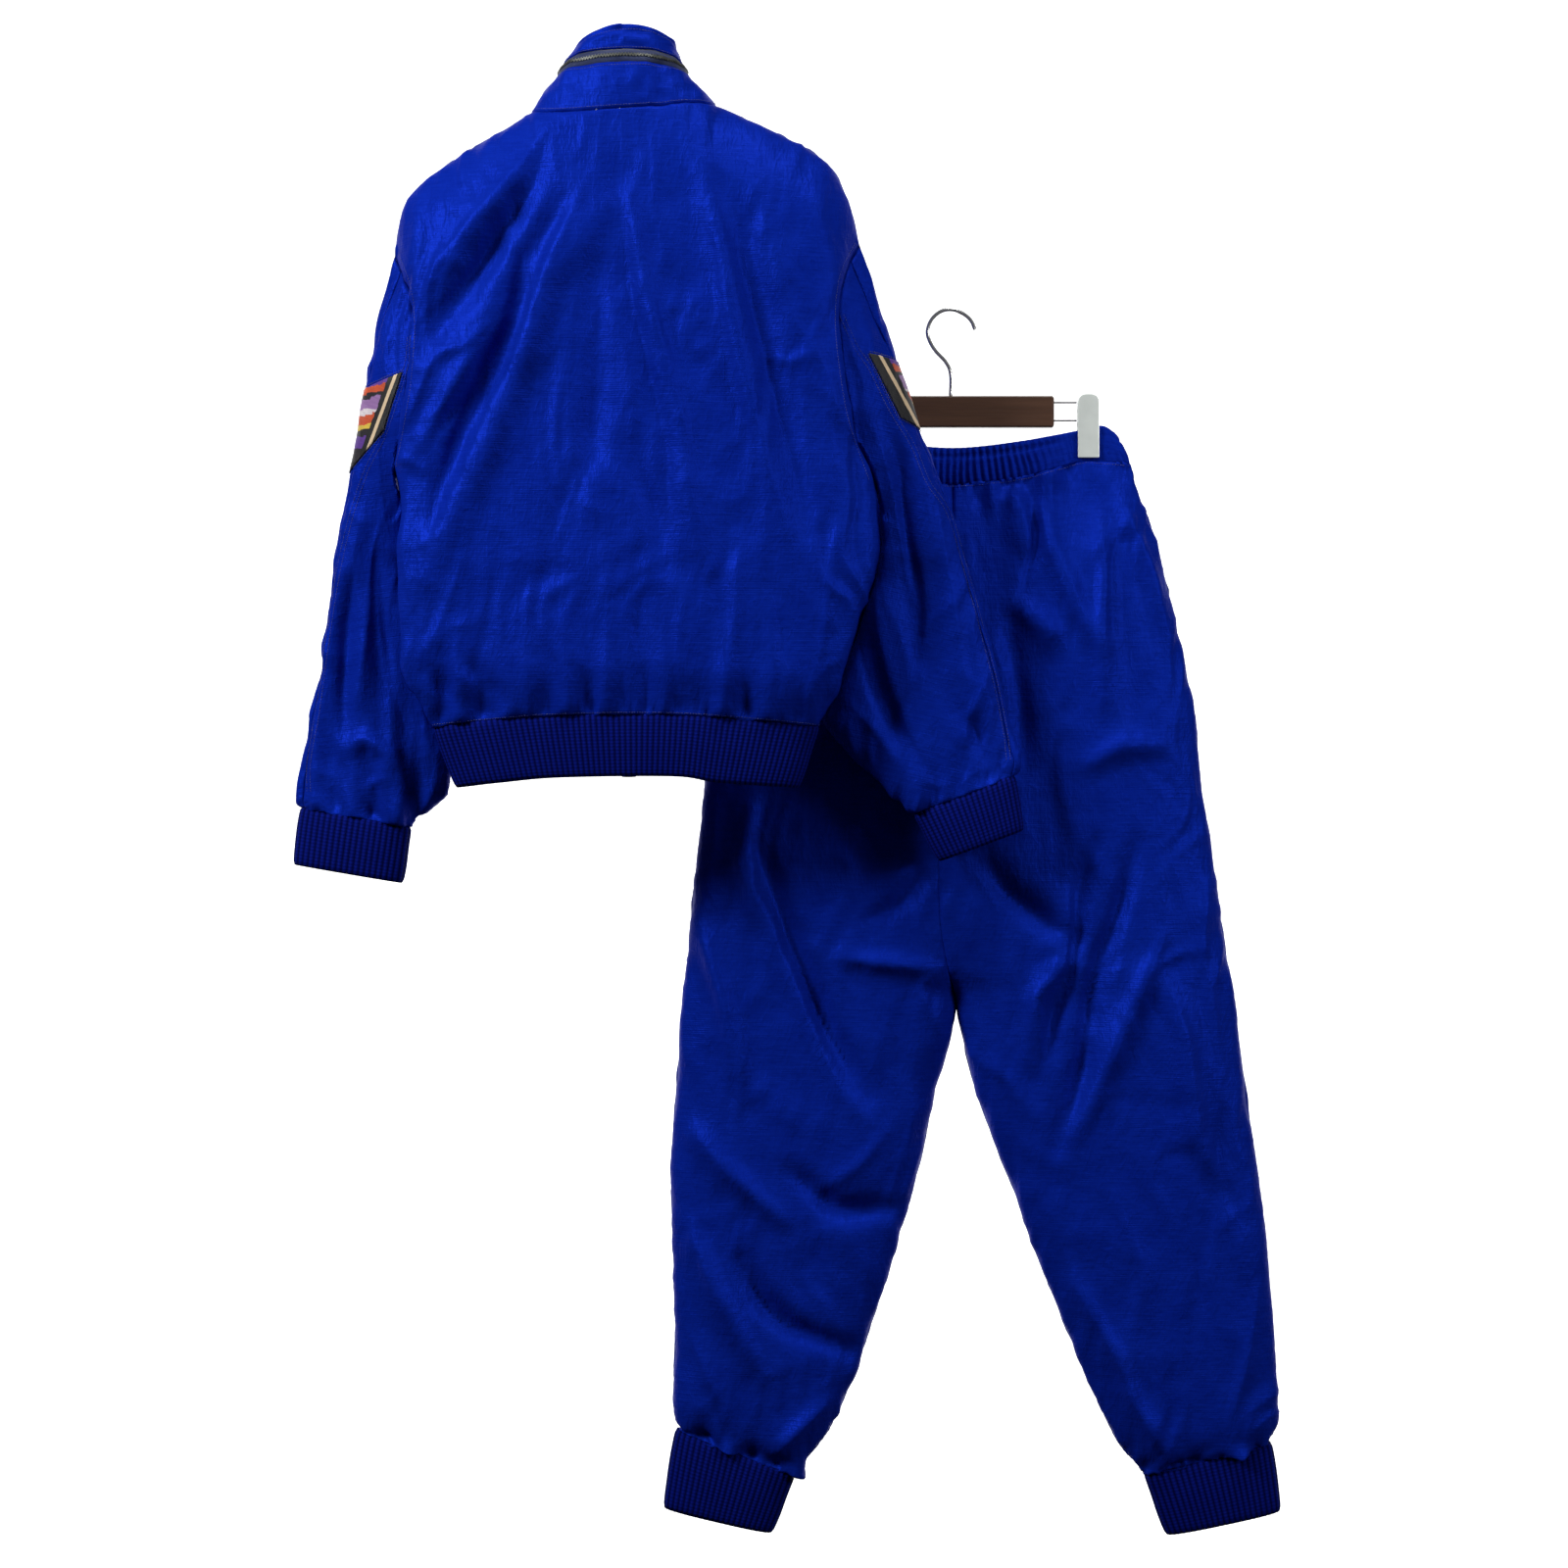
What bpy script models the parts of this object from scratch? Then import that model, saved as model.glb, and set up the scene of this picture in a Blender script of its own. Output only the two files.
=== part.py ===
"""A windbreaker tracksuit on its hangers: jacket, trousers and what they hang from.

The frame has +Z up, and the garments' backs face -Y. The origin is the bearing point inside the
top of the trousers' hanger hook. The tables are in millimetres: the jacket's from the base of its
neck at the centre back, the trousers' from the origin. Meshes are in metres.
"""
import math
from collections import namedtuple

import bmesh
import bpy
import numpy as np

# Driving dimensions, in millimetres
JACKET_PLACE = np.array([-318.3, -118.0, 173.6])
SHELL_WALL = 1.2
SEAM_GAP = 0.3
RIB_GAP = 0.5
KNIT_WALL = 2.0
RIB_RELIEF = 0.8
TAPE_WIDTH = 12.0
PATCH_WALL = 1.0
PATCH_LIFT = 0.6
HEM_RIBS = 140
CUFF_RIBS = 44
ANKLE_RIBS = 48
WAIST_GATHERS = 104
SECTION_POWER = 2.7
METRES = 0.001
OFFSET_DAMPING = 0.05
OFFSET_REACH = 1.5
INNER_GAP_SHARE = 0.6
FACING_SHARE = 0.7

# Cells of the cloth grids
SIDE_CELLS = 10
ARMHOLE_CELLS = 8
SHOULDER_CELLS = 8
NECK_BACK_CELLS = 10
NECK_FRONT_CELLS = 4
ZIP_TURN_CELLS = 3
SLEEVE_CELLS = 14
LEG_CELLS = 20
LEG_BACK_CELLS = 12
LEG_FRONT_CELLS = 9

# Outlines of the jacket as seen from behind: x, z
SHOULDER_LEFT = [(-91, 2), (-149, -32), (-184, -55), (-206, -77), (-216, -102), (-221, -135)]
SHOULDER_RIGHT = [(87, 9), (104, 2), (157, -21), (193, -43), (207, -66), (218, -96), (225, -124)]
NECK_BACK = [(-91, 2), (-56, -3), (-8, -1), (27, 2), (52, 5), (87, 9)]
NECK_FRONT = [(-91, 2), (-70, -22), (-34, -42), (0, -48), (34, -41), (68, -18), (87, 9)]
SIDE_LEFT = [(-183, -587), (-205, -553), (-213, -528), (-212, -491), (-215, -453), (-216, -415),
             (-214, -378), (-222, -338)]
SIDE_RIGHT = [(186, -587), (203, -555), (211, -528), (224, -491), (236, -453), (243, -415),
              (243, -380), (238, -350)]
ARMHOLE_BACK_LEFT = [(-222, -338), (-212, -293), (-206, -256), (-203, -209), (-207, -171), (-221, -135)]
ARMHOLE_BACK_RIGHT = [(238, -350), (220, -300), (212, -262), (206, -205), (210, -160), (225, -124)]
ARMHOLE_FRONT_LEFT = [(-222, -338), (-209, -290), (-202, -240), (-203, -190), (-221, -135)]
ARMHOLE_FRONT_RIGHT = [(238, -350), (218, -300), (208, -245), (207, -185), (225, -124)]
HEM_SEAM = [(-183, -587), (-130, -582), (-62, -577), (46, -576), (133, -582), (186, -587)]
HEM_EDGE = [(-161, -645), (-120, -640), (-62, -635), (46, -634), (90, -640), (166, -645)]

# Depths of the jacket's body, from its hem seam up: share of the height, y of the back, of the
# front, and of the edge between them, for the back panel and for the front panels
BodyDepth = namedtuple("BodyDepth", "share back front edge_back edge_front")
BODY_DEPTHS = [
    BodyDepth(0.00, -42, 28, -8, -8),
    BodyDepth(0.10, -54, 38, -20, -20),
    BodyDepth(0.30, -55, 40, -26, -26),
    BodyDepth(0.54, -54, 40, -6, -6),
    BodyDepth(0.62, -54, 40, -22, 16),
    BodyDepth(0.77, -54, 40, -28, 26),
    BodyDepth(0.92, -50, 38, -20, 22),
    BodyDepth(1.00, -46, 36, 4, 4),
]
SHOULDER_ROUNDING = 74.0
SHOULDER_Y = 4.0
NECK_BACK_Y = -46.0
NECK_FRONT_Y = 44.0
ARMPIT_SHARE = 0.54
SHOULDER_SHARE = 0.295
BODY_WIDTH = 400.0
NECK_WIDTH = 200.0
NECK_POWER = 2.2
NECK_FADE = 110.0

# Sections of the sleeves from the armhole to the cuff: outer and inner edge, y of the middle, depth
SleeveSection = namedtuple("SleeveSection", "outer_x outer_z inner_x inner_z middle depth")
SLEEVE_LEFT = [
    SleeveSection(-221, -135, -222, -338, 3, 30),
    SleeveSection(-238, -195, -225, -354, 10, 29),
    SleeveSection(-255, -280, -222, -378, 18, 28),
    SleeveSection(-268, -350, -217, -406, 26, 27),
    SleeveSection(-279, -411, -212, -440, 31, 27),
    SleeveSection(-289, -467, -205, -482, 34, 26),
    SleeveSection(-297, -524, -196, -528, 36, 26),
    SleeveSection(-306, -573, -184, -574, 37, 25),
    SleeveSection(-314, -618, -169, -614, 37, 24),
    SleeveSection(-317, -643, -171, -650, 37, 23),
    SleeveSection(-317, -656, -188, -670, 36, 21),
    SleeveSection(-315, -664, -209, -684, 35, 17),
]
SLEEVE_RIGHT = [
    SleeveSection(225, -124, 238, -350, 3, 30),
    SleeveSection(245, -185, 245, -368, 10, 29),
    SleeveSection(262, -237, 247, -392, 18, 28),
    SleeveSection(283, -300, 245, -422, 26, 27),
    SleeveSection(306, -352, 239, -453, 31, 27),
    SleeveSection(323, -408, 228, -486, 34, 26),
    SleeveSection(341, -467, 212, -522, 36, 26),
    SleeveSection(356, -513, 197, -553, 37, 25),
    SleeveSection(366, -550, 191, -580, 37, 24),
    SleeveSection(374, -590, 208, -605, 37, 24),
    SleeveSection(378, -618, 246, -642, 36, 21),
    SleeveSection(375, -633, 278, -671, 35, 17),
]
CUFF_EDGE_LEFT = SleeveSection(-322, -719, -217, -737, 35, 17)
CUFF_EDGE_RIGHT = SleeveSection(384, -686, 303, -716, 35, 17)

# Sleeve patches as seen from behind: corners x, z of the top edge and of the edge across the
# back, down to the sleeve's outer edge, round which the panel reaches to the same line in front
PATCH_LEFT = [(-262, -266), (-211, -249), (-230, -303), (-262, -337)]
PATCH_RIGHT = [(274, -238), (233, -230), (264, -291), (290, -302)]
PATCH_ROWS = 8

# Collar rings from the neck seam up: share of the height, the two sides, the rise of the back
# and of the front above the sides, and their y
CollarRing = namedtuple("CollarRing", "share left_x left_z right_x right_z rise_back rise_front back front")
COLLAR_RINGS = [
    CollarRing(0.00, -91, 2, 87, 9, -6, -52, -46, 44),
    CollarRing(0.50, -66, 36, 60, 37, 8, -26, -42, 40),
    CollarRing(0.66, -60, 47, 55, 48, 10, -20, -40, 39),
    CollarRing(1.00, -47, 64, 48, 66, 16, -11, -35, 35),
]
COLLAR_LOWER_ROWS = 2

# Trousers: side seams, centre seam and inseams, x, z from the origin
WAIST_TOP = [(-163, -121), (-148, -113), (-124, -118), (-69, -129), (0, -136), (69, -129),
             (124, -118), (148, -113), (163, -121)]
LegSection = namedtuple("LegSection", "outer_x outer_z inner_x inner_z back front turn")
LEG_LEFT = [
    LegSection(-173, -150, 0, -171, -16, 15, 0.50),
    LegSection(-184, -183, 0, -204, -26, 22, 0.50),
    LegSection(-202, -236, -2, -262, -36, 30, 0.50),
    LegSection(-226, -332, -6, -360, -44, 36, 0.50),
    LegSection(-239, -409, -10, -450, -47, 38, 0.50),
    LegSection(-246, -490, -15, -525, -47, 38, 0.52),
    LegSection(-255, -570, -14, -592, -46, 38, 0.60),
    LegSection(-262, -640, -5, -650, -44, 37, 0.78),
    LegSection(-268, -700, 4, -686, -42, 36, 1.00),
    LegSection(-273, -778, -18, -778, -41, 35, 1.00),
    LegSection(-277, -856, -36, -858, -39, 34, 1.00),
    LegSection(-275, -920, -56, -926, -37, 33, 1.00),
    LegSection(-274, -985, -77, -993, -35, 32, 1.00),
    LegSection(-274, -1040, -100, -1060, -33, 31, 1.00),
    LegSection(-276, -1080, -124, -1110, -30, 29, 1.00),
    LegSection(-274, -1098, -142, -1134, -25, 25, 1.00),
    LegSection(-273, -1106, -155, -1151, -19, 19, 1.00),
]
LEG_RIGHT = [
    LegSection(177, -150, 0, -171, -16, 15, 0.50),
    LegSection(188, -183, 0, -204, -26, 22, 0.50),
    LegSection(204, -236, -2, -262, -36, 30, 0.50),
    LegSection(226, -332, -6, -360, -44, 36, 0.50),
    LegSection(241, -409, -10, -450, -47, 38, 0.50),
    LegSection(250, -490, -15, -525, -47, 38, 0.52),
    LegSection(262, -570, -14, -592, -46, 38, 0.60),
    LegSection(272, -640, -5, -650, -44, 37, 0.78),
    LegSection(281, -700, 4, -686, -42, 36, 1.00),
    LegSection(292, -778, 26, -778, -41, 35, 1.00),
    LegSection(303, -856, 57, -858, -39, 34, 1.00),
    LegSection(310, -920, 79, -920, -37, 33, 1.00),
    LegSection(317, -1000, 111, -1000, -35, 32, 1.00),
    LegSection(322, -1060, 141, -1070, -33, 31, 1.00),
    LegSection(323, -1095, 165, -1118, -30, 29, 1.00),
    LegSection(319, -1110, 180, -1138, -25, 25, 1.00),
    LegSection(316, -1119, 190, -1150, -19, 19, 1.00),
]
WAIST_SEAM = [(-173, -150), (-150, -148), (-125, -148), (-74, -163), (0, -171), (74, -163),
              (125, -148), (150, -148), (177, -150)]
WAIST_SEAM_FADE = 95.0
AnkleEdge = namedtuple("AnkleEdge", "outer_x outer_z inner_x inner_z depth")
ANKLE_EDGE_LEFT = AnkleEdge(-285, -1183, -178, -1208, 18)
ANKLE_EDGE_RIGHT = AnkleEdge(325, -1186, 212, -1210, 18)
LEG_EDGE_Y = 0.0
WAIST_DEPTH = 15.0

# Clips pinch the waist: their x, how far each side the pinch reaches, and the depth left there
CLIP_X = 135.0
PINCH_REACH = 34.0
PINCH_SHARE = 0.25
PINCH_FADE_Z = -235.0

# Folds of the cloth: which side they are on, half width, relief (ridges above 0) and path
Fold = namedtuple("Fold", "side width relief path")
JACKET_FOLDS = [
    Fold("back", 20, -11, [(-69, -20), (-105, -102), (-151, -181), (-181, -218)]),
    Fold("back", 18, 6, [(-85, -51), (-130, -96), (-186, -171)]),
    Fold("back", 17, 5, [(-45, -69), (-58, -114), (-80, -159)]),
    Fold("back", 20, -10, [(-56, -90), (-93, -145), (-105, -203), (-130, -264), (-160, -325), (-179, -386)]),
    Fold("back", 24, 9, [(-20, -96), (-69, -164), (-93, -233), (-123, -310), (-151, -371), (-184, -445)]),
    Fold("back", 18, 6, [(8, -86), (17, -157), (29, -233), (48, -294), (66, -417)]),
    Fold("back", 20, -6, [(-22, -150), (-32, -335), (-56, -386), (-69, -445)]),
    Fold("back", 18, -5, [(11, -325), (24, -365), (41, -432)]),
    Fold("back", 20, 6, [(66, -16), (85, -96), (100, -172), (115, -249), (133, -325), (155, -401)]),
    Fold("back", 20, -6, [(81, -35), (115, -127), (136, -218), (158, -310), (176, -401)]),
    Fold("back", 16, 7, [(-111, -200), (-151, -249), (-181, -304), (-205, -330)]),
    Fold("back", 15, -8, [(-123, -206), (-135, -243), (-151, -276), (-179, -310)]),
    Fold("back", 15, -6, [(-184, -535), (-149, -575)]),
    Fold("back", 15, -5, [(-143, -531), (-108, -570)]),
    Fold("front", 24, 7, [(-90, -60), (-110, -200), (-140, -330), (-170, -450)]),
    Fold("front", 22, -8, [(-60, -70), (-75, -220), (-100, -380)]),
    Fold("front", 24, 7, [(88, -60), (108, -190), (140, -320), (165, -440)]),
    Fold("front", 22, -8, [(60, -80), (70, -230), (96, -390)]),
    Fold("front", 22, 6, [(40, -260), (48, -400), (40, -520)]),
    Fold("front", 22, 6, [(-38, -280), (-44, -420), (-38, -520)]),
]
SLEEVE_FOLDS = [
    Fold("back", 17, -8, [(-266, -453), (-271, -519), (-273, -585)]),
    Fold("back", 16, -6, [(-241, -400), (-243, -453), (-232, -554)]),
    Fold("back", 15, -6, [(-301, -580), (-267, -655)]),
    Fold("back", 16, 6, [(-267, -609), (-250, -600), (-228, -612), (-235, -645)]),
    Fold("back", 16, 6, [(233, -200), (258, -280), (285, -350), (300, -420)]),
    Fold("back", 18, -7, [(262, -330), (270, -430), (282, -520)]),
    Fold("back", 17, -6, [(228, -480), (250, -560), (280, -620)]),
    Fold("back", 15, -7, [(327, -574), (337, -594), (329, -625)]),
    Fold("front", 18, -7, [(-262, -400), (-268, -500), (-262, -600)]),
    Fold("front", 18, 6, [(-285, -430), (-290, -530), (-285, -620)]),
    Fold("front", 18, -7, [(270, -360), (300, -460), (310, -560)]),
    Fold("front", 18, 6, [(240, -430), (262, -520), (300, -620)]),
]
TROUSER_FOLDS = [
    Fold("back", 16, -9, [(77, -171), (81, -203), (76, -241), (66, -277), (60, -300)]),
    Fold("back", 15, 7, [(53, -177), (68, -205), (72, -242), (58, -290)]),
    Fold("back", 17, 7, [(60, -290), (90, -314), (98, -327)]),
    Fold("back", 18, -7, [(53, -314), (66, -389), (68, -451)]),
    Fold("back", 18, 7, [(82, -178), (95, -228), (122, -297), (145, -330)]),
    Fold("back", 17, 6, [(144, -191), (145, -253), (144, -314), (147, -389)]),
    Fold("back", 17, 6, [(152, -165), (189, -241), (214, -327)]),
    Fold("back", 18, 6, [(127, -451), (165, -431), (205, -430)]),
    Fold("back", 16, -9, [(-77, -171), (-84, -215), (-70, -270), (-62, -305)]),
    Fold("back", 18, 7, [(-60, -180), (-66, -240), (-95, -310), (-110, -370)]),
    Fold("back", 18, 6, [(-140, -180), (-152, -260), (-150, -360)]),
    Fold("back", 20, 6, [(-200, -480), (-200, -603)]),
    Fold("back", 20, -10, [(-193, -530), (-153, -637), (-128, -699), (-86, -773)]),
    Fold("back", 18, -7, [(-42, -526), (-36, -558), (-54, -583), (-84, -602)]),
    Fold("back", 16, 6, [(-109, -637), (-79, -642), (-20, -648)]),
    Fold("back", 18, 7, [(-249, -612), (-228, -674), (-203, -773)]),
    Fold("back", 18, 7, [(-252, -810), (-220, -848), (-166, -897)]),
    Fold("back", 18, -8, [(-158, -848), (-113, -885), (-60, -885)]),
    Fold("back", 18, 7, [(-257, -904), (-236, -958), (-190, -1045)]),
    Fold("back", 18, -9, [(-208, -936), (-190, -973), (-160, -1001), (-100, -1025)]),
    Fold("back", 17, 6, [(-181, -1134), (-155, -1106), (-123, -1075)]),
    Fold("back", 20, -8, [(29, -540), (53, -575), (111, -620)]),
    Fold("back", 18, 8, [(113, -583), (108, -640), (80, -680), (85, -750)]),
    Fold("back", 18, -8, [(138, -526), (123, -575), (118, -625), (97, -700), (83, -754)]),
    Fold("back", 18, -8, [(178, -526), (168, -570), (138, -662), (120, -773), (101, -823)]),
    Fold("back", 18, 7, [(202, -620), (160, -719), (118, -810)]),
    Fold("back", 18, 7, [(205, -657), (224, -711), (237, -810), (259, -853)]),
    Fold("back", 18, 7, [(119, -958), (162, -1034), (179, -1078), (216, -1134)]),
    Fold("front", 22, 8, [(-70, -190), (-95, -300), (-110, -420)]),
    Fold("front", 22, -8, [(-120, -190), (-150, -330), (-160, -460)]),
    Fold("front", 22, 8, [(72, -190), (98, -310), (112, -430)]),
    Fold("front", 22, -8, [(120, -190), (152, -340), (165, -470)]),
    Fold("front", 22, -8, [(-60, -600), (-120, -690), (-170, -820)]),
    Fold("front", 22, 8, [(-230, -640), (-200, -780), (-170, -940)]),
    Fold("front", 22, -8, [(70, -600), (130, -700), (190, -830)]),
    Fold("front", 22, 8, [(240, -640), (225, -790), (220, -960)]),
    Fold("front", 20, 7, [(-200, -980), (-190, -1080)]),
    Fold("front", 20, 7, [(220, -980), (235, -1090)]),
]

# Small gathers where wider cloth meets an elastic piece: relief at the seam, how far they fade
GATHER_RELIEF = 2.4
GATHER_FADE = 24.0

# Hangers
BAR_X = (-100.0, 101.0)
BAR_Z = (-115.0, -84.0)
BAR_THICKNESS = 13.0
WIRE_RADIUS = 2.0
ROD_RADIUS = 1.0
ROD_LEVELS = (-90.0, -108.0)
ROD_OUTER_X = 123.7
CLIP_WIDTH = 21.0
CLIP_Z = (-145.0, -82.0)
CLIP_JAW = 2.5
CLIP_THROAT = 4.4
CLIP_ROOF = 14.0
TROUSER_HOOK = [(-1, -83.7), (-1, -62), (-6, -50), (-16, -39), (-22, -29), (-24, -19), (-20, -8),
                (-11, 0), (0, 2), (11, -2), (19, -9), (23, -18)]
JACKET_HOOK = [(0, -17.3), (0, -4), (-5, 6), (-15, 14), (-21, 24), (-22, 35), (-17, 45), (-8, 51.5),
               (2, 52), (12, 47), (18, 38), (20, 29)]
HANGER_DROP = 3.6
HANGER_HALF_THICKNESS = 6.0
HANGER_HEIGHT_MIDDLE = 34.0
HANGER_HEIGHT_TIP = 18.0
HANGER_TIP_CELLS = 5

# Zip sliders
SLIDER_SIZE = (8.0, 2.4, 11.0)
SLIDER_LIFT = 0.5
SLIDER_DROP = 3.0
BRIDGE_WIDTH = 2.0
BRIDGE_LENGTH = 8.0
BRIDGE_RISE = 3.8
TAB_SIZE = (6.6, 1.4, 26.0)
TAB_EYE = 6.4

Finish = namedtuple("Finish", "colour roughness metallic")
TAFFETA = Finish((0.004, 0.012, 0.27), 0.42, 0.0)
KNIT = Finish((0.003, 0.006, 0.16), 0.85, 0.0)
TAPE = Finish((0.06, 0.08, 0.11), 0.6, 0.3)
PRINT = Finish((0.02, 0.02, 0.025), 0.5, 0.0)
BROWN_WOOD = Finish((0.11, 0.03, 0.016), 0.4, 0.0)
CHROME = Finish((0.75, 0.75, 0.76), 0.12, 1.0)
STEEL = Finish((0.7, 0.7, 0.71), 0.3, 1.0)


def smooth_table(rows, column, shares, key="share"):
    """Reads a table's column at the given shares, along a curve that never overshoots its rows."""
    xs = np.array([getattr(row, key) for row in rows], float)
    ys = np.array([getattr(row, column) for row in rows], float)
    steps = np.diff(xs)
    slopes = np.diff(ys) / steps
    tangents = np.zeros(len(xs))
    tangents[0] = slopes[0]
    tangents[-1] = slopes[-1]
    for i in range(1, len(xs) - 1):
        if slopes[i - 1] * slopes[i] > 0:
            tangents[i] = 2 * slopes[i - 1] * slopes[i] / (slopes[i - 1] + slopes[i])
    shares = np.clip(np.asarray(shares, float), xs[0], xs[-1])
    cell = np.clip(np.searchsorted(xs, shares, side="right") - 1, 0, len(xs) - 2)
    t = (shares - xs[cell]) / steps[cell]
    start = (1 + 2 * t) * (1 - t) ** 2 * ys[cell] + t * (1 - t) ** 2 * steps[cell] * tangents[cell]
    end = t * t * (3 - 2 * t) * ys[cell + 1] + t * t * (t - 1) * steps[cell] * tangents[cell + 1]
    return start + end


def curve_points(points, shares):
    """Points at shares of the length of a smooth curve through the given points."""
    knots = np.array(points, float)
    padded = np.vstack([2 * knots[0] - knots[1], knots, 2 * knots[-1] - knots[-2]])
    dense = []
    for i in range(len(knots) - 1):
        a, b, c, d = padded[i:i + 4]
        for t in np.linspace(0, 1, 16, endpoint=False):
            dense.append(0.5 * (2 * b + (c - a) * t + (2 * a - 5 * b + 4 * c - d) * t * t
                                + (3 * b - a - 3 * c + d) * t ** 3))
    dense.append(knots[-1])
    dense = np.array(dense)
    length = np.concatenate([[0], np.cumsum(np.linalg.norm(np.diff(dense, axis=0), axis=1))])
    length /= length[-1]
    return np.column_stack([np.interp(shares, length, dense[:, k]) for k in range(dense.shape[1])])


def even(cells):
    """Even shares from 0 to 1."""
    return np.linspace(0, 1, cells + 1)


def bulge(shares, power=SECTION_POWER):
    """Height of a rounded section from 0 at one edge, over 1 in the middle, to 0 at the other."""
    return (1 - np.abs(2 * np.asarray(shares) - 1) ** power) ** (1 / power)


def path_distance(points, path):
    """Distance of each x, z point from a path, and the share of the path it is nearest to."""
    best = np.full(len(points), 1e9)
    share = np.zeros(len(points))
    corners = np.array(path, float)
    for i, (a, b) in enumerate(zip(corners[:-1], corners[1:])):
        run = b - a
        t = np.clip(((points - a) @ run) / (run @ run), 0, 1)
        distance = np.linalg.norm(points - a - t[:, None] * run, axis=1)
        nearer = distance < best
        best[nearer] = distance[nearer]
        share[nearer] = ((i + t) / (len(corners) - 1))[nearer]
    return best, share


def fold_relief(points, folds, side):
    """Relief of a side's folds at each x, z point, fading out at the ends of each fold."""
    relief = np.zeros(len(points))
    for fold in folds:
        if fold.side != side:
            continue
        distance, share = path_distance(points, fold.path)
        fade = np.sqrt(np.clip(np.sin(np.pi * (0.06 + 0.88 * share)), 0, 1))
        relief += fold.relief * fade * np.exp(-(distance / (0.62 * fold.width)) ** 2)
    return relief


def wall_shift(units, wall):
    """The step from a point to the inner side of the faces round it, given by their normals."""
    damped = units.T @ units + OFFSET_DAMPING * np.eye(3)
    shift = np.linalg.solve(damped, -wall * units.sum(axis=0))
    reach = np.linalg.norm(shift)
    return shift * np.clip(reach, wall, OFFSET_REACH * wall) / reach


class Cloth:
    """The outer surface of a whole garment as one mesh whose faces are labelled by piece."""

    def __init__(self):
        self.points = []
        self.faces = []

    def add_points(self, points):
        start = len(self.points)
        self.points.extend(np.asarray(point, float) for point in points)
        return list(range(start, len(self.points)))

    def add_grid(self, rows, piece_at, turned=False):
        """Adds the cells between rows of point numbers; piece_at(row, column) names each cell."""
        for r in range(len(rows) - 1):
            for c in range(len(rows[r]) - 1):
                piece = piece_at(r, c)
                if piece is None:
                    continue
                corners = [rows[r][c], rows[r][c + 1], rows[r + 1][c + 1], rows[r + 1][c]]
                if turned:
                    corners.reverse()
                self.faces.append((self.split_short(corners), piece))

    def split_short(self, corners):
        """Turns a cell's corners so that the first and third are its shorter diagonal."""
        a, b, c, d = (self.points[corner] for corner in corners)
        if np.linalg.norm(a - c) > 1.02 * np.linalg.norm(b - d):
            corners = corners[1:] + corners[:1]
        return tuple(corners)

    def settle(self, wall, limb_of):
        """Works out each point's normal and its partner, a wall's thickness behind each face there.

        Where two limbs face each other across a seam, each gets a partner of its own.
        """
        self.limb_of = limb_of
        self.outer = np.array(self.points)
        self.normals = np.zeros_like(self.outer)
        touching = [[] for _ in self.points]
        for corners, piece in self.faces:
            a, b, c, d = corners
            for triangle in ((a, b, c), (a, c, d)):
                p, q, r = self.outer[list(triangle)]
                cross = np.cross(q - p, r - p)
                for corner in triangle:
                    self.normals[corner] += cross
                    touching[corner].append((limb_of(piece), cross / np.linalg.norm(cross)))
        self.normals /= np.maximum(np.linalg.norm(self.normals, axis=1), 1e-9)[:, None]
        limbs = {limb_of(piece) for corners, piece in self.faces}
        self.inner = {limb: self.outer.copy() for limb in limbs}
        for k, planes in enumerate(touching):
            if not planes:
                continue
            units = np.array([unit for limb, unit in planes])
            shift = wall_shift(units, wall)
            faces_meet = np.min(-units @ shift) < FACING_SHARE * wall
            for limb in limbs:
                own = np.array([unit for its_limb, unit in planes if its_limb == limb])
                self.inner[limb][k] += wall_shift(own, wall) if faces_meet and len(own) else shift

    def piece(self, name):
        """The closed solid of one piece, drawn back by half a seam's gap along its border."""
        cells = [corners for corners, piece in self.faces if piece == name]
        edges = {}
        for corners in cells:
            for a, b in zip(corners, corners[1:] + corners[:1]):
                edges[(a, b)] = self.outer[list(corners)].mean(axis=0)
        border = [(a, b) for a, b in edges if (b, a) not in edges]
        inward = {}
        for a, b in border:
            run = self.outer[b] - self.outer[a]
            run /= np.linalg.norm(run)
            across = edges[(a, b)] - self.outer[a]
            across -= (across @ run) * run
            for point in (a, b):
                inward.setdefault(point, []).append(across / np.linalg.norm(across))
        used = sorted({corner for corners in cells for corner in corners})
        place = {point: i for i, point in enumerate(used)}
        outer = self.outer[used].copy()
        inner = self.inner[self.limb_of(name)][used].copy()
        for point, directions in inward.items():
            total = np.sum(directions, axis=0)
            total *= 2 / max(total @ total, 1.0)
            outer[place[point]] += total * SEAM_GAP / 2
            inner[place[point]] += total * SEAM_GAP * INNER_GAP_SHARE
        count = len(used)
        faces = []
        for corners in cells:
            a, b, c, d = (place[corner] for corner in corners)
            faces += [(a, b, c), (a, c, d)]
            faces += [(count + c, count + b, count + a), (count + d, count + c, count + a)]
        for first, last in border:
            a, b = place[first], place[last]
            if first < last:
                faces += [(b, a, count + b), (a, count + a, count + b)]
            else:
                faces += [(b, a, count + a), (b, count + a, count + b)]
        return np.vstack([outer, inner]), faces


def bridge(first, first_turns, second, second_turns):
    """Triangles between two lines of point numbers that run the same way, matched by their turns."""
    faces = []
    i = j = 0
    while i < len(first) - 1 or j < len(second) - 1:
        take_first = j == len(second) - 1 or (
            i < len(first) - 1 and first_turns[i + 1] < second_turns[j + 1])
        if take_first:
            faces.append((first[i], first[i + 1], second[j]))
            i += 1
        else:
            faces.append((first[i], second[j + 1], second[j]))
            j += 1
    return faces


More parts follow.
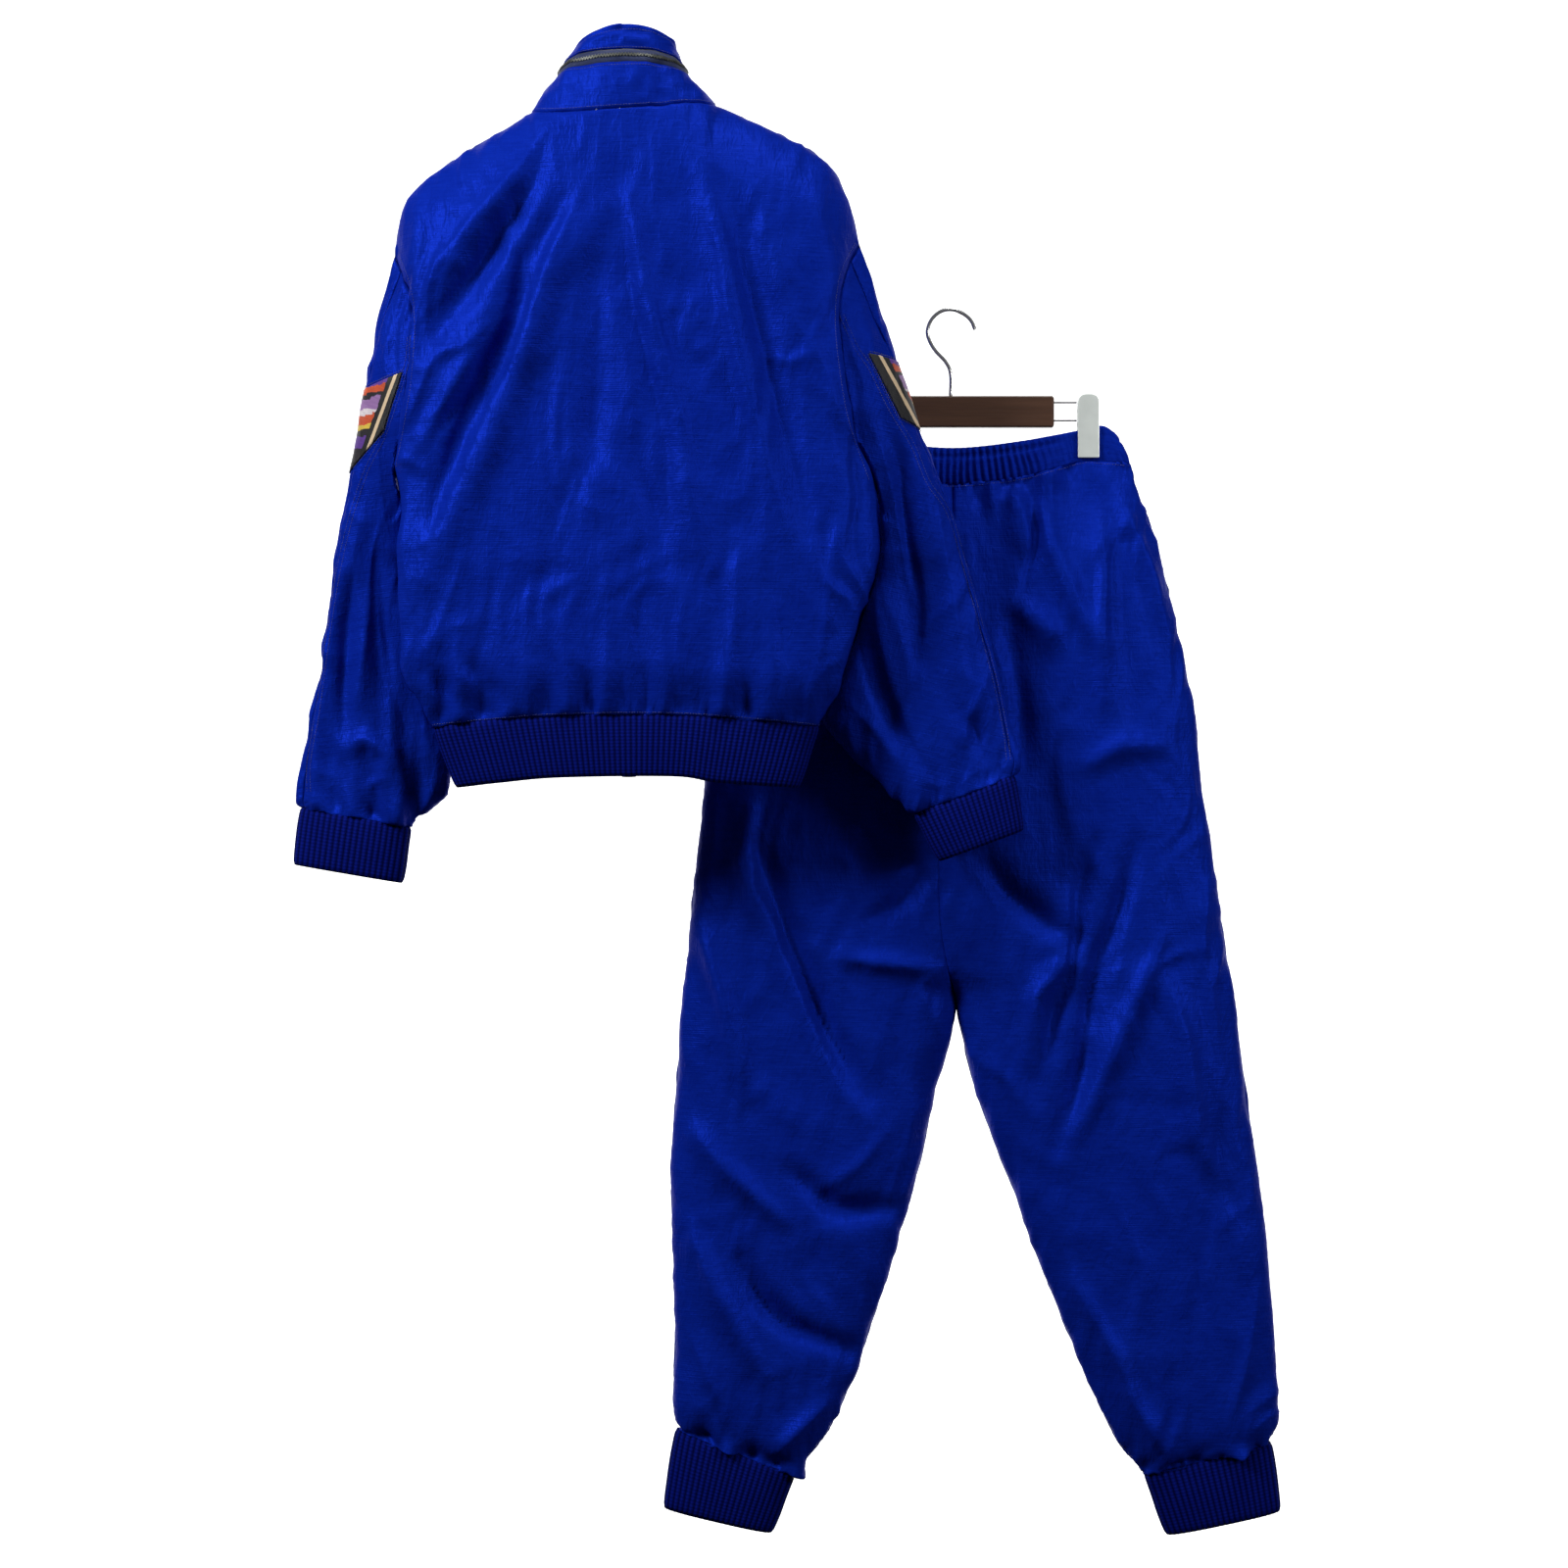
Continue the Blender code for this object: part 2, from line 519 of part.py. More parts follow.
def make_object(name, points, faces, finish, place=(0, 0, 0)):
    """Makes a mesh object from points in millimetres, with its faces turned outwards."""
    mesh = bpy.data.meshes.new(name)
    scaled = (np.asarray(points) + np.asarray(place)) * METRES
    corners = np.array(faces)
    a, b, c = scaled[corners[:, 0]], scaled[corners[:, 1]], scaled[corners[:, 2]]
    volume = np.sum(np.cross(a, b) * c)
    if volume < 0:
        faces = [tuple(reversed(face)) for face in faces]
    mesh.from_pydata([tuple(point) for point in scaled], [], faces)
    mesh.validate()
    mesh.update()
    mesh.shade_smooth()
    mesh.set_sharp_from_angle(angle=math.radians(40))
    material = bpy.data.materials.new(name)
    material.use_nodes = True
    shader = material.node_tree.nodes["Principled BSDF"]
    shader.inputs["Base Color"].default_value = (*finish.colour, 1)
    shader.inputs["Roughness"].default_value = finish.roughness
    shader.inputs["Metallic"].default_value = finish.metallic
    mesh.materials.append(material)
    item = bpy.data.objects.new(name, mesh)
    bpy.context.scene.collection.objects.link(item)
    return item


def rib_band(top_at, bottom_at, ribs, closed=True, start=0.0, stop=1.0, plain_cells=60, wall=KNIT_WALL):
    """A ribbed wall between two edges given as functions of the turn; only its outside is ribbed."""
    count = 2 * ribs
    dense = np.linspace(start, stop, 2001)
    length = np.concatenate([[0], np.cumsum(np.linalg.norm(np.diff(top_at(dense), axis=0), axis=1))])
    turns = np.interp(even(count), length / length[-1], dense)
    plain_turns = turns[2 * np.round(even(plain_cells) * ribs).astype(int)]
    points = []
    lines = []

    def line_of(edge, at, relief, depth):
        middle = edge(np.linspace(0, 1, 64, endpoint=False)).mean(axis=0)
        base = edge(at)
        ahead = edge(np.clip(at + 0.002, start if not closed else -1, stop if not closed else 2))
        behind = edge(np.clip(at - 0.002, start if not closed else -1, stop if not closed else 2))
        along = ahead - behind
        up = top_at(at) - bottom_at(at)
        normal = np.cross(along, up)
        normal /= np.linalg.norm(normal, axis=1)[:, None]
        outward = np.sum(normal * (base - middle), axis=1)
        if np.sum(outward) < 0:
            normal = -normal
        return base + normal * (relief - depth)[:, None]

    relief = np.where(np.arange(count + 1) % 2 == 0, 0.0, RIB_RELIEF)
    flat = np.zeros(plain_cells + 1)
    for edge in (top_at, bottom_at):
        outer = line_of(edge, turns, relief, np.zeros(count + 1))
        inner = line_of(edge, plain_turns, flat, flat + wall)
        if closed:
            outer = outer[:-1]
            inner = inner[:-1]
        for line in (outer, inner):
            first = len(points)
            points.extend(line)
            numbers = list(range(first, len(points)))
            lines.append(numbers + numbers[:1] if closed else numbers)
    outer_top, inner_top, outer_bottom, inner_bottom = lines
    faces = bridge(outer_top, turns, outer_bottom, turns)
    faces += bridge(inner_bottom, plain_turns, inner_top, plain_turns)
    faces += bridge(inner_top, plain_turns, outer_top, turns)
    faces += bridge(outer_bottom, turns, inner_bottom, plain_turns)
    if not closed:
        for k in (0, -1):
            a, b, c, d = outer_top[k], inner_top[k], inner_bottom[k], outer_bottom[k]
            faces += [(a, b, c), (a, c, d)] if k == -1 else [(c, b, a), (d, c, a)]
    return np.array(points), faces


def section_ring(section, turns, power=SECTION_POWER):
    """A flattened ring between two edges: turn 0 is the outer edge, 0.25 the back, 0.5 the inner."""
    angle = 2 * np.pi * np.asarray(turns, float)
    share = (1 - np.cos(angle)) / 2
    sine = np.where(np.sin(angle) < 0, -1, 1) * bulge(share, power)
    x = section.outer_x + (section.inner_x - section.outer_x) * share
    z = section.outer_z + (section.inner_z - section.outer_z) * share
    return np.column_stack([x, section.middle - section.depth * sine, z])


def blend_sections(rows, cells):
    """Sections at even shares of a table of sections, read along smooth curves."""
    kind = type(rows[0])
    keyed = namedtuple("Keyed", ("share",) + kind._fields)
    spread = np.linspace(0, 1, len(rows))
    table = [keyed(share, *row) for share, row in zip(spread, rows)]
    shares = even(cells)
    columns = [smooth_table(table, name, shares) for name in kind._fields]
    return [kind(*values) for values in zip(*columns)]


def coons(bottom, top, left, right, shares, heights):
    """The x, z points of a patch stretched between its four edges."""
    rows = []
    for k, v in enumerate(heights):
        u = shares[:, None]
        corner = ((1 - u) * (1 - v) * bottom[0] + u * (1 - v) * bottom[-1]
                  + (1 - u) * v * top[0] + u * v * top[-1])
        rows.append((1 - v) * bottom + v * top + (1 - u) * left[k] + u * right[k] - corner)
    return rows


def neck_back_shares():
    """Shares of the back neckline at its points, closer together at its ends."""
    return (1 - np.cos(np.pi * even(NECK_BACK_CELLS))) / 2


def neck_front_shares(width):
    """Shares of a front neckline of the given width, with the zip's tape in the middle."""
    side = (1 - np.cos(np.pi / 2 * even(NECK_FRONT_CELLS))) * (0.5 - TAPE_WIDTH / 2 / width)
    return np.concatenate([side, (1 - side)[::-1]])


def body_columns():
    """Shares of the width at the columns of the back panel and of the fronts with their zip."""
    shoulder = SHOULDER_SHARE
    neck = 1 - 2 * shoulder
    back = np.concatenate([even(SHOULDER_CELLS) * shoulder,
                           shoulder + neck_back_shares()[1:-1] * neck,
                           1 - shoulder + even(SHOULDER_CELLS) * shoulder])
    side = shoulder + neck_front_shares(BODY_WIDTH * neck)[:NECK_FRONT_CELLS + 1] * neck
    front = np.concatenate([even(SHOULDER_CELLS)[:-1] * shoulder, side, (1 - side)[::-1],
                            (1 - even(SHOULDER_CELLS)[:-1] * shoulder)[::-1]])
    return back, front


def armhole_shares():
    """Shares of an armhole's half from the armpit up, closer together at its ends."""
    return 0.5 * even(ARMHOLE_CELLS) + 0.25 * (1 - np.cos(np.pi * even(ARMHOLE_CELLS)))


def body_heights():
    """Shares of the body's height at its rows."""
    return np.concatenate([even(SIDE_CELLS) * ARMPIT_SHARE,
                           ARMPIT_SHARE + armhole_shares()[1:] * (1 - ARMPIT_SHARE)])


def body_panel(side):
    """The points of the jacket's back, or of its fronts with the zip between them, row by row."""
    back_shares, front_shares = body_columns()
    is_back = side == "back"
    shares = back_shares if is_back else front_shares
    armhole_left = ARMHOLE_BACK_LEFT if is_back else ARMHOLE_FRONT_LEFT
    armhole_right = ARMHOLE_BACK_RIGHT if is_back else ARMHOLE_FRONT_RIGHT
    left = np.vstack([curve_points(SIDE_LEFT, even(SIDE_CELLS)),
                      curve_points(armhole_left, armhole_shares())[1:]])
    right = np.vstack([curve_points(SIDE_RIGHT, even(SIDE_CELLS)),
                       curve_points(armhole_right, armhole_shares())[1:]])
    shoulder_left = curve_points(SHOULDER_LEFT, even(SHOULDER_CELLS))[::-1]
    shoulder_right = curve_points(SHOULDER_RIGHT, even(SHOULDER_CELLS))
    if is_back:
        neck = curve_points(NECK_BACK, neck_back_shares())
        neck_y = SHOULDER_Y + (NECK_BACK_Y - SHOULDER_Y) * bulge(neck_back_shares(), NECK_POWER)
    else:
        front_shares = neck_front_shares(NECK_WIDTH)
        neck = curve_points(NECK_FRONT, front_shares)
        neck_y = SHOULDER_Y + (NECK_FRONT_Y - SHOULDER_Y) * bulge(front_shares, NECK_POWER)
    top = np.vstack([shoulder_left, neck[1:-1], shoulder_right])
    top_y = np.concatenate([np.full(len(shoulder_left), SHOULDER_Y), neck_y[1:-1],
                            np.full(len(shoulder_right), SHOULDER_Y)])
    bottom = curve_points(HEM_SEAM, shares)
    plan = coons(bottom, top, left, right, shares, body_heights())
    bottom_middle, top_middle = (np.interp(0.5, shares, row[:, 0]) for row in (bottom, top))
    for v, flat in zip(body_heights(), plan):
        straight = bottom_middle + (top_middle - bottom_middle) * v
        flat[:, 0] += (straight - np.interp(0.5, shares, flat[:, 0])) * bulge(shares, 2) * (0 < v < 1)
    rows = []
    for k, (v, flat) in enumerate(zip(body_heights(), plan)):
        depth = smooth_table(BODY_DEPTHS, side, [v])[0]
        edge = smooth_table(BODY_DEPTHS, "edge_" + side, [v])[0]
        section = edge + (depth - edge) * bulge(shares)
        drop = np.linalg.norm(plan[-1] - flat, axis=1)
        rounding = np.sqrt(1 - (1 - np.clip(drop / SHOULDER_ROUNDING, 0, 1)) ** 2)
        y = top_y + (section - top_y) * rounding
        relief = fold_relief(flat, JACKET_FOLDS, side)
        hem_fade = min(1.0, v / 0.08)
        neck_fade = np.clip((drop - 10) / NECK_FADE, 0, 1)
        relief = relief * hem_fade * neck_fade * np.clip(8 * bulge(shares, 2) - 1.5, 0, 1)
        gather = GATHER_RELIEF * np.where(np.arange(len(shares)) % 2 == 0, 1, -1)
        gather = gather * math.exp(-(k * 26.0) / GATHER_FADE) * (0 < k < 4)
        relief = relief + gather * bulge(shares, 2)
        rows.append(np.column_stack([flat[:, 0], y + relief * (-1 if is_back else 1), flat[:, 1]]))
    return rows


def collar_point_rows(base):
    """Rows of points of the collar above its base ring, whose plan they follow."""
    is_back = base[:, 1] < SHOULDER_Y
    foot = COLLAR_RINGS[0]
    across = (base[:, 0] - foot.left_x) / (foot.right_x - foot.left_x)
    height = (base[:, 1] - SHOULDER_Y) / (np.where(is_back, NECK_BACK_Y, NECK_FRONT_Y) - SHOULDER_Y)
    lift = np.clip(height, 0, 1) ** 1.4
    rows = []
    for ring in COLLAR_RINGS[1:]:
        x = ring.left_x + (ring.right_x - ring.left_x) * across
        z = ring.left_z + (ring.right_z - ring.left_z) * across
        z = z + np.where(is_back, ring.rise_back, ring.rise_front) * lift
        y = SHOULDER_Y + (np.where(is_back, ring.back, ring.front) - SHOULDER_Y) * height
        rows.append(np.column_stack([x, y, z]))
    return [base, (base + rows[0]) / 2] + rows


def build_jacket():
    """The jacket's cloth, as one labelled surface, cut into its pieces."""
    cloth = Cloth()
    back = [cloth.add_points(row) for row in body_panel("back")]
    front_rows = body_panel("front")
    middle = SIDE_CELLS
    front = []
    for k, row in enumerate(front_rows):
        numbers = cloth.add_points(row[1:-1])
        if k <= middle:
            numbers = [back[k][0]] + numbers + [back[k][-1]]
        elif k < len(front_rows) - 1:
            edge = cloth.add_points([row[0], row[-1]])
            numbers = [edge[0]] + numbers + [edge[1]]
        else:
            inner = numbers[SHOULDER_CELLS:len(numbers) - SHOULDER_CELLS]
            numbers = back[k][:SHOULDER_CELLS + 1] + inner + back[k][-SHOULDER_CELLS - 1:]
        front.append(numbers)
    zip_cell = SHOULDER_CELLS + NECK_FRONT_CELLS
    columns = 2 * zip_cell + 1

    def front_piece(row, column):
        if column == zip_cell:
            return "front_zip"
        return "jacket_front_left" if column < zip_cell else "jacket_front_right"

    cloth.add_grid(back, lambda r, c: "jacket_back")
    cloth.add_grid(front, front_piece, turned=True)

    # The zip goes on down through the hem rib
    hem = hem_edge(np.array([0.75]))[0]
    foot = [hem + (sign * TAPE_WIDTH / 2, 0, 0) for sign in (-1, 1)]
    foot_numbers = cloth.add_points(foot)
    cloth.add_grid([foot_numbers, front[0][zip_cell:zip_cell + 2]], lambda r, c: "front_zip", turned=True)

    # Collar, on the ring of neck points
    neck_back = back[-1][SHOULDER_CELLS:SHOULDER_CELLS + NECK_BACK_CELLS + 1]
    neck_front = front[-1][SHOULDER_CELLS + 1:columns - SHOULDER_CELLS]
    neck = neck_back + neck_front[::-1] + neck_back[:1]
    base = np.array([cloth.points[i] for i in neck])
    rings = [neck]
    for row in collar_point_rows(base)[1:]:
        numbers = cloth.add_points(row[:-1])
        rings.append(numbers + numbers[:1])
    zip_column = NECK_BACK_CELLS + NECK_FRONT_CELLS

    def collar_piece(row, column):
        if column == zip_column:
            return "front_zip"
        if row < COLLAR_LOWER_ROWS:
            return "collar_lower"
        near_back = column < NECK_BACK_CELLS + ZIP_TURN_CELLS or column >= len(neck) - 1 - ZIP_TURN_CELLS
        if row == COLLAR_LOWER_ROWS and near_back:
            return "collar_zip"
        return "collar_upper"

    cloth.add_grid(rings, collar_piece)
    cloth.collar_rings = rings
    cloth.zip_column = zip_column

    # Sleeves, on the armholes' rings of points
    for side, rows, sign in (("left", SLEEVE_LEFT, 1), ("right", SLEEVE_RIGHT, -1)):
        edge = 0 if side == "left" else -1
        near = [back[k][edge] for k in range(len(back) - 1, middle - 1, -1)]
        far = [front[k][edge] for k in range(middle + 1, len(front))]
        build_sleeve(cloth, side, rows, near + far, turned=side == "left")
    cloth.settle(SHELL_WALL, lambda name: name.rsplit("_", 1)[0] if name.startswith("sleeve") else "body")
    return cloth


def build_sleeve(cloth, side, sections, armhole, turned):
    """One sleeve in two pieces, whose outer seam lies a little to the back of its edge."""
    turns = np.linspace(0, 1, len(armhole))
    loop = np.array([cloth.points[i] for i in armhole])
    rows = [armhole]
    table = blend_sections(sections, SLEEVE_CELLS)
    start = section_ring(table[0], turns)
    for k, section in enumerate(table[1:], 1):
        ring = section_ring(section, turns)
        keep = max(0.0, 1 - k / 4) ** 2
        ring = ring + (loop - start) * keep
        fade = min(1.0, k / 3) * min(1.0, (SLEEVE_CELLS - k) / 3)
        angle = 2 * np.pi * turns
        for side_name, direction in (("back", -1), ("front", 1)):
            facing = np.clip(np.sin(angle) * -direction, 0, 1)
            relief = fold_relief(ring[:, [0, 2]], SLEEVE_FOLDS, side_name) * fade
            ring[:, 1] += direction * relief * facing
        steps = SLEEVE_CELLS - k
        if 0 < steps < 3:
            gather = np.where(np.arange(len(turns)) % 2 == 0, 1, -1) * GATHER_RELIEF / (1 + steps)
            ring[:, 1] -= gather * np.sin(angle)
        numbers = cloth.add_points(ring[:-1])
        rows.append(numbers + numbers[:1])
    half = ARMHOLE_CELLS

    def piece(row, column):
        return f"sleeve_{side}_back" if 1 <= column < half else f"sleeve_{side}_front"

    cloth.add_grid(rows, piece, turned=turned)
    cloth.sleeve_rows = getattr(cloth, "sleeve_rows", {})
    cloth.sleeve_rows[side] = rows


def patch_solid(cloth, side):
    """The printed panel: the sleeve's own cells inside the panel's outline, moved out."""
    rows = cloth.sleeve_rows[side]
    outline = PATCH_LEFT if side == "left" else PATCH_RIGHT
    outward = 1 if side == "left" else -1
    sheet = bmesh.new()
    lean = sheet.verts.layers.float_vector.new("lean")
    made = {}
    for row in rows[:PATCH_ROWS]:
        for number in row:
            if number not in made:
                made[number] = sheet.verts.new(cloth.outer[number])
                made[number][lean] = cloth.normals[number]
    for r in range(PATCH_ROWS - 1):
        for c in range(len(rows[r]) - 1):
            corners = [rows[r][c], rows[r][c + 1], rows[r + 1][c + 1], rows[r + 1][c]]
            if side == "left":
                corners.reverse()
            a, b, d, e = (made[corner] for corner in cloth.split_short(corners))
            sheet.faces.new([a, b, d])
            sheet.faces.new([a, d, e])
    for (x0, z0), (x1, z1) in zip(outline[:-1], outline[1:]):
        away = np.array([z0 - z1, 0, x1 - x0], float) * outward
        bmesh.ops.bisect_plane(sheet, geom=sheet.verts[:] + sheet.edges[:] + sheet.faces[:], dist=0.01,
                               plane_co=(x0, 0, z0), plane_no=away, clear_outer=True)
    bmesh.ops.triangulate(sheet, faces=sheet.faces[:])
    bmesh.ops.dissolve_degenerate(sheet, dist=0.2, edges=sheet.edges[:])
    bmesh.ops.triangulate(sheet, faces=sheet.faces[:])
    sheet.verts.index_update()
    points = np.array([vert.co for vert in sheet.verts])
    normals = np.array([vert[lean] for vert in sheet.verts])
    normals /= np.linalg.norm(normals, axis=1)[:, None]
    count = len(points)
    faces = []
    for face in sheet.faces:
        a, b, c = (vert.index for vert in face.verts)
        faces += [(a, b, c), (count + c, count + b, count + a)]
    for edge in sheet.edges:
        if edge.is_boundary:
            corner = edge.link_loops[0]
            a, b = corner.vert.index, corner.link_loop_next.vert.index
            faces += [(b, a, count + a), (b, count + a, count + b)]
    sheet.free()
    above = points + normals * (PATCH_LIFT + PATCH_WALL)
    below = points + normals * PATCH_LIFT
    return np.vstack([above, below]), faces


def hem_ring(outline, turns, back, front, edge_y):
    """A ring of the jacket's hem: turn 0 is the left edge, 0.25 the back, 0.75 the front."""
    turns = np.asarray(turns) % 1.0
    share = np.where(turns <= 0.5, 2 * turns, 2 - 2 * turns)
    share = (1 - np.cos(np.pi * share)) / 2
    flat = curve_points(outline, share)
    depth = np.where(turns <= 0.5, back, front)
    return np.column_stack([flat[:, 0], edge_y + (depth - edge_y) * bulge(share), flat[:, 1]])


def hem_seam(turns):
    row = BODY_DEPTHS[0]
    ring = hem_ring(HEM_SEAM, turns, row.back, row.front, row.edge_back)
    ring[:, 2] -= RIB_GAP
    return ring


def hem_edge(turns):
    row = BODY_DEPTHS[0]
    return hem_ring(HEM_EDGE, turns, row.back + 4, row.front - 3, row.edge_back)


def build_trousers():
    """The trousers' cloth, as one labelled surface, cut into its four panels."""
    cloth = Cloth()
    table_left = blend_sections(LEG_LEFT, LEG_CELLS)
    table_right = blend_sections(LEG_RIGHT, LEG_CELLS)
    crotch = next(k for k, row in enumerate(table_left) if row.turn > 0.97)
    grids = {}
    for side, table in (("left", table_left), ("right", table_right)):
        grids[side] = [leg_row(row, k, side) for k, row in enumerate(table)]
    for k in range(crotch + 1):
        for arc in ("back", "front"):
            middle = (grids["left"][k][arc][-1] + grids["right"][k][arc][-1]) / 2
            grids["left"][k][arc][-1] = middle
            grids["right"][k][arc][-1] = middle
    shared = {}
    for side in ("left", "right"):
        back_rows = []
        front_rows = []
        for k, row in enumerate(grids[side]):
            back = cloth.add_points(row["back"][:-1])
            front = cloth.add_points(row["front"][1:-1])
            if k <= crotch:
                if k not in shared:
                    inner_back = cloth.add_points([row["back"][-1]])[0]
                    inner_front = inner_back if k == crotch else cloth.add_points([row["front"][-1]])[0]
                    shared[k] = (inner_back, inner_front)
                inner_back, inner_front = shared[k]
            else:
                inner_back = inner_front = cloth.add_points([row["back"][-1]])[0]
            back_rows.append(back + [inner_back])
            front_rows.append([back[0]] + front + [inner_front])
        turned = side == "left"
        cloth.add_grid(back_rows, lambda r, c: f"trouser_back_{side}", turned=turned)
        cloth.add_grid(front_rows, lambda r, c: f"trouser_front_{side}", turned=not turned)
    cloth.settle(SHELL_WALL, lambda name: name.split("_")[-1])
    return cloth


def pinch(x, z):
    """Share of the depth that the clips leave at x, z."""
    near = np.exp(-((np.abs(x) - CLIP_X) / PINCH_REACH) ** 4)
    fade = np.clip((z - PINCH_FADE_Z) / (CLIP_Z[0] - 5 - PINCH_FADE_Z), 0, 1)
    return 1 - (1 - PINCH_SHARE) * near * fade


def leg_row(section, row, side):
    """One row of a leg's back and front points, from its side seam to its inner seam."""
    arcs = {}
    for arc, cells, depth in (("back", LEG_BACK_CELLS, section.back), ("front", LEG_FRONT_CELLS, section.front)):
        angle = np.pi * even(cells) * section.turn
        share = (1 - np.cos(angle)) / 2
        share /= share[-1]
        x = section.outer_x + (section.inner_x - section.outer_x) * share
        z = section.outer_z + (section.inner_z - section.outer_z) * share
        straight = LEG_LEFT[0].outer_z + (LEG_LEFT[0].inner_z - LEG_LEFT[0].outer_z) * share
        waist = curve_points(WAIST_SEAM, even(100))
        seam = np.interp(x, waist[:, 0], waist[:, 1])
        z = z + (seam - straight) * math.exp((section.outer_z - LEG_LEFT[0].outer_z) / WAIST_SEAM_FADE)
        arch = bulge((1 - np.cos(angle)) / 2)
        y = LEG_EDGE_Y + (depth - LEG_EDGE_Y) * arch
        sign = -1 if arc == "back" else 1
        y = LEG_EDGE_Y + (y - LEG_EDGE_Y) * pinch(x, z)
        fade = min(1.0, row / 2) * min(1.0, (LEG_CELLS - row) / 2) * np.clip(2.2 * arch - 0.4, 0, 1)
        relief = fold_relief(np.column_stack([x, z]), TROUSER_FOLDS, arc) * fade
        gather = np.where(np.arange(len(x)) % 2 == 0, 1, -1) * arch * GATHER_RELIEF
        near_edge = min(row, LEG_CELLS - row)
        if 0 < near_edge < 4:
            relief += gather * pinch(x, z) / near_edge
        arcs[arc] = np.column_stack([x, y + sign * relief, z])
    return arcs


def waist_ring(outline, drop, turns):
    """A ring of the waistband: turn 0 is the left edge, 0.25 the back, 0.75 the front."""
    turns = np.asarray(turns) % 1.0
    share = np.where(turns <= 0.5, 2 * turns, 2 - 2 * turns)
    share = (1 - np.cos(np.pi * share)) / 2
    flat = curve_points(outline, share)
    sign = np.where(turns <= 0.5, -1, 1)
    y = LEG_EDGE_Y + sign * WAIST_DEPTH * bulge(share) * pinch(flat[:, 0], flat[:, 1])
    return np.column_stack([flat[:, 0], y, flat[:, 1] + drop])


def limb_band(top, bottom, ribs, top_depth, bottom_depth, middle_top=0.0, middle_bottom=0.0):
    """A ribbed cuff between two edges given as outer and inner corners."""
    section = namedtuple("Edge", "outer_x outer_z inner_x inner_z middle depth")
    run = np.array([bottom.outer_x - top.outer_x, bottom.outer_z - top.outer_z])
    run = run / np.linalg.norm(run) * RIB_GAP
    top_edge = section(top.outer_x + run[0], top.outer_z + run[1], top.inner_x + run[0],
                       top.inner_z + run[1], middle_top, top_depth)
    bottom_edge = section(bottom.outer_x, bottom.outer_z, bottom.inner_x, bottom.inner_z,
                          middle_bottom, bottom_depth)
    return rib_band(lambda t: section_ring(top_edge, t), lambda t: section_ring(bottom_edge, t), ribs,
                    plain_cells=24)


def tube(path, radius, sides=8, bend_cells=30):
    """A round wire along a smooth path of x, y, z points, with flat ends."""
    line = curve_points(path, even(bend_cells))
    points = []
    along = np.gradient(line, axis=0)
    along /= np.linalg.norm(along, axis=1)[:, None]
    for centre, run in zip(line, along):
        first = np.cross(run, (0, 1, 0))
        first /= np.linalg.norm(first)
        second = np.cross(run, first)
        for k in range(sides):
            angle = 2 * math.pi * k / sides
            points.append(centre + radius * (math.cos(angle) * first + math.sin(angle) * second))
    faces = []
    for r in range(len(line) - 1):
        for c in range(sides):
            a, b = r * sides + c, r * sides + (c + 1) % sides
            faces += [(a, b, b + sides), (a, b + sides, a + sides)]
    last = (len(line) - 1) * sides
    faces += [(0, k + 1, k) for k in range(1, sides - 1)]
    faces += [(last, last + k, last + k + 1) for k in range(1, sides - 1)]
    return np.array(points), faces


def loft(sections):
    """A closed solid through sections with the same number of points."""
    count = len(sections[0])
    faces = []
    for r in range(len(sections) - 1):
        for c in range(count):
            a, b = r * count + c, r * count + (c + 1) % count
            faces += [(a, b, b + count), (a, b + count, a + count)]
    last = (len(sections) - 1) * count
    faces += [(0, k + 1, k) for k in range(1, count - 1)]
    faces += [(last, last + k, last + k + 1) for k in range(1, count - 1)]
    return np.vstack(sections), faces


def box_section(x, y, z, corner):
    """A rectangle across x with its corners cut: y and z are its lowest and highest values."""
    (y0, y1), (z0, z1) = y, z
    outline = [(y0 + corner, z0), (y1 - corner, z0), (y1, z0 + corner), (y1, z1 - corner),
               (y1 - corner, z1), (y0 + corner, z1), (y0, z1 - corner), (y0, z0 + corner)]
    return np.array([(x, y, z) for y, z in outline])


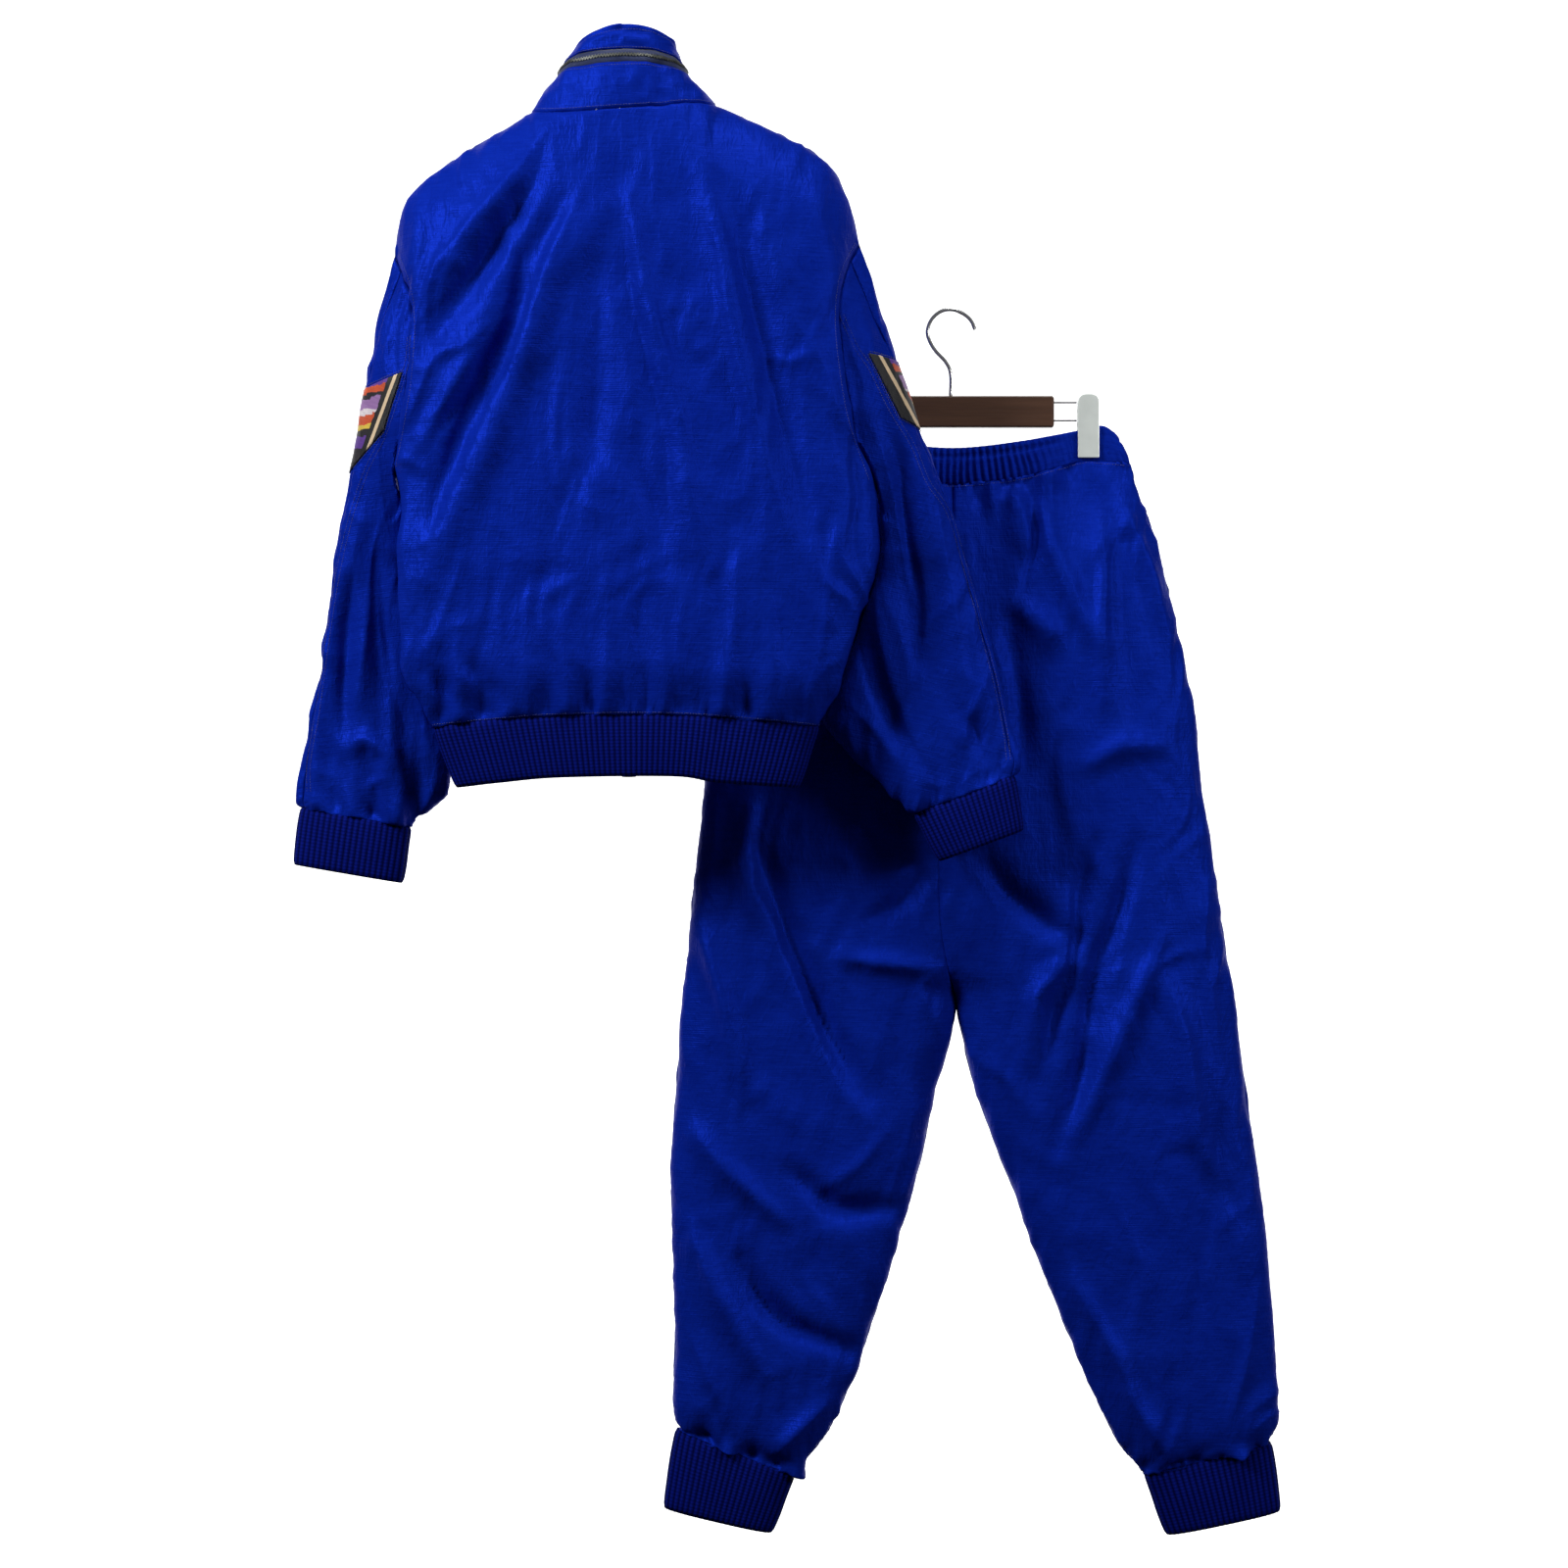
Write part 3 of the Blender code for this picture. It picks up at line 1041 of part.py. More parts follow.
def build_trouser_hanger():
    """Bar, hook, side rods and the two clips that pinch the waistband."""
    half = BAR_THICKNESS / 2
    y = (LEG_EDGE_Y - half, LEG_EDGE_Y + half)
    shift = np.array([0, LEG_EDGE_Y, 0])
    sections = []
    for x, inset in ((BAR_X[0], 1.5), (BAR_X[0] + 1.5, 0), (BAR_X[1] - 1.5, 0), (BAR_X[1], 1.5)):
        sections.append(box_section(x, (y[0] + inset, y[1] - inset), (BAR_Z[0] + inset, BAR_Z[1] - inset), 1.5))
    make_object("trouser_hanger_bar", *loft(sections), BROWN_WOOD)
    hook = [(x, 0, z) for x, z in TROUSER_HOOK]
    make_object("trouser_hanger_hook", *tube(hook, WIRE_RADIUS), CHROME, (0, 0, 0))
    for side, sign in (("left", -1), ("right", 1)):
        x0, x1 = sign * (BAR_X[1] + 0.3), sign * ROD_OUTER_X
        if side == "left":
            x0 = BAR_X[0] - 0.3
        for level, z in zip(("upper", "lower"), ROD_LEVELS):
            rod = tube([(x0, 0, z), (x1, 0, z)], ROD_RADIUS, bend_cells=1)
            make_object(f"trouser_hanger_rod_{side}_{level}", *rod, STEEL, shift)
        outer = CLIP_THROAT + CLIP_JAW
        profile = [(-outer, CLIP_Z[0]), (-CLIP_THROAT, CLIP_Z[0]), (-CLIP_THROAT, CLIP_Z[1] - CLIP_ROOF),
                   (CLIP_THROAT, CLIP_Z[1] - CLIP_ROOF), (CLIP_THROAT, CLIP_Z[0]), (outer, CLIP_Z[0]),
                   (outer, CLIP_Z[1] - 6), (outer - 2.5, CLIP_Z[1] - 1.5), (outer - 5, CLIP_Z[1]),
                   (5 - outer, CLIP_Z[1]), (2.5 - outer, CLIP_Z[1] - 1.5), (-outer, CLIP_Z[1] - 6)]
        clip_x = (sign * CLIP_X - CLIP_WIDTH / 2, sign * CLIP_X + CLIP_WIDTH / 2)
        make_object(f"trouser_clip_{side}", *channel(profile, clip_x), STEEL, shift)


def channel(profile, span):
    """An upturned U pushed along x: the roof and each jaw are capped apart, so no cap is bent."""
    count = len(profile)
    points = [(x, y, z) for x in span for y, z in profile]
    faces = []
    for c in range(count):
        a, b = c, (c + 1) % count
        faces += [(a, b, b + count), (a, b + count, a + count)]
    cap = [(0, 1, 2), (0, 2, 11), (11, 2, 10), (10, 2, 9), (9, 2, 8), (2, 3, 8), (8, 3, 7), (7, 3, 6),
           (3, 4, 6), (6, 4, 5)]
    for a, b, c in cap:
        faces.append((c, b, a))
        faces.append((a + count, b + count, c + count))
    return np.array(points, float), faces


def build_jacket_hanger():
    """The plain wooden hanger inside the jacket, under its shoulder seams, and its hook."""
    left = curve_points(SHOULDER_LEFT, even(SHOULDER_CELLS))[:HANGER_TIP_CELLS + 1]
    right = curve_points(SHOULDER_RIGHT, even(SHOULDER_CELLS))[:HANGER_TIP_CELLS + 1]
    middle = [(-60, -9), (-30, -13), (-4, -14), (4, -14), (30, -10), (60, -5)]
    line = [tuple(p) for p in left[::-1]] + middle + [tuple(p) for p in right]
    sections = []
    reach = max(abs(line[0][0]), abs(line[-1][0]))
    run = np.gradient(np.array(line), axis=0)
    steepness = np.hypot(run[:, 0], run[:, 1]) / np.abs(run[:, 0])
    for i, (x, z) in enumerate(line):
        share = abs(x) / reach
        z -= 2.0 if i in (0, len(line) - 1) else 0.0
        height = HANGER_HEIGHT_MIDDLE + (HANGER_HEIGHT_TIP - HANGER_HEIGHT_MIDDLE) * share
        inset = 2.0 if i in (0, len(line) - 1) else 0.0
        half = HANGER_HALF_THICKNESS - inset
        top = z - HANGER_DROP * steepness[i] - inset
        outline = [(-half, top - height + 4), (-half + 3, top - height), (half - 3, top - height),
                   (half, top - height + 4), (half, top - 6), (half - 3.5, top - 1.2), (1, top),
                   (-1, top), (-half + 3.5, top - 1.2), (-half, top - 6)]
        sections.append(np.array([(x, SHOULDER_Y + y, zz) for y, zz in outline]))
    make_object("jacket_hanger", *loft(sections), BROWN_WOOD, JACKET_PLACE)
    hook = [(x, SHOULDER_Y, z) for x, z in JACKET_HOOK]
    hook[0] = (0, SHOULDER_Y, -14 - HANGER_DROP + 0.3)
    make_object("jacket_hanger_hook", *tube(hook, WIRE_RADIUS), CHROME, JACKET_PLACE)


def zip_pull(name, point, across, normal, down):
    """A zip's slider with its bridge, and the tab whose bar turns under the bridge."""
    frame = np.array([across, normal, down])

    def place(points):
        return point + np.asarray(points) @ frame

    width, wall, length = SLIDER_SIZE
    base = []
    for run, inset in ((0.0, 1.2), (1.5, 0.0), (length - 1.5, 0.0), (length, 1.2)):
        half = width / 2 - inset
        low, high = SLIDER_LIFT, SLIDER_LIFT + wall
        base.append(place([(-half, low, run), (half, low, run), (half, high - 0.5, run),
                           (half - 0.6, high, run), (0.6 - half, high, run), (-half, high - 0.5, run)]))
    slider = make_object(f"{name}_slider", *loft(base), STEEL, JACKET_PLACE)
    foot, top = SLIDER_LIFT + wall - 0.4, SLIDER_LIFT + wall + BRIDGE_RISE
    start, stop = (length - BRIDGE_LENGTH) / 2, (length + BRIDGE_LENGTH) / 2
    profile = [(start, foot), (start + 1.2, foot), (start + 1.2, top - 1.2), (stop - 1.2, top - 1.2),
               (stop - 1.2, foot), (stop, foot), (stop, top - 0.5), (stop - 0.3, top - 0.2),
               (stop - 0.7, top), (start + 0.7, top), (start + 0.3, top - 0.2), (start, top - 0.5)]
    points, faces = channel(profile, (-BRIDGE_WIDTH / 2, BRIDGE_WIDTH / 2))
    bridge_points = place(points[:, [0, 2, 1]])
    bridge = make_object(f"{name}_bridge", bridge_points, faces, STEEL, JACKET_PLACE)
    bridge.hide_render = True
    bridge.display_type = "WIRE"
    union = slider.modifiers.new("bridge", "BOOLEAN")
    union.operation = "UNION"
    union.object = bridge

    bar_run = length / 2
    bar_rise = SLIDER_LIFT + wall + (BRIDGE_RISE - 1.2) / 2
    tab_width, tab_wall, tab_length = TAB_SIZE
    eye_half = BRIDGE_WIDTH / 2 + 0.6
    columns = [-tab_width / 2, -eye_half, eye_half, tab_width / 2]
    runs = [-tab_wall / 2, tab_wall / 2, TAB_EYE, tab_length - 2.0, tab_length]
    tab_points = []
    for rise in (-tab_wall / 2, tab_wall / 2):
        for r, run in enumerate(runs):
            taper = (0.4, 0.0, 0.0, 0.0, 1.2)[r]
            for column in columns:
                inner = column - math.copysign(taper, column) if abs(column) > eye_half else column
                tab_points.append((inner, bar_rise + rise, bar_run + run))
    sheet = len(runs) * len(columns)
    faces = []
    edges = set()
    for r in range(len(runs) - 1):
        for c in range(len(columns) - 1):
            if (r, c) == (1, 1):
                continue
            a = r * len(columns) + c
            b, d, e = a + 1, a + len(columns), a + len(columns) + 1
            faces += [(a, b, e), (a, e, d), (sheet + e, sheet + b, sheet + a), (sheet + d, sheet + e, sheet + a)]
            edges |= {(a, b), (b, e), (e, d), (d, a)}
    for a, b in sorted(edges):
        if (b, a) not in edges:
            faces += [(b, a, sheet + a), (b, sheet + a, sheet + b)]
    make_object(f"{name}_pull", place(tab_points), faces, STEEL, JACKET_PLACE)
    return (place([(0, bar_rise, bar_run)])[0] + JACKET_PLACE) * METRES


def zip_frame(low, high, toward):
    """Point, across, normal and down directions at the upper end of a stretch of zip."""
    middle_low = (low[0] + low[1]) / 2
    middle_high = (high[0] + high[1]) / 2
    down = (middle_low - middle_high) / np.linalg.norm(middle_low - middle_high)
    across = high[1] - high[0]
    across -= (across @ down) * down
    across /= np.linalg.norm(across)
    normal = np.cross(across, down)
    if normal @ toward < 0:
        normal = -normal
        across = -across
    return middle_high + down * SLIDER_DROP, across, normal, down


def main():
    for item in list(bpy.data.objects):
        bpy.data.objects.remove(item, do_unlink=True)
    jacket = build_jacket()
    taffeta = ["jacket_back", "jacket_front_left", "jacket_front_right", "collar_lower", "collar_upper",
               "sleeve_left_back", "sleeve_left_front", "sleeve_right_back", "sleeve_right_front"]
    for name in taffeta:
        make_object(name, *jacket.piece(name), TAFFETA, JACKET_PLACE)
    for name in ("front_zip", "collar_zip"):
        make_object(name, *jacket.piece(name), TAPE, JACKET_PLACE)
    for side in ("left", "right"):
        make_object(f"sleeve_patch_{side}", *patch_solid(jacket, side), PRINT, JACKET_PLACE)
    for side, rows, edge in (("left", SLEEVE_LEFT, CUFF_EDGE_LEFT), ("right", SLEEVE_RIGHT, CUFF_EDGE_RIGHT)):
        band = limb_band(rows[-1], edge, CUFF_RIBS, rows[-1].depth, edge.depth, rows[-1].middle, edge.middle)
        make_object(f"cuff_{side}", *band, KNIT, JACKET_PLACE)
    top, below = (jacket.outer[jacket.collar_rings[r]] for r in (-1, -2))
    column = jacket.zip_column
    zip_pull("front_zip", *zip_frame(below[column:column + 2], top[column:column + 2], (0, 1, 0)))
    low, high = (jacket.outer[jacket.collar_rings[r]] for r in (COLLAR_LOWER_ROWS, COLLAR_LOWER_ROWS + 1))
    near, far = ((low[k], high[k]) for k in (NECK_BACK_CELLS + ZIP_TURN_CELLS - 1, NECK_BACK_CELLS + ZIP_TURN_CELLS))
    zip_pull("collar_zip", *zip_frame(far, near, (0, 1, 0)))
    half_tape = (TAPE_WIDTH / 2 + RIB_GAP) / (HEM_EDGE[-1][0] - HEM_EDGE[0][0])
    gap = math.asin(2 * half_tape) / math.pi / 2
    rib = rib_band(hem_seam, hem_edge, HEM_RIBS, closed=False, start=-0.25 + gap, stop=0.75 - gap,
                   plain_cells=76)
    make_object("hem_rib", *rib, KNIT, JACKET_PLACE)

    trousers = build_trousers()
    for name in ("trouser_back_left", "trouser_back_right", "trouser_front_left", "trouser_front_right"):
        make_object(name, *trousers.piece(name), TAFFETA)
    waist = rib_band(lambda t: waist_ring(WAIST_TOP, 0, t), lambda t: waist_ring(WAIST_SEAM, RIB_GAP, t),
                     WAIST_GATHERS, plain_cells=WAIST_GATHERS, wall=1.3)
    make_object("waistband", *waist, TAFFETA)
    for side, rows, edge in (("left", LEG_LEFT, ANKLE_EDGE_LEFT), ("right", LEG_RIGHT, ANKLE_EDGE_RIGHT)):
        band = limb_band(rows[-1], edge, ANKLE_RIBS, abs(rows[-1].back - LEG_EDGE_Y), edge.depth,
                         LEG_EDGE_Y, LEG_EDGE_Y)
        make_object(f"ankle_cuff_{side}", *band, KNIT)
    build_trouser_hanger()
    build_jacket_hanger()


main()
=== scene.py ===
"""The windbreaker tracksuit's looks: fine cloth shells on the solids' form, ribs, zips and hangers.

Tables are in millimetres: the jacket's from the base of its neck at the centre back, the trousers'
from the origin, which is where the trousers' hook hangs. Meshes are in metres.
"""
import math
from collections import namedtuple

import bmesh
import bpy
import numpy as np
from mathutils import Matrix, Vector, noise
from mathutils.bvhtree import BVHTree
from mathutils.kdtree import KDTree


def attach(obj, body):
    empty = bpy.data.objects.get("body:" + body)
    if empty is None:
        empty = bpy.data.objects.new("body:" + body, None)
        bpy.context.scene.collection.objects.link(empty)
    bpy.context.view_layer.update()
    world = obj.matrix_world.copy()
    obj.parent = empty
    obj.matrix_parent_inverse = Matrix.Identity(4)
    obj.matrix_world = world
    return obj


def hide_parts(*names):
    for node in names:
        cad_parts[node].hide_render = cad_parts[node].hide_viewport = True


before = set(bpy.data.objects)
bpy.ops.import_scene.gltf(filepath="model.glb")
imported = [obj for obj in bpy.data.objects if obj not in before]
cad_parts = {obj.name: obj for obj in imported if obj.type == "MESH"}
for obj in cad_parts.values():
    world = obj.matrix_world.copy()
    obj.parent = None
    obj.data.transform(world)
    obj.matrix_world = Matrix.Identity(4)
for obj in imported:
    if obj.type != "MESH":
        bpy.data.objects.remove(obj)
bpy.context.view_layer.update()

# Driving dimensions, the same as the solids'
METRES = 0.001
JACKET_PLACE = np.array([-318.3, -118.0, 173.6])
SEAM_GAP = 0.3
RIB_GAP = 0.5
RIB_TUCK = 1.6
RIB_RELIEF = 0.8
TAPE_TUCK = 1.2
TAPE_DROP = 1.0
TAPE_WIDTH = 12.0
HEM_RIBS = 140
CUFF_RIBS = 44
ANKLE_RIBS = 48
WAIST_GATHERS = 104
SECTION_POWER = 2.7
CLOTH_WALL = 0.9
KNIT_WALL = 1.7

# Cells of the fine cloth
SIDE_CELLS = 96
ARMHOLE_CELLS = 72
SHOULDER_CELLS = 46
NECK_BACK_CELLS = 56
NECK_FRONT_CELLS = 22
ZIP_CELLS = 4
ZIP_TURN_CELLS = 13
SLEEVE_CELLS = 150
LEG_CELLS = 230
LEG_BACK_CELLS = 80
LEG_FRONT_CELLS = 50
COLLAR_CELLS = (14, 8, 14)
RIB_STEPS = 6
BAND_ROWS = 16

# Outlines of the jacket as seen from behind: x, z
SHOULDER_LEFT = [(-91, 2), (-149, -32), (-184, -55), (-206, -77), (-216, -102), (-221, -135)]
SHOULDER_RIGHT = [(87, 9), (104, 2), (157, -21), (193, -43), (207, -66), (218, -96), (225, -124)]
NECK_BACK = [(-91, 2), (-56, -3), (-8, -1), (27, 2), (52, 5), (87, 9)]
NECK_FRONT = [(-91, 2), (-70, -22), (-34, -42), (0, -48), (34, -41), (68, -18), (87, 9)]
SIDE_LEFT = [(-183, -587), (-205, -553), (-213, -528), (-212, -491), (-215, -453), (-216, -415),
             (-214, -378), (-222, -338)]
SIDE_RIGHT = [(186, -587), (203, -555), (211, -528), (224, -491), (236, -453), (243, -415),
              (243, -380), (238, -350)]
ARMHOLE_BACK_LEFT = [(-222, -338), (-212, -293), (-206, -256), (-203, -209), (-207, -171), (-221, -135)]
ARMHOLE_BACK_RIGHT = [(238, -350), (220, -300), (212, -262), (206, -205), (210, -160), (225, -124)]
ARMHOLE_FRONT_LEFT = [(-222, -338), (-209, -290), (-202, -240), (-203, -190), (-221, -135)]
ARMHOLE_FRONT_RIGHT = [(238, -350), (218, -300), (208, -245), (207, -185), (225, -124)]
HEM_SEAM = [(-183, -587), (-130, -582), (-62, -577), (46, -576), (133, -582), (186, -587)]
HEM_DRAWN = (4, 3)
HEM_EDGE = [(-161, -645), (-120, -640), (-62, -635), (46, -634), (90, -640), (166, -645)]

# Depths of the jacket's body, from its hem seam up: share of the height, y of the back, of the
# front, and of the edge between them, for the back panel and for the front panels
BodyDepth = namedtuple("BodyDepth", "share back front edge_back edge_front")
BODY_DEPTHS = [
    BodyDepth(0.00, -42, 28, -8, -8),
    BodyDepth(0.10, -54, 38, -20, -20),
    BodyDepth(0.30, -55, 40, -26, -26),
    BodyDepth(0.54, -54, 40, -6, -6),
    BodyDepth(0.62, -54, 40, -22, 16),
    BodyDepth(0.77, -54, 40, -28, 26),
    BodyDepth(0.92, -50, 38, -20, 22),
    BodyDepth(1.00, -46, 36, 4, 4),
]
SHOULDER_ROUNDING = 74.0
SHOULDER_Y = 4.0
NECK_BACK_Y = -46.0
NECK_FRONT_Y = 44.0
ARMPIT_SHARE = 0.54
SHOULDER_SHARE = 0.295
BODY_WIDTH = 400.0
NECK_WIDTH = 200.0
NECK_POWER = 2.2
# Where the body's folds fade out: a share of the height above the hem, and mm below the neck
HEM_FADE = 0.08
NECK_CLEAR = 10.0
NECK_FADE = 110.0

# Sections of the sleeves from the armhole to the cuff: outer and inner edge, y of the middle, depth
LimbSection = namedtuple("LimbSection", "outer_x outer_z inner_x inner_z middle depth")
SLEEVE_LEFT = [
    LimbSection(-221, -135, -222, -338, 3, 30),
    LimbSection(-238, -195, -222, -354, 10, 29),
    LimbSection(-255, -280, -213, -378, 18, 28),
    LimbSection(-268, -350, -208, -406, 26, 27),
    LimbSection(-279, -411, -206, -440, 31, 27),
    LimbSection(-289, -467, -203, -482, 34, 26),
    LimbSection(-297, -524, -196, -528, 36, 26),
    LimbSection(-306, -573, -184, -574, 37, 25),
    LimbSection(-314, -618, -169, -614, 37, 24),
    LimbSection(-317, -643, -171, -650, 37, 23),
    LimbSection(-317, -656, -188, -670, 36, 21),
    LimbSection(-315, -664, -209, -684, 35, 17),
]
SLEEVE_RIGHT = [
    LimbSection(225, -124, 238, -350, 3, 30),
    LimbSection(245, -185, 245, -368, 10, 29),
    LimbSection(262, -237, 247, -392, 18, 28),
    LimbSection(283, -300, 245, -422, 26, 27),
    LimbSection(306, -352, 239, -453, 31, 27),
    LimbSection(323, -408, 228, -486, 34, 26),
    LimbSection(341, -467, 212, -522, 36, 26),
    LimbSection(356, -513, 197, -553, 37, 25),
    LimbSection(366, -550, 191, -580, 37, 24),
    LimbSection(374, -590, 208, -605, 37, 24),
    LimbSection(378, -618, 246, -642, 36, 21),
    LimbSection(375, -633, 278, -671, 35, 17),
]
CUFF_EDGE_LEFT = LimbSection(-322, -719, -217, -737, 35, 17)
CUFF_EDGE_RIGHT = LimbSection(384, -686, 303, -716, 35, 17)

# Sleeve patches as seen from behind: corners x, z of the top edge and of the edge across the
# back, down to the sleeve's outer edge, round which the panel reaches to the same line in front
PATCH_LEFT = [(-262, -266), (-211, -249), (-230, -303), (-262, -337)]
PATCH_RIGHT = [(274, -238), (233, -230), (264, -291), (290, -302)]

# Collar rings from the neck seam up: the two sides, the rise of the back and of the front above
# the sides, and their y
CollarRing = namedtuple("CollarRing", "left_x left_z right_x right_z rise_back rise_front back front")
COLLAR_RINGS = [
    CollarRing(-91, 2, 87, 9, -6, -52, -46, 44),
    CollarRing(-66, 36, 60, 37, 8, -26, -42, 40),
    CollarRing(-60, 47, 55, 48, 10, -20, -40, 39),
    CollarRing(-47, 64, 48, 66, 16, -11, -35, 35),
]
COLLAR_LIFT_POWER = 1.4

# Trousers, x, z from the origin: outer and inner seam of the left leg, of the right leg, and for
# both the back's y, the front's y and how far round each half goes
WAIST_TOP = [(-163, -121), (-148, -113), (-124, -118), (-69, -129), (0, -136), (69, -129),
             (124, -118), (148, -113), (163, -121)]
LegSection = namedtuple("LegSection", "outer_x outer_z inner_x inner_z back front turn")
LEG_ROWS = [
    ((-173, -150, 0, -171), (177, -150, 0, -171), (-16, 15, 0.50)),
    ((-184, -183, 0, -204), (188, -183, 0, -204), (-26, 22, 0.50)),
    ((-202, -236, -2, -262), (204, -236, -2, -262), (-36, 30, 0.50)),
    ((-226, -332, -6, -360), (226, -332, -6, -360), (-44, 36, 0.50)),
    ((-239, -409, -10, -450), (241, -409, -10, -450), (-47, 38, 0.50)),
    ((-246, -490, -15, -525), (250, -490, -15, -525), (-47, 38, 0.52)),
    ((-255, -570, -14, -592), (262, -570, -14, -592), (-46, 38, 0.60)),
    ((-262, -640, -5, -650), (272, -640, -5, -650), (-44, 37, 0.78)),
    ((-268, -700, 4, -686), (281, -700, 4, -686), (-42, 36, 1.00)),
    ((-273, -778, -18, -778), (292, -778, 26, -778), (-41, 35, 1.00)),
    ((-277, -856, -36, -858), (303, -856, 57, -858), (-39, 34, 1.00)),
    ((-275, -920, -56, -926), (310, -920, 79, -920), (-37, 33, 1.00)),
    ((-274, -985, -77, -993), (317, -1000, 111, -1000), (-35, 32, 1.00)),
    ((-274, -1040, -100, -1060), (322, -1060, 141, -1070), (-33, 31, 1.00)),
    ((-276, -1080, -124, -1110), (323, -1095, 165, -1118), (-30, 29, 1.00)),
    ((-274, -1098, -142, -1134), (319, -1110, 180, -1138), (-25, 25, 1.00)),
    ((-273, -1106, -155, -1151), (316, -1119, 190, -1150), (-19, 19, 1.00)),
]
LEG_LEFT = [LegSection(*left, *depths) for left, _, depths in LEG_ROWS]
LEG_RIGHT = [LegSection(*right, *depths) for _, right, depths in LEG_ROWS]
WAIST_SEAM = [(-173, -150), (-150, -148), (-125, -148), (-74, -163), (0, -171), (74, -163),
              (125, -148), (150, -148), (177, -150)]
WAIST_SEAM_FADE = 95.0
LEG_EDGE_Y = 0.0
ANKLE_EDGE_LEFT = LimbSection(-285, -1183, -178, -1208, LEG_EDGE_Y, 18)
ANKLE_EDGE_RIGHT = LimbSection(325, -1186, 212, -1210, LEG_EDGE_Y, 18)
WAIST_DEPTH = 15.0

# Clips pinch the waist: their x, how far each side the pinch reaches, and the depth left there
CLIP_X = 135.0
PINCH_REACH = 34.0
PINCH_SHARE = 0.25
PINCH_FADE_Z = -235.0


def table(kind, text):
    """Rows of a named kind from lines of a side, its numbers, a colon and the path's x z pairs."""
    rows = []
    for line in text.strip().splitlines():
        head, path = line.split(":")
        side, *numbers = head.split()
        points = [tuple(map(float, pair.split())) for pair in path.split(",")]
        rows.append(kind(side, *map(float, numbers), points))
    return rows


# Folds of the cloth: side, half width and relief (ridges above 0), then the path
Fold = namedtuple("Fold", "side width relief path")
JACKET_FOLDS = table(Fold, """
    back 20 -11: -69 -20, -105 -102, -151 -181, -181 -218
    back 18 6: -85 -51, -130 -96, -186 -171
    back 17 5: -45 -69, -58 -114, -80 -159
    back 20 -10: -56 -90, -93 -145, -105 -203, -130 -264, -160 -325, -179 -386
    back 24 9: -20 -96, -69 -164, -93 -233, -123 -310, -151 -371, -184 -445
    back 18 6: 8 -86, 17 -157, 29 -233, 48 -294, 66 -417
    back 20 -6: -22 -150, -32 -335, -56 -386, -69 -445
    back 18 -5: 11 -325, 24 -365, 41 -432
    back 20 6: 66 -16, 85 -96, 100 -172, 115 -249, 133 -325, 155 -401
    back 20 -6: 81 -35, 115 -127, 136 -218, 158 -310, 176 -401
    back 16 7: -111 -200, -151 -249, -181 -304, -205 -330
    back 15 -8: -123 -206, -135 -243, -151 -276, -179 -310
    back 15 -6: -184 -535, -149 -575
    back 15 -5: -143 -531, -108 -570
    front 24 7: -90 -60, -110 -200, -140 -330, -170 -450
    front 22 -8: -60 -70, -75 -220, -100 -380
    front 24 7: 88 -60, 108 -190, 140 -320, 165 -440
    front 22 -8: 60 -80, 70 -230, 96 -390
    front 22 6: 40 -260, 48 -400, 40 -520
    front 22 6: -38 -280, -44 -420, -38 -520
""")
SLEEVE_FOLDS = table(Fold, """
    back 17 -8: -266 -453, -271 -519, -273 -585
    back 16 -6: -241 -400, -243 -453, -232 -554
    back 15 -6: -301 -580, -267 -655
    back 16 6: -267 -609, -250 -600, -228 -612, -235 -645
    back 16 6: 233 -200, 258 -280, 285 -350, 300 -420
    back 18 -7: 262 -330, 270 -430, 282 -520
    back 17 -6: 228 -480, 250 -560, 280 -620
    back 15 -7: 327 -574, 337 -594, 329 -625
    front 18 -7: -262 -400, -268 -500, -262 -600
    front 18 6: -285 -430, -290 -530, -285 -620
    front 18 -7: 270 -360, 300 -460, 310 -560
    front 18 6: 240 -430, 262 -520, 300 -620
""")
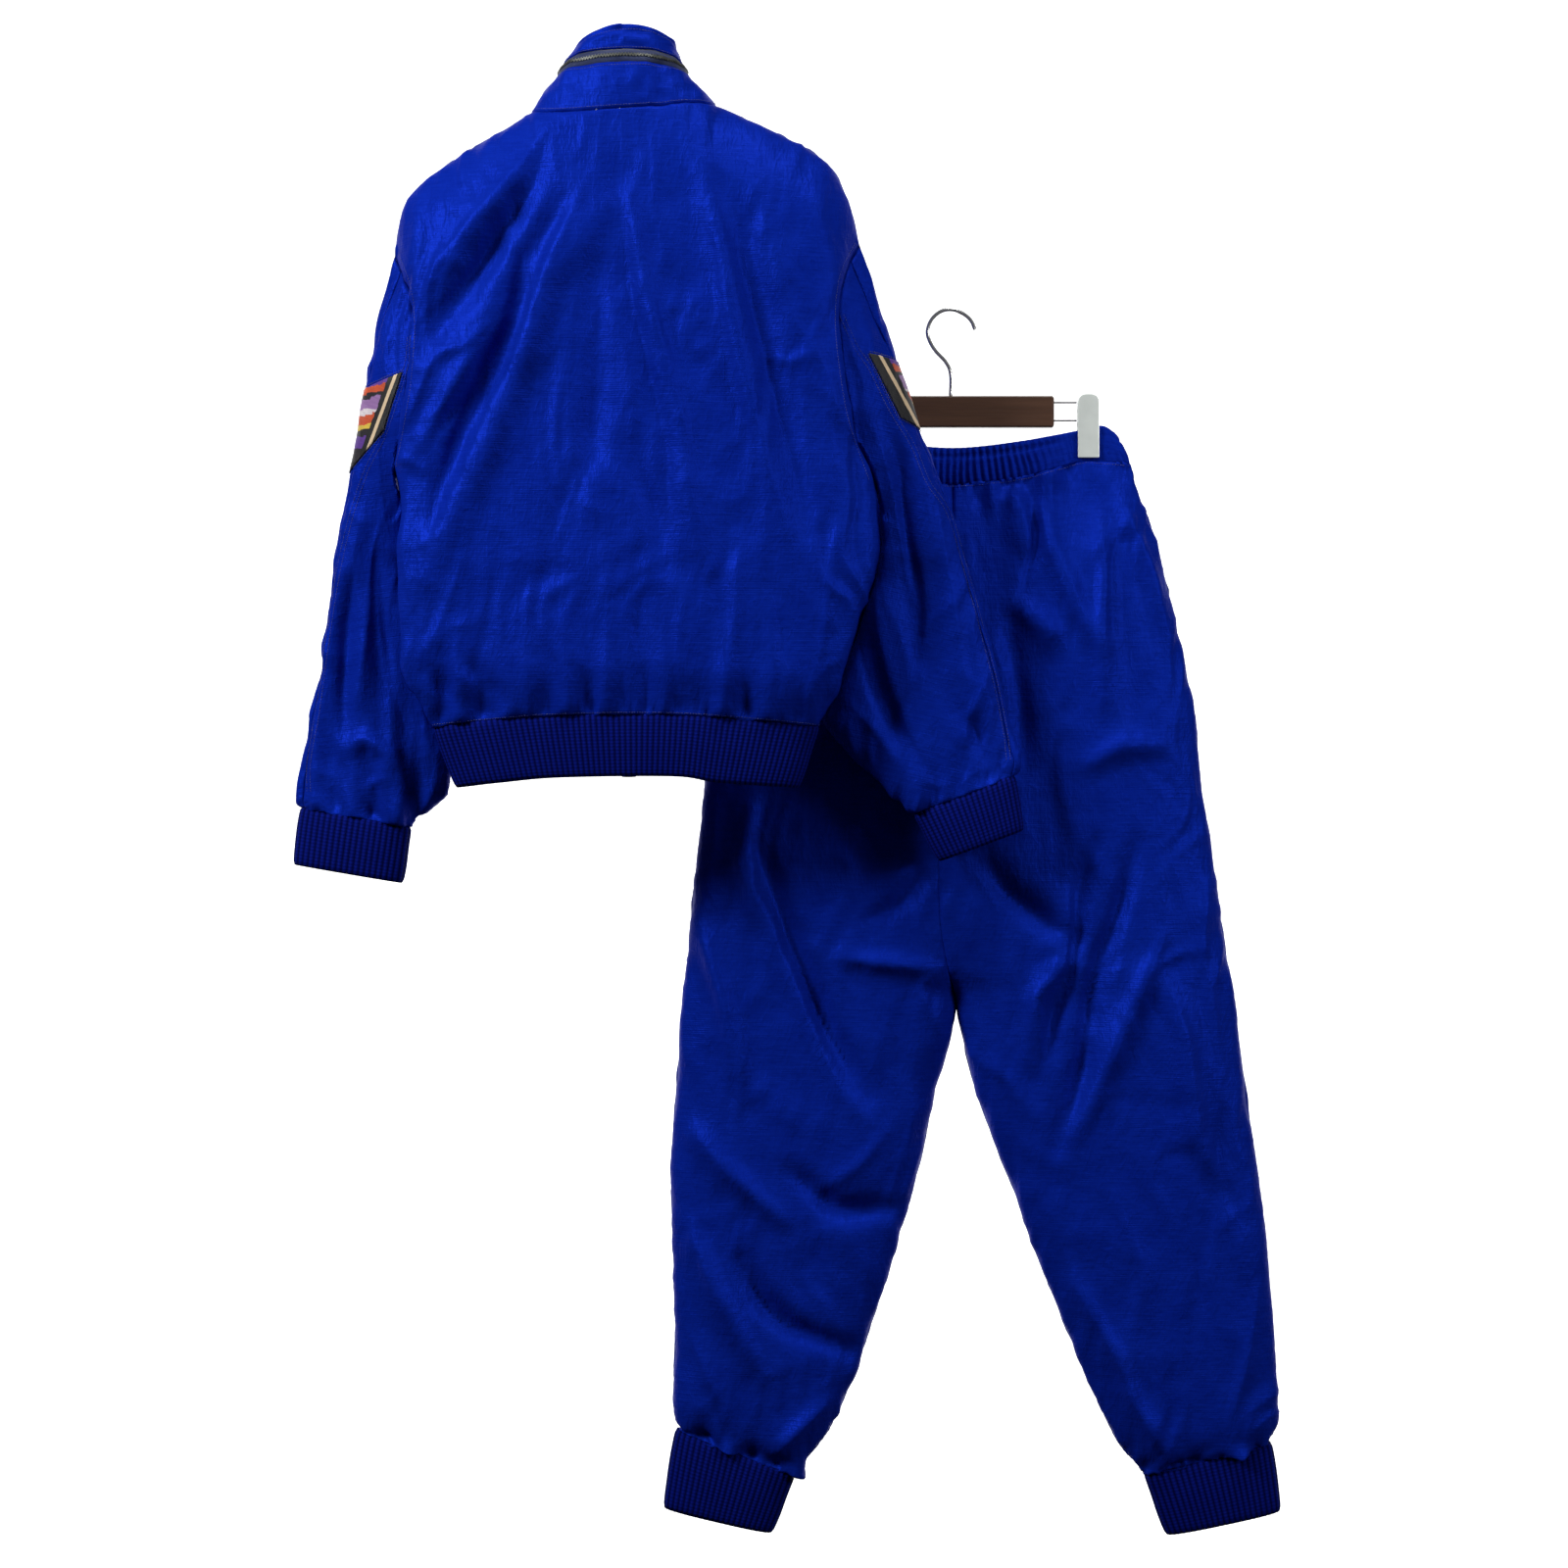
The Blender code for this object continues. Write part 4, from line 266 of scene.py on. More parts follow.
TROUSER_FOLDS = table(Fold, """
    back 16 -9: 77 -171, 81 -203, 76 -241, 66 -277, 60 -300
    back 15 7: 53 -177, 68 -205, 72 -242, 58 -290
    back 17 7: 60 -290, 90 -314, 98 -327
    back 18 -7: 53 -314, 66 -389, 68 -451
    back 18 7: 82 -178, 95 -228, 122 -297, 145 -330
    back 17 6: 144 -191, 145 -253, 144 -314, 147 -389
    back 17 6: 152 -165, 189 -241, 214 -327
    back 18 6: 127 -451, 165 -431, 205 -430
    back 16 -9: -77 -171, -84 -215, -70 -270, -62 -305
    back 18 7: -60 -180, -66 -240, -95 -310, -110 -370
    back 18 6: -140 -180, -152 -260, -150 -360
    back 20 6: -200 -480, -200 -603
    back 20 -10: -193 -530, -153 -637, -128 -699, -86 -773
    back 18 -7: -42 -526, -36 -558, -54 -583, -84 -602
    back 16 6: -109 -637, -79 -642, -20 -648
    back 18 7: -249 -612, -228 -674, -203 -773
    back 18 7: -252 -810, -220 -848, -166 -897
    back 18 -8: -158 -848, -113 -885, -60 -885
    back 18 7: -257 -904, -236 -958, -190 -1045
    back 18 -9: -208 -936, -190 -973, -160 -1001, -100 -1025
    back 17 6: -181 -1134, -155 -1106, -123 -1075
    back 20 -8: 29 -540, 53 -575, 111 -620
    back 18 8: 113 -583, 108 -640, 80 -680, 85 -750
    back 18 -8: 138 -526, 123 -575, 118 -625, 97 -700, 83 -754
    back 18 -8: 178 -526, 168 -570, 138 -662, 120 -773, 101 -823
    back 18 7: 202 -620, 160 -719, 118 -810
    back 18 7: 205 -657, 224 -711, 237 -810, 259 -853
    back 18 7: 119 -958, 162 -1034, 179 -1078, 216 -1134
    front 22 8: -70 -190, -95 -300, -110 -420
    front 22 -8: -120 -190, -150 -330, -160 -460
    front 22 8: 72 -190, 98 -310, 112 -430
    front 22 -8: 120 -190, 152 -340, 165 -470
    front 22 -8: -60 -600, -120 -690, -170 -820
    front 22 8: -230 -640, -200 -780, -170 -940
    front 22 -8: 70 -600, 130 -700, 190 -830
    front 22 8: 240 -640, 225 -790, 220 -960
    front 20 7: -200 -980, -190 -1080
    front 20 7: 220 -980, 235 -1090
""")

TROUSER_HOOK = [(-1, -83.7), (-1, -62), (-6, -50), (-16, -39), (-22, -29), (-24, -19), (-20, -8),
                (-11, 0), (0, 2), (11, -2), (19, -9), (23, -18)]
JACKET_HOOK = [(0, -17.3), (0, -4), (-5, 6), (-15, 14), (-21, 24), (-22, 35), (-17, 45), (-8, 51.5),
               (2, 52), (12, 47), (18, 38), (20, 29)]

SHELL_FOLD_WIDTH = 0.62

# Hanger parts, as the solids'
CLIP_FOOT_Z = -145.0
CLIP_TOP_Z = -82.0
CLIP_WIDTH = 21.0
CLIP_JAW = 2.5
CLIP_THROAT = 4.4
CLIP_ROOF = 14.0
CLIP_SHOULDER = 8.0
CLIP_ROUNDING = 0.6
WIRE_RADIUS = 2.0
WIRE_CELLS = 90
# The wire's rounded ends: how far back they start, and their width at the tip, in radii
END_INSET = 0.35
END_SHARE = 0.55

# How the shell puckers along its seams, and gathers above elastic ones
UNGATHERED = 1000.0
GATHER_REACH = 120.0
PUCKER_REACH = 20.0
PUCKER_PITCH = 5.5
PUCKER_FADE = 7.0
SEAM_SINK = 0.7
SEAM_WIDTH = 1.5
FOOT_CELLS = 12
SLEEVE_BLEND = 3.5
# How steeply the folds fade out towards a limb's ends
SLEEVE_END_FADE = 5
LEG_END_FADE = 10
LEG_LENGTH = 1000.0
CREST_ROUNDING = 1.2
CREASE_SCALE = 1.35

# Knit bands, in mm: how far the free edge rolls in, the sewn edge sinks in, the middle swells and
# sways, and the share of the height over which the edges do so
KNIT_ROLL = 1.4
KNIT_SINK = 1.9
KNIT_SWELL = 1.1
KNIT_BEND = 1.6
KNIT_EDGE = 0.03

# The waistband: its row of stitches as a share of its height, its gathers' mean height and
# unevenness, its swell and how far it all lies in
WAIST_STITCH = 0.25
WAIST_GATHER = 2.4
WAIST_UNEVEN = 1.8
WAIST_SWELL = 1.4
WAIST_SINK = 0.9
WAIST_HELD = 0.12

# Gathers above an elastic seam: their cells along it and away from it, how far they fade, where
# they begin, and the noise's seed; and each garment's heights of the small and of the large ones
Gather = namedtuple("Gather", "along away fade start seed")
SMALL_GATHERS = Gather(8.5, 60, 11, 2.5, 1.7)
LARGE_GATHERS = Gather(21, 160, 58, 6, 5.2)
JACKET_GATHERS = (2.6, 6.4)
TROUSER_GATHERS = (3.4, 9.0)

# Crumples: the point from which each garment's long wrinkles fan out, and their strength
JACKET_CRUMPLES = ((-2, 40), 0.8)
TROUSER_CRUMPLES = ((0, 400), 0.85)
FACING_GAIN = 2.2

# The collar: its filled lower band, its rolled top edge, the groove below it and its buckles
COLLAR_PUFF = 1.3
COLLAR_ROLL = 0.9
COLLAR_GROOVE = 1.1
COLLAR_BUCKLE = 1.3

PUCKERS = {"jacket": 0.5, "trouser": 0.5, "sleeve": 0.6, "collar_lower": 0.3, "collar_upper": 0.25}

# Threads and teeth
STITCH_PITCH = 2.7
THREAD_RADIUS = 0.3
THREAD_SIDES = 5
TOOTH_PITCH = 2.9
TOOTH_LENGTH = 0.25
TOOTH_REACH = 2.1
TOOTH_HEIGHT = 1.3
TOOTH_SINK = -0.2
FAR = 400.0

COLLAR_STITCH_ROWS = (1, 13, 23, 33)
COLLAR_GROOVE_ROW = 33
SEAM_STITCH_RIGHT = [(207, -194), (221, -225), (235, -245), (256, -286), (276, -317), (291, -352),
                     (312, -383), (333, -454), (348, -510), (358, -550), (366, -590), (369, -618)]
SEAM_STITCH_LEFT = [(-204, -215), (-208, -245), (-228, -303), (-250, -345), (-268, -400), (-281, -460),
                    (-290, -520), (-298, -575), (-306, -620), (-306, -648)]

# Weaves, in ribs or stitches to a metre of cloth
WEFT_PER_METRE = 150.0
WARP_PER_METRE = 260.0
STITCHES_PER_METRE = 95.0
SHELL_GLOSS = (0.05, 0.12, 1.0, 1)
SHELL_LUSTRE = 0.16
SHELL_COLOURS = ((0.0003, 0.0055, 0.150), (0.0045, 0.0270, 0.410))

# The printed panels' own design: bars beside a cream stripe
PATCH_REACH_CELLS = 84
PATCH_LIFT = 1.4
PRINT_WALL = 0.6
PANEL_LENGTH = 0.105
PANEL_START = -0.018
BAR_SLANT = 0.55
BARS_START = -0.0042
STRIPE_HALF = 0.0016
PRINT_BARS = [
    (0.00, (0.010, 0.008, 0.014)), (0.13, (0.110, 0.035, 0.300)), (0.24, (0.620, 0.085, 0.020)),
    (0.31, (0.010, 0.008, 0.014)), (0.36, (0.330, 0.170, 0.420)), (0.47, (0.780, 0.700, 0.740)),
    (0.52, (0.620, 0.085, 0.020)), (0.62, (0.740, 0.520, 0.060)), (0.67, (0.010, 0.008, 0.014)),
    (0.74, (0.110, 0.035, 0.300)), (0.86, (0.010, 0.008, 0.014)),
]
StripeLine = namedtuple("StripeLine", "start stop inward")
STRIPES = {"left": StripeLine((-217, -251), (-244, -317), (66, -27)),
           "right": StripeLine((244, -233), (281, -298), (-65, -37))}

Cut = namedtuple("Cut", "width length area held hangs_from")

# Crisp creases: side, half width, relief and lean to one side, then the path
Crease = namedtuple("Crease", "side width relief lean path")
JACKET_CREASES = table(Crease, """
    back 8 5.0 0.3: -69 -14, -87 -41, -108 -69, -136 -102, -160 -130, -191 -169
    back 9 -4.5 0.2: -72 -26, -87 -75, -121 -127, -151 -169, -191 -206
    back 8 5.5 0.4: -32 -65, -69 -145, -93 -218, -120 -279, -151 -350, -179 -411
    back 9 -4.5 0.2: -50 -80, -84 -150, -112 -228, -140 -290, -172 -360
    back 7 4.0 0.3: 5 -81, 17 -145, 30 -210, 54 -295, 62 -360, 72 -432
    back 7 -3.0 -0.2: 0 -95, 6 -170, 22 -240, 38 -310, 44 -400
    back 5 2.2 0.0: -6 -197, 5 -249, 11 -325
    back 6 3.0 0.3: -38 -338, -52 -380, -69 -432
    back 6 2.6 -0.3: -38 -338, -30 -366, -26 -402
    back 8 4.5 0.4: 72 -29, 82 -82, 94 -145, 109 -237, 136 -341, 158 -432
    back 8 -4.0 0.2: 84 -75, 109 -145, 127 -206, 146 -279, 170 -371
    back 6 3.0 0.2: 118 -60, 140 -130, 160 -200, 182 -228
    back 5 2.6 0.0: 182 -228, 196 -262, 204 -310
    back 5 2.6 0.0: 182 -228, 160 -240, 140 -236
    back 5 3.0 0.3: -176 -231, -151 -228, -124 -200
    back 5 3.2 0.3: -203 -295, -190 -262, -179 -240, -156 -226
    back 5 2.6 0.0: -218 -334, -205 -334, -186 -346
    back 5 2.6 0.2: -169 -75, -160 -96, -133 -90
    back 6 -3.0 0.2: -191 -81, -186 -117, -194 -157, -200 -200
    back 3 1.6 0.0: -35 -4, -37 -24, -42 -44
    back 3 1.6 0.0: -23 -4, -22 -28, -26 -52
    back 3 1.4 0.0: -1 -4, 2 -30, 5 -60
    back 4 1.8 0.0: 30 0, 36 -30, 34 -70
    back 5 2.4 0.2: -150 -420, -166 -470, -190 -520
    back 5 -2.2 0.2: -120 -440, -132 -500, -150 -556
    back 5 2.6 0.3: -56 -534, -50 -552, -47 -572
    back 6 2.4 0.0: -84 -430, -92 -490, -90 -560
    back 5 2.0 0.2: -20 -420, -14 -480, -18 -566
    back 6 -2.2 0.0: 20 -440, 14 -500, 22 -560
    back 5 2.2 0.2: 60 -450, 52 -505, 56 -566
    back 6 2.4 0.2: 110 -420, 106 -480, 96 -560
    back 5 -2.2 0.2: 140 -440, 150 -500, 146 -560
    back 5 2.6 0.2: 208 -380, 196 -430, 190 -500, 176 -560
    front 8 4.0 0.3: -80 -40, -108 -130, -140 -240, -166 -350, -180 -440
    front 7 -3.5 0.2: -50 -60, -66 -170, -96 -290, -130 -400
    front 8 4.0 0.3: 76 -30, 96 -130, 120 -250, 150 -360, 172 -450
    front 7 -3.5 0.2: 48 -70, 60 -190, 88 -310, 120 -410
    front 6 2.6 0.2: -196 -240, -160 -260, -130 -300
    front 6 2.6 0.2: 200 -240, 168 -262, 140 -310
    front 6 2.4 0.0: -60 -440, -68 -510, -60 -570
    front 6 2.4 0.0: 70 -430, 60 -500, 66 -570
    front 5 2.0 0.0: 130 -470, 140 -520, 130 -570
    front 5 2.0 0.0: -130 -470, -140 -520, -130 -570
    back 6 3.6 0.3: -230 -380, -246 -430, -250 -500, -262 -570
    back 6 -3.4 0.2: -258 -420, -266 -470, -272 -530, -274 -590
    back 6 3.4 0.3: -276 -440, -288 -510, -296 -580, -304 -640
    back 5 3.2 0.2: -267 -609, -255 -597, -233 -609, -227 -633
    back 5 2.6 0.0: -227 -633, -248 -645, -238 -669
    back 6 -3.0 0.2: -236 -420, -234 -480, -226 -540, -212 -590
    back 6 3.0 0.2: -214 -460, -206 -520, -196 -570, -190 -620
    back 5 2.8 0.2: -300 -590, -284 -622, -272 -655
    back 6 3.0 0.3: 238 -300, 252 -350, 266 -420, 280 -480
    back 6 -3.4 0.2: 262 -330, 270 -400, 280 -460, 284 -530
    back 6 3.4 0.3: 296 -360, 306 -420, 318 -490, 330 -560
    back 6 3.2 0.2: 240 -440, 246 -500, 262 -560, 292 -620
    back 6 -3.2 0.2: 222 -500, 240 -560, 270 -616
    back 5 3.2 0.2: 352 -530, 338 -560, 326 -590, 330 -624
    back 5 -3.0 0.2: 327 -574, 340 -596, 350 -625
    back 5 2.6 0.0: 212 -560, 240 -590, 262 -624
    front 6 3.2 0.2: -240 -400, -252 -480, -262 -560, -280 -630
    front 6 -3.0 0.2: -262 -420, -272 -500, -276 -600
    front 6 3.2 0.2: 262 -360, 282 -440, 302 -530, 320 -600
    front 6 -3.0 0.2: 250 -420, 268 -500, 296 -600
""")
TROUSER_CREASES = table(Crease, """
    back 6 4.5 0.4: 53 -177, 68 -205, 72 -242, 58 -290
    back 6 -4.0 0.3: 77 -171, 81 -203, 76 -241, 66 -277
    back 6 3.6 0.2: 60 -290, 90 -314, 98 -327
    back 7 -3.4 0.2: 53 -314, 66 -389, 68 -451
    back 6 3.6 0.3: 82 -178, 95 -228, 122 -297, 145 -330
    back 6 3.2 0.3: 144 -191, 145 -253, 144 -314, 147 -389
    back 6 3.2 0.2: 152 -165, 189 -241, 214 -327
    back 6 3.0 0.3: 127 -451, 165 -431, 205 -430
    back 6 -4.0 0.3: -77 -171, -84 -215, -70 -270, -62 -305
    back 6 4.0 0.3: -60 -180, -66 -240, -95 -310, -110 -370
    back 7 3.4 0.3: -140 -180, -152 -260, -150 -360
    back 5 2.4 0.2: 20 -180, 14 -250, 24 -330
    back 5 2.2 0.2: -18 -176, -14 -230, -24 -300
    back 7 3.0 0.2: -200 -480, -206 -540, -200 -603
    back 7 -5.0 0.3: -193 -530, -153 -637, -128 -699, -86 -773
    back 7 4.6 0.3: -222 -520, -184 -600, -150 -690, -112 -770, -80 -800
    back 6 -3.6 0.2: -42 -526, -36 -558, -54 -583, -84 -602
    back 6 3.6 0.3: -109 -637, -79 -642, -20 -648
    back 5 3.2 0.2: -10 -647, -32 -664, -27 -689, -13 -711
    back 7 4.0 0.3: -249 -612, -228 -674, -203 -773
    back 6 4.0 0.3: -252 -810, -220 -848, -166 -897
    back 7 -4.2 0.2: -158 -848, -113 -885, -60 -885
    back 6 3.4 0.2: -60 -800, -96 -842, -140 -870
    back 7 4.0 0.3: -257 -904, -236 -958, -190 -1045
    back 6 -4.2 0.2: -208 -936, -190 -973, -160 -1001, -100 -1025
    back 6 3.4 0.3: -181 -1134, -155 -1106, -123 -1075
    back 6 3.0 0.2: -262 -1000, -240 -1050, -216 -1110
    back 5 -3.0 0.2: -236 -1060, -226 -1100, -220 -1140
    back 7 -4.4 0.3: 29 -540, 53 -575, 111 -620
    back 6 4.6 0.4: 113 -583, 108 -640, 80 -680, 85 -750
    back 6 -4.2 0.2: 138 -526, 123 -575, 118 -625, 97 -700, 83 -754
    back 7 -4.2 0.2: 178 -526, 168 -570, 138 -662, 120 -773, 101 -823
    back 7 4.2 0.3: 202 -620, 160 -719, 118 -810
    back 7 4.0 0.3: 205 -657, 224 -711, 237 -810, 259 -853
    back 5 3.0 0.2: 21 -694, 29 -719, 21 -736, 51 -754, 71 -786
    back 6 3.0 0.2: 250 -560, 246 -640, 262 -720
    back 6 -3.0 0.2: 270 -760, 262 -840, 284 -900
    back 6 3.2 0.3: 150 -860, 180 -930, 196 -1000
    back 6 -3.0 0.2: 230 -880, 240 -950, 262 -1020
    back 6 4.0 0.3: 119 -958, 162 -1034, 179 -1078, 216 -1134
    back 6 3.0 0.2: 300 -960, 288 -1030, 270 -1100
    front 7 4.0 0.3: -70 -190, -95 -300, -110 -420
    front 7 -4.0 0.2: -120 -190, -150 -330, -160 -460
    front 7 4.0 0.3: 72 -190, 98 -310, 112 -430
    front 7 -4.0 0.2: 120 -190, 152 -340, 165 -470
    front 7 -4.0 0.2: -60 -600, -120 -690, -170 -820
    front 7 4.0 0.3: -230 -640, -200 -780, -170 -940
    front 7 -4.0 0.2: 70 -600, 130 -700, 190 -830
    front 7 4.0 0.3: 240 -640, 225 -790, 220 -960
    front 6 3.4 0.2: -200 -980, -190 -1080
    front 6 3.4 0.2: 220 -980, 235 -1090
""")


def smooth_table(rows, column, shares):
    """Reads a table's column at the given shares, along a curve that never overshoots its rows."""
    xs = np.array([row.share for row in rows], float)
    ys = np.array([getattr(row, column) for row in rows], float)
    steps = np.diff(xs)
    slopes = np.diff(ys) / steps
    tangents = np.zeros(len(xs))
    tangents[0] = slopes[0]
    tangents[-1] = slopes[-1]
    for i in range(1, len(xs) - 1):
        if slopes[i - 1] * slopes[i] > 0:
            tangents[i] = 2 * slopes[i - 1] * slopes[i] / (slopes[i - 1] + slopes[i])
    shares = np.clip(np.asarray(shares, float), xs[0], xs[-1])
    cell = np.clip(np.searchsorted(xs, shares, side="right") - 1, 0, len(xs) - 2)
    t = (shares - xs[cell]) / steps[cell]
    start = (1 + 2 * t) * (1 - t) ** 2 * ys[cell] + t * (1 - t) ** 2 * steps[cell] * tangents[cell]
    end = t * t * (3 - 2 * t) * ys[cell + 1] + t * t * (t - 1) * steps[cell] * tangents[cell + 1]
    return start + end


def curve_points(points, shares):
    """Points at shares of the length of a smooth curve through the given points."""
    knots = np.array(points, float)
    padded = np.vstack([2 * knots[0] - knots[1], knots, 2 * knots[-1] - knots[-2]])
    dense = []
    for i in range(len(knots) - 1):
        a, b, c, d = padded[i:i + 4]
        for t in np.linspace(0, 1, 16, endpoint=False):
            dense.append(0.5 * (2 * b + (c - a) * t + (2 * a - 5 * b + 4 * c - d) * t * t
                                + (3 * b - a - 3 * c + d) * t ** 3))
    dense.append(knots[-1])
    dense = np.array(dense)
    length = np.concatenate([[0], np.cumsum(np.linalg.norm(np.diff(dense, axis=0), axis=1))])
    length /= length[-1]
    return np.column_stack([np.interp(shares, length, dense[:, k]) for k in range(dense.shape[1])])


def even(cells):
    """Even shares from 0 to 1."""
    return np.linspace(0, 1, cells + 1)


def bulge(shares, power=SECTION_POWER):
    """Height of a rounded section from 0 at one edge, over 1 in the middle, to 0 at the other."""
    return (1 - np.abs(2 * np.asarray(shares) - 1) ** power) ** (1 / power)


def section_ring(section, turns):
    """A flattened ring between two edges: turn 0 is the outer edge, 0.25 the back, 0.5 the inner."""
    angle = 2 * np.pi * np.asarray(turns, float)
    share = (1 - np.cos(angle)) / 2
    sine = np.where(np.sin(angle) < 0, -1, 1) * bulge(share)
    x = section.outer_x + (section.inner_x - section.outer_x) * share
    z = section.outer_z + (section.inner_z - section.outer_z) * share
    return np.column_stack([x, section.middle - section.depth * sine, z])


def blend_sections(rows, cells):
    """Sections at even shares of a table of sections, read along smooth curves."""
    kind = type(rows[0])
    keyed = namedtuple("Keyed", ("share",) + kind._fields)
    spread = np.linspace(0, 1, len(rows))
    table = [keyed(share, *row) for share, row in zip(spread, rows)]
    shares = even(cells)
    columns = [smooth_table(table, name, shares) for name in kind._fields]
    return [kind(*values) for values in zip(*columns)]


def coons(bottom, top, left, right, shares, heights):
    """The x, z points of a patch stretched between its four edges."""
    rows = []
    for k, v in enumerate(heights):
        u = shares[:, None]
        corner = ((1 - u) * (1 - v) * bottom[0] + u * (1 - v) * bottom[-1]
                  + (1 - u) * v * top[0] + u * v * top[-1])
        rows.append((1 - v) * bottom + v * top + (1 - u) * left[k] + u * right[k] - corner)
    return rows


def signed_distance(points, path):
    """Distance of each x, z point from a path, positive on its left, and the share of the path there."""
    corners = np.array(path, float)
    best = np.full(len(points), 1e9)
    share = np.zeros(len(points))
    sign = np.ones(len(points))
    for i, (a, b) in enumerate(zip(corners[:-1], corners[1:])):
        run = b - a
        t = np.clip(((points - a) @ run) / (run @ run), 0, 1)
        offset = points - a - t[:, None] * run
        distance = np.linalg.norm(offset, axis=1)
        nearer = distance < best
        best[nearer] = distance[nearer]
        share[nearer] = ((i + t) / (len(corners) - 1))[nearer]
        sign[nearer] = np.sign(run[0] * offset[:, 1] - run[1] * offset[:, 0])[nearer]
    return best * sign, share


def fold_relief(points, folds, side):
    """Relief of the broad folds, which the solids have too."""
    relief = np.zeros(len(points))
    for fold in folds:
        if fold.side != side:
            continue
        distance, share = signed_distance(points, fold.path)
        fade = np.sqrt(np.clip(np.sin(np.pi * (0.06 + 0.88 * share)), 0, 1))
        relief += fold.relief * fade * np.exp(-(distance / (SHELL_FOLD_WIDTH * fold.width)) ** 2)
    return relief


def crease_relief(points, creases):
    """Relief of the crisp creases: each has a sharp crest, wider on one side than on the other."""
    relief = np.zeros(len(points))
    for crease in creases:
        path = np.array(crease.path, float)
        reach = 5 * crease.width
        near = ((points > path.min(axis=0) - reach) & (points < path.max(axis=0) + reach)).all(axis=1)
        if not near.any():
            continue
        smooth = curve_points(path, even(4 * len(path)))
        distance, share = signed_distance(points[near], smooth)
        width = crease.width * (1 + crease.lean * np.tanh(distance / CREST_ROUNDING))
        fade = np.clip(np.sin(np.pi * (0.03 + 0.94 * share)), 0, 1) ** 0.7
        crest = np.sqrt(distance ** 2 + CREST_ROUNDING ** 2) - CREST_ROUNDING
        relief[near] += CREASE_SCALE * crease.relief * fade * np.exp(-crest / width)
    return relief


def ridged(values):
    """Noise folded at zero, so that it has crisp crests, from -1 to 1."""
    return 1 - 4 * np.abs(values)


def noise_at(points, seed):
    """Smooth noise at points given in units of its own cells."""
    return np.array([noise.noise(Vector((x, y, z + seed))) for x, y, z in points])


def body_columns():
    """Shares of the width at the columns of the back panel and of the fronts with their zip."""
    shoulder = SHOULDER_SHARE
    neck = 1 - 2 * shoulder
    back = np.concatenate([even(SHOULDER_CELLS) * shoulder, shoulder + even(NECK_BACK_CELLS)[1:-1] * neck,
                           1 - shoulder + even(SHOULDER_CELLS) * shoulder])
    inner = shoulder + neck_front_shares(BODY_WIDTH * neck) * neck
    front = np.concatenate([even(SHOULDER_CELLS)[:-1] * shoulder, inner,
                            (1 - even(SHOULDER_CELLS)[:-1] * shoulder)[::-1]])
    return back, front


def neck_front_shares(width):
    """Shares of a front neckline of the given width, with the zip's tape in the middle."""
    tape = TAPE_WIDTH / 2 / width
    side = even(NECK_FRONT_CELLS) * (0.5 - tape)
    zip_shares = np.linspace(0.5 - tape, 0.5 + tape, ZIP_CELLS + 1)[1:-1]
    return np.concatenate([side, zip_shares, (1 - side)[::-1]])


def armhole_shares():
    """Shares of an armhole's half from the armpit up, closer together at its ends."""
    return 0.5 * even(ARMHOLE_CELLS) + 0.25 * (1 - np.cos(np.pi * even(ARMHOLE_CELLS)))


def body_heights():
    """Shares of the body's height at its rows."""
    return np.concatenate([even(SIDE_CELLS) * ARMPIT_SHARE,
                           ARMPIT_SHARE + armhole_shares()[1:] * (1 - ARMPIT_SHARE)])


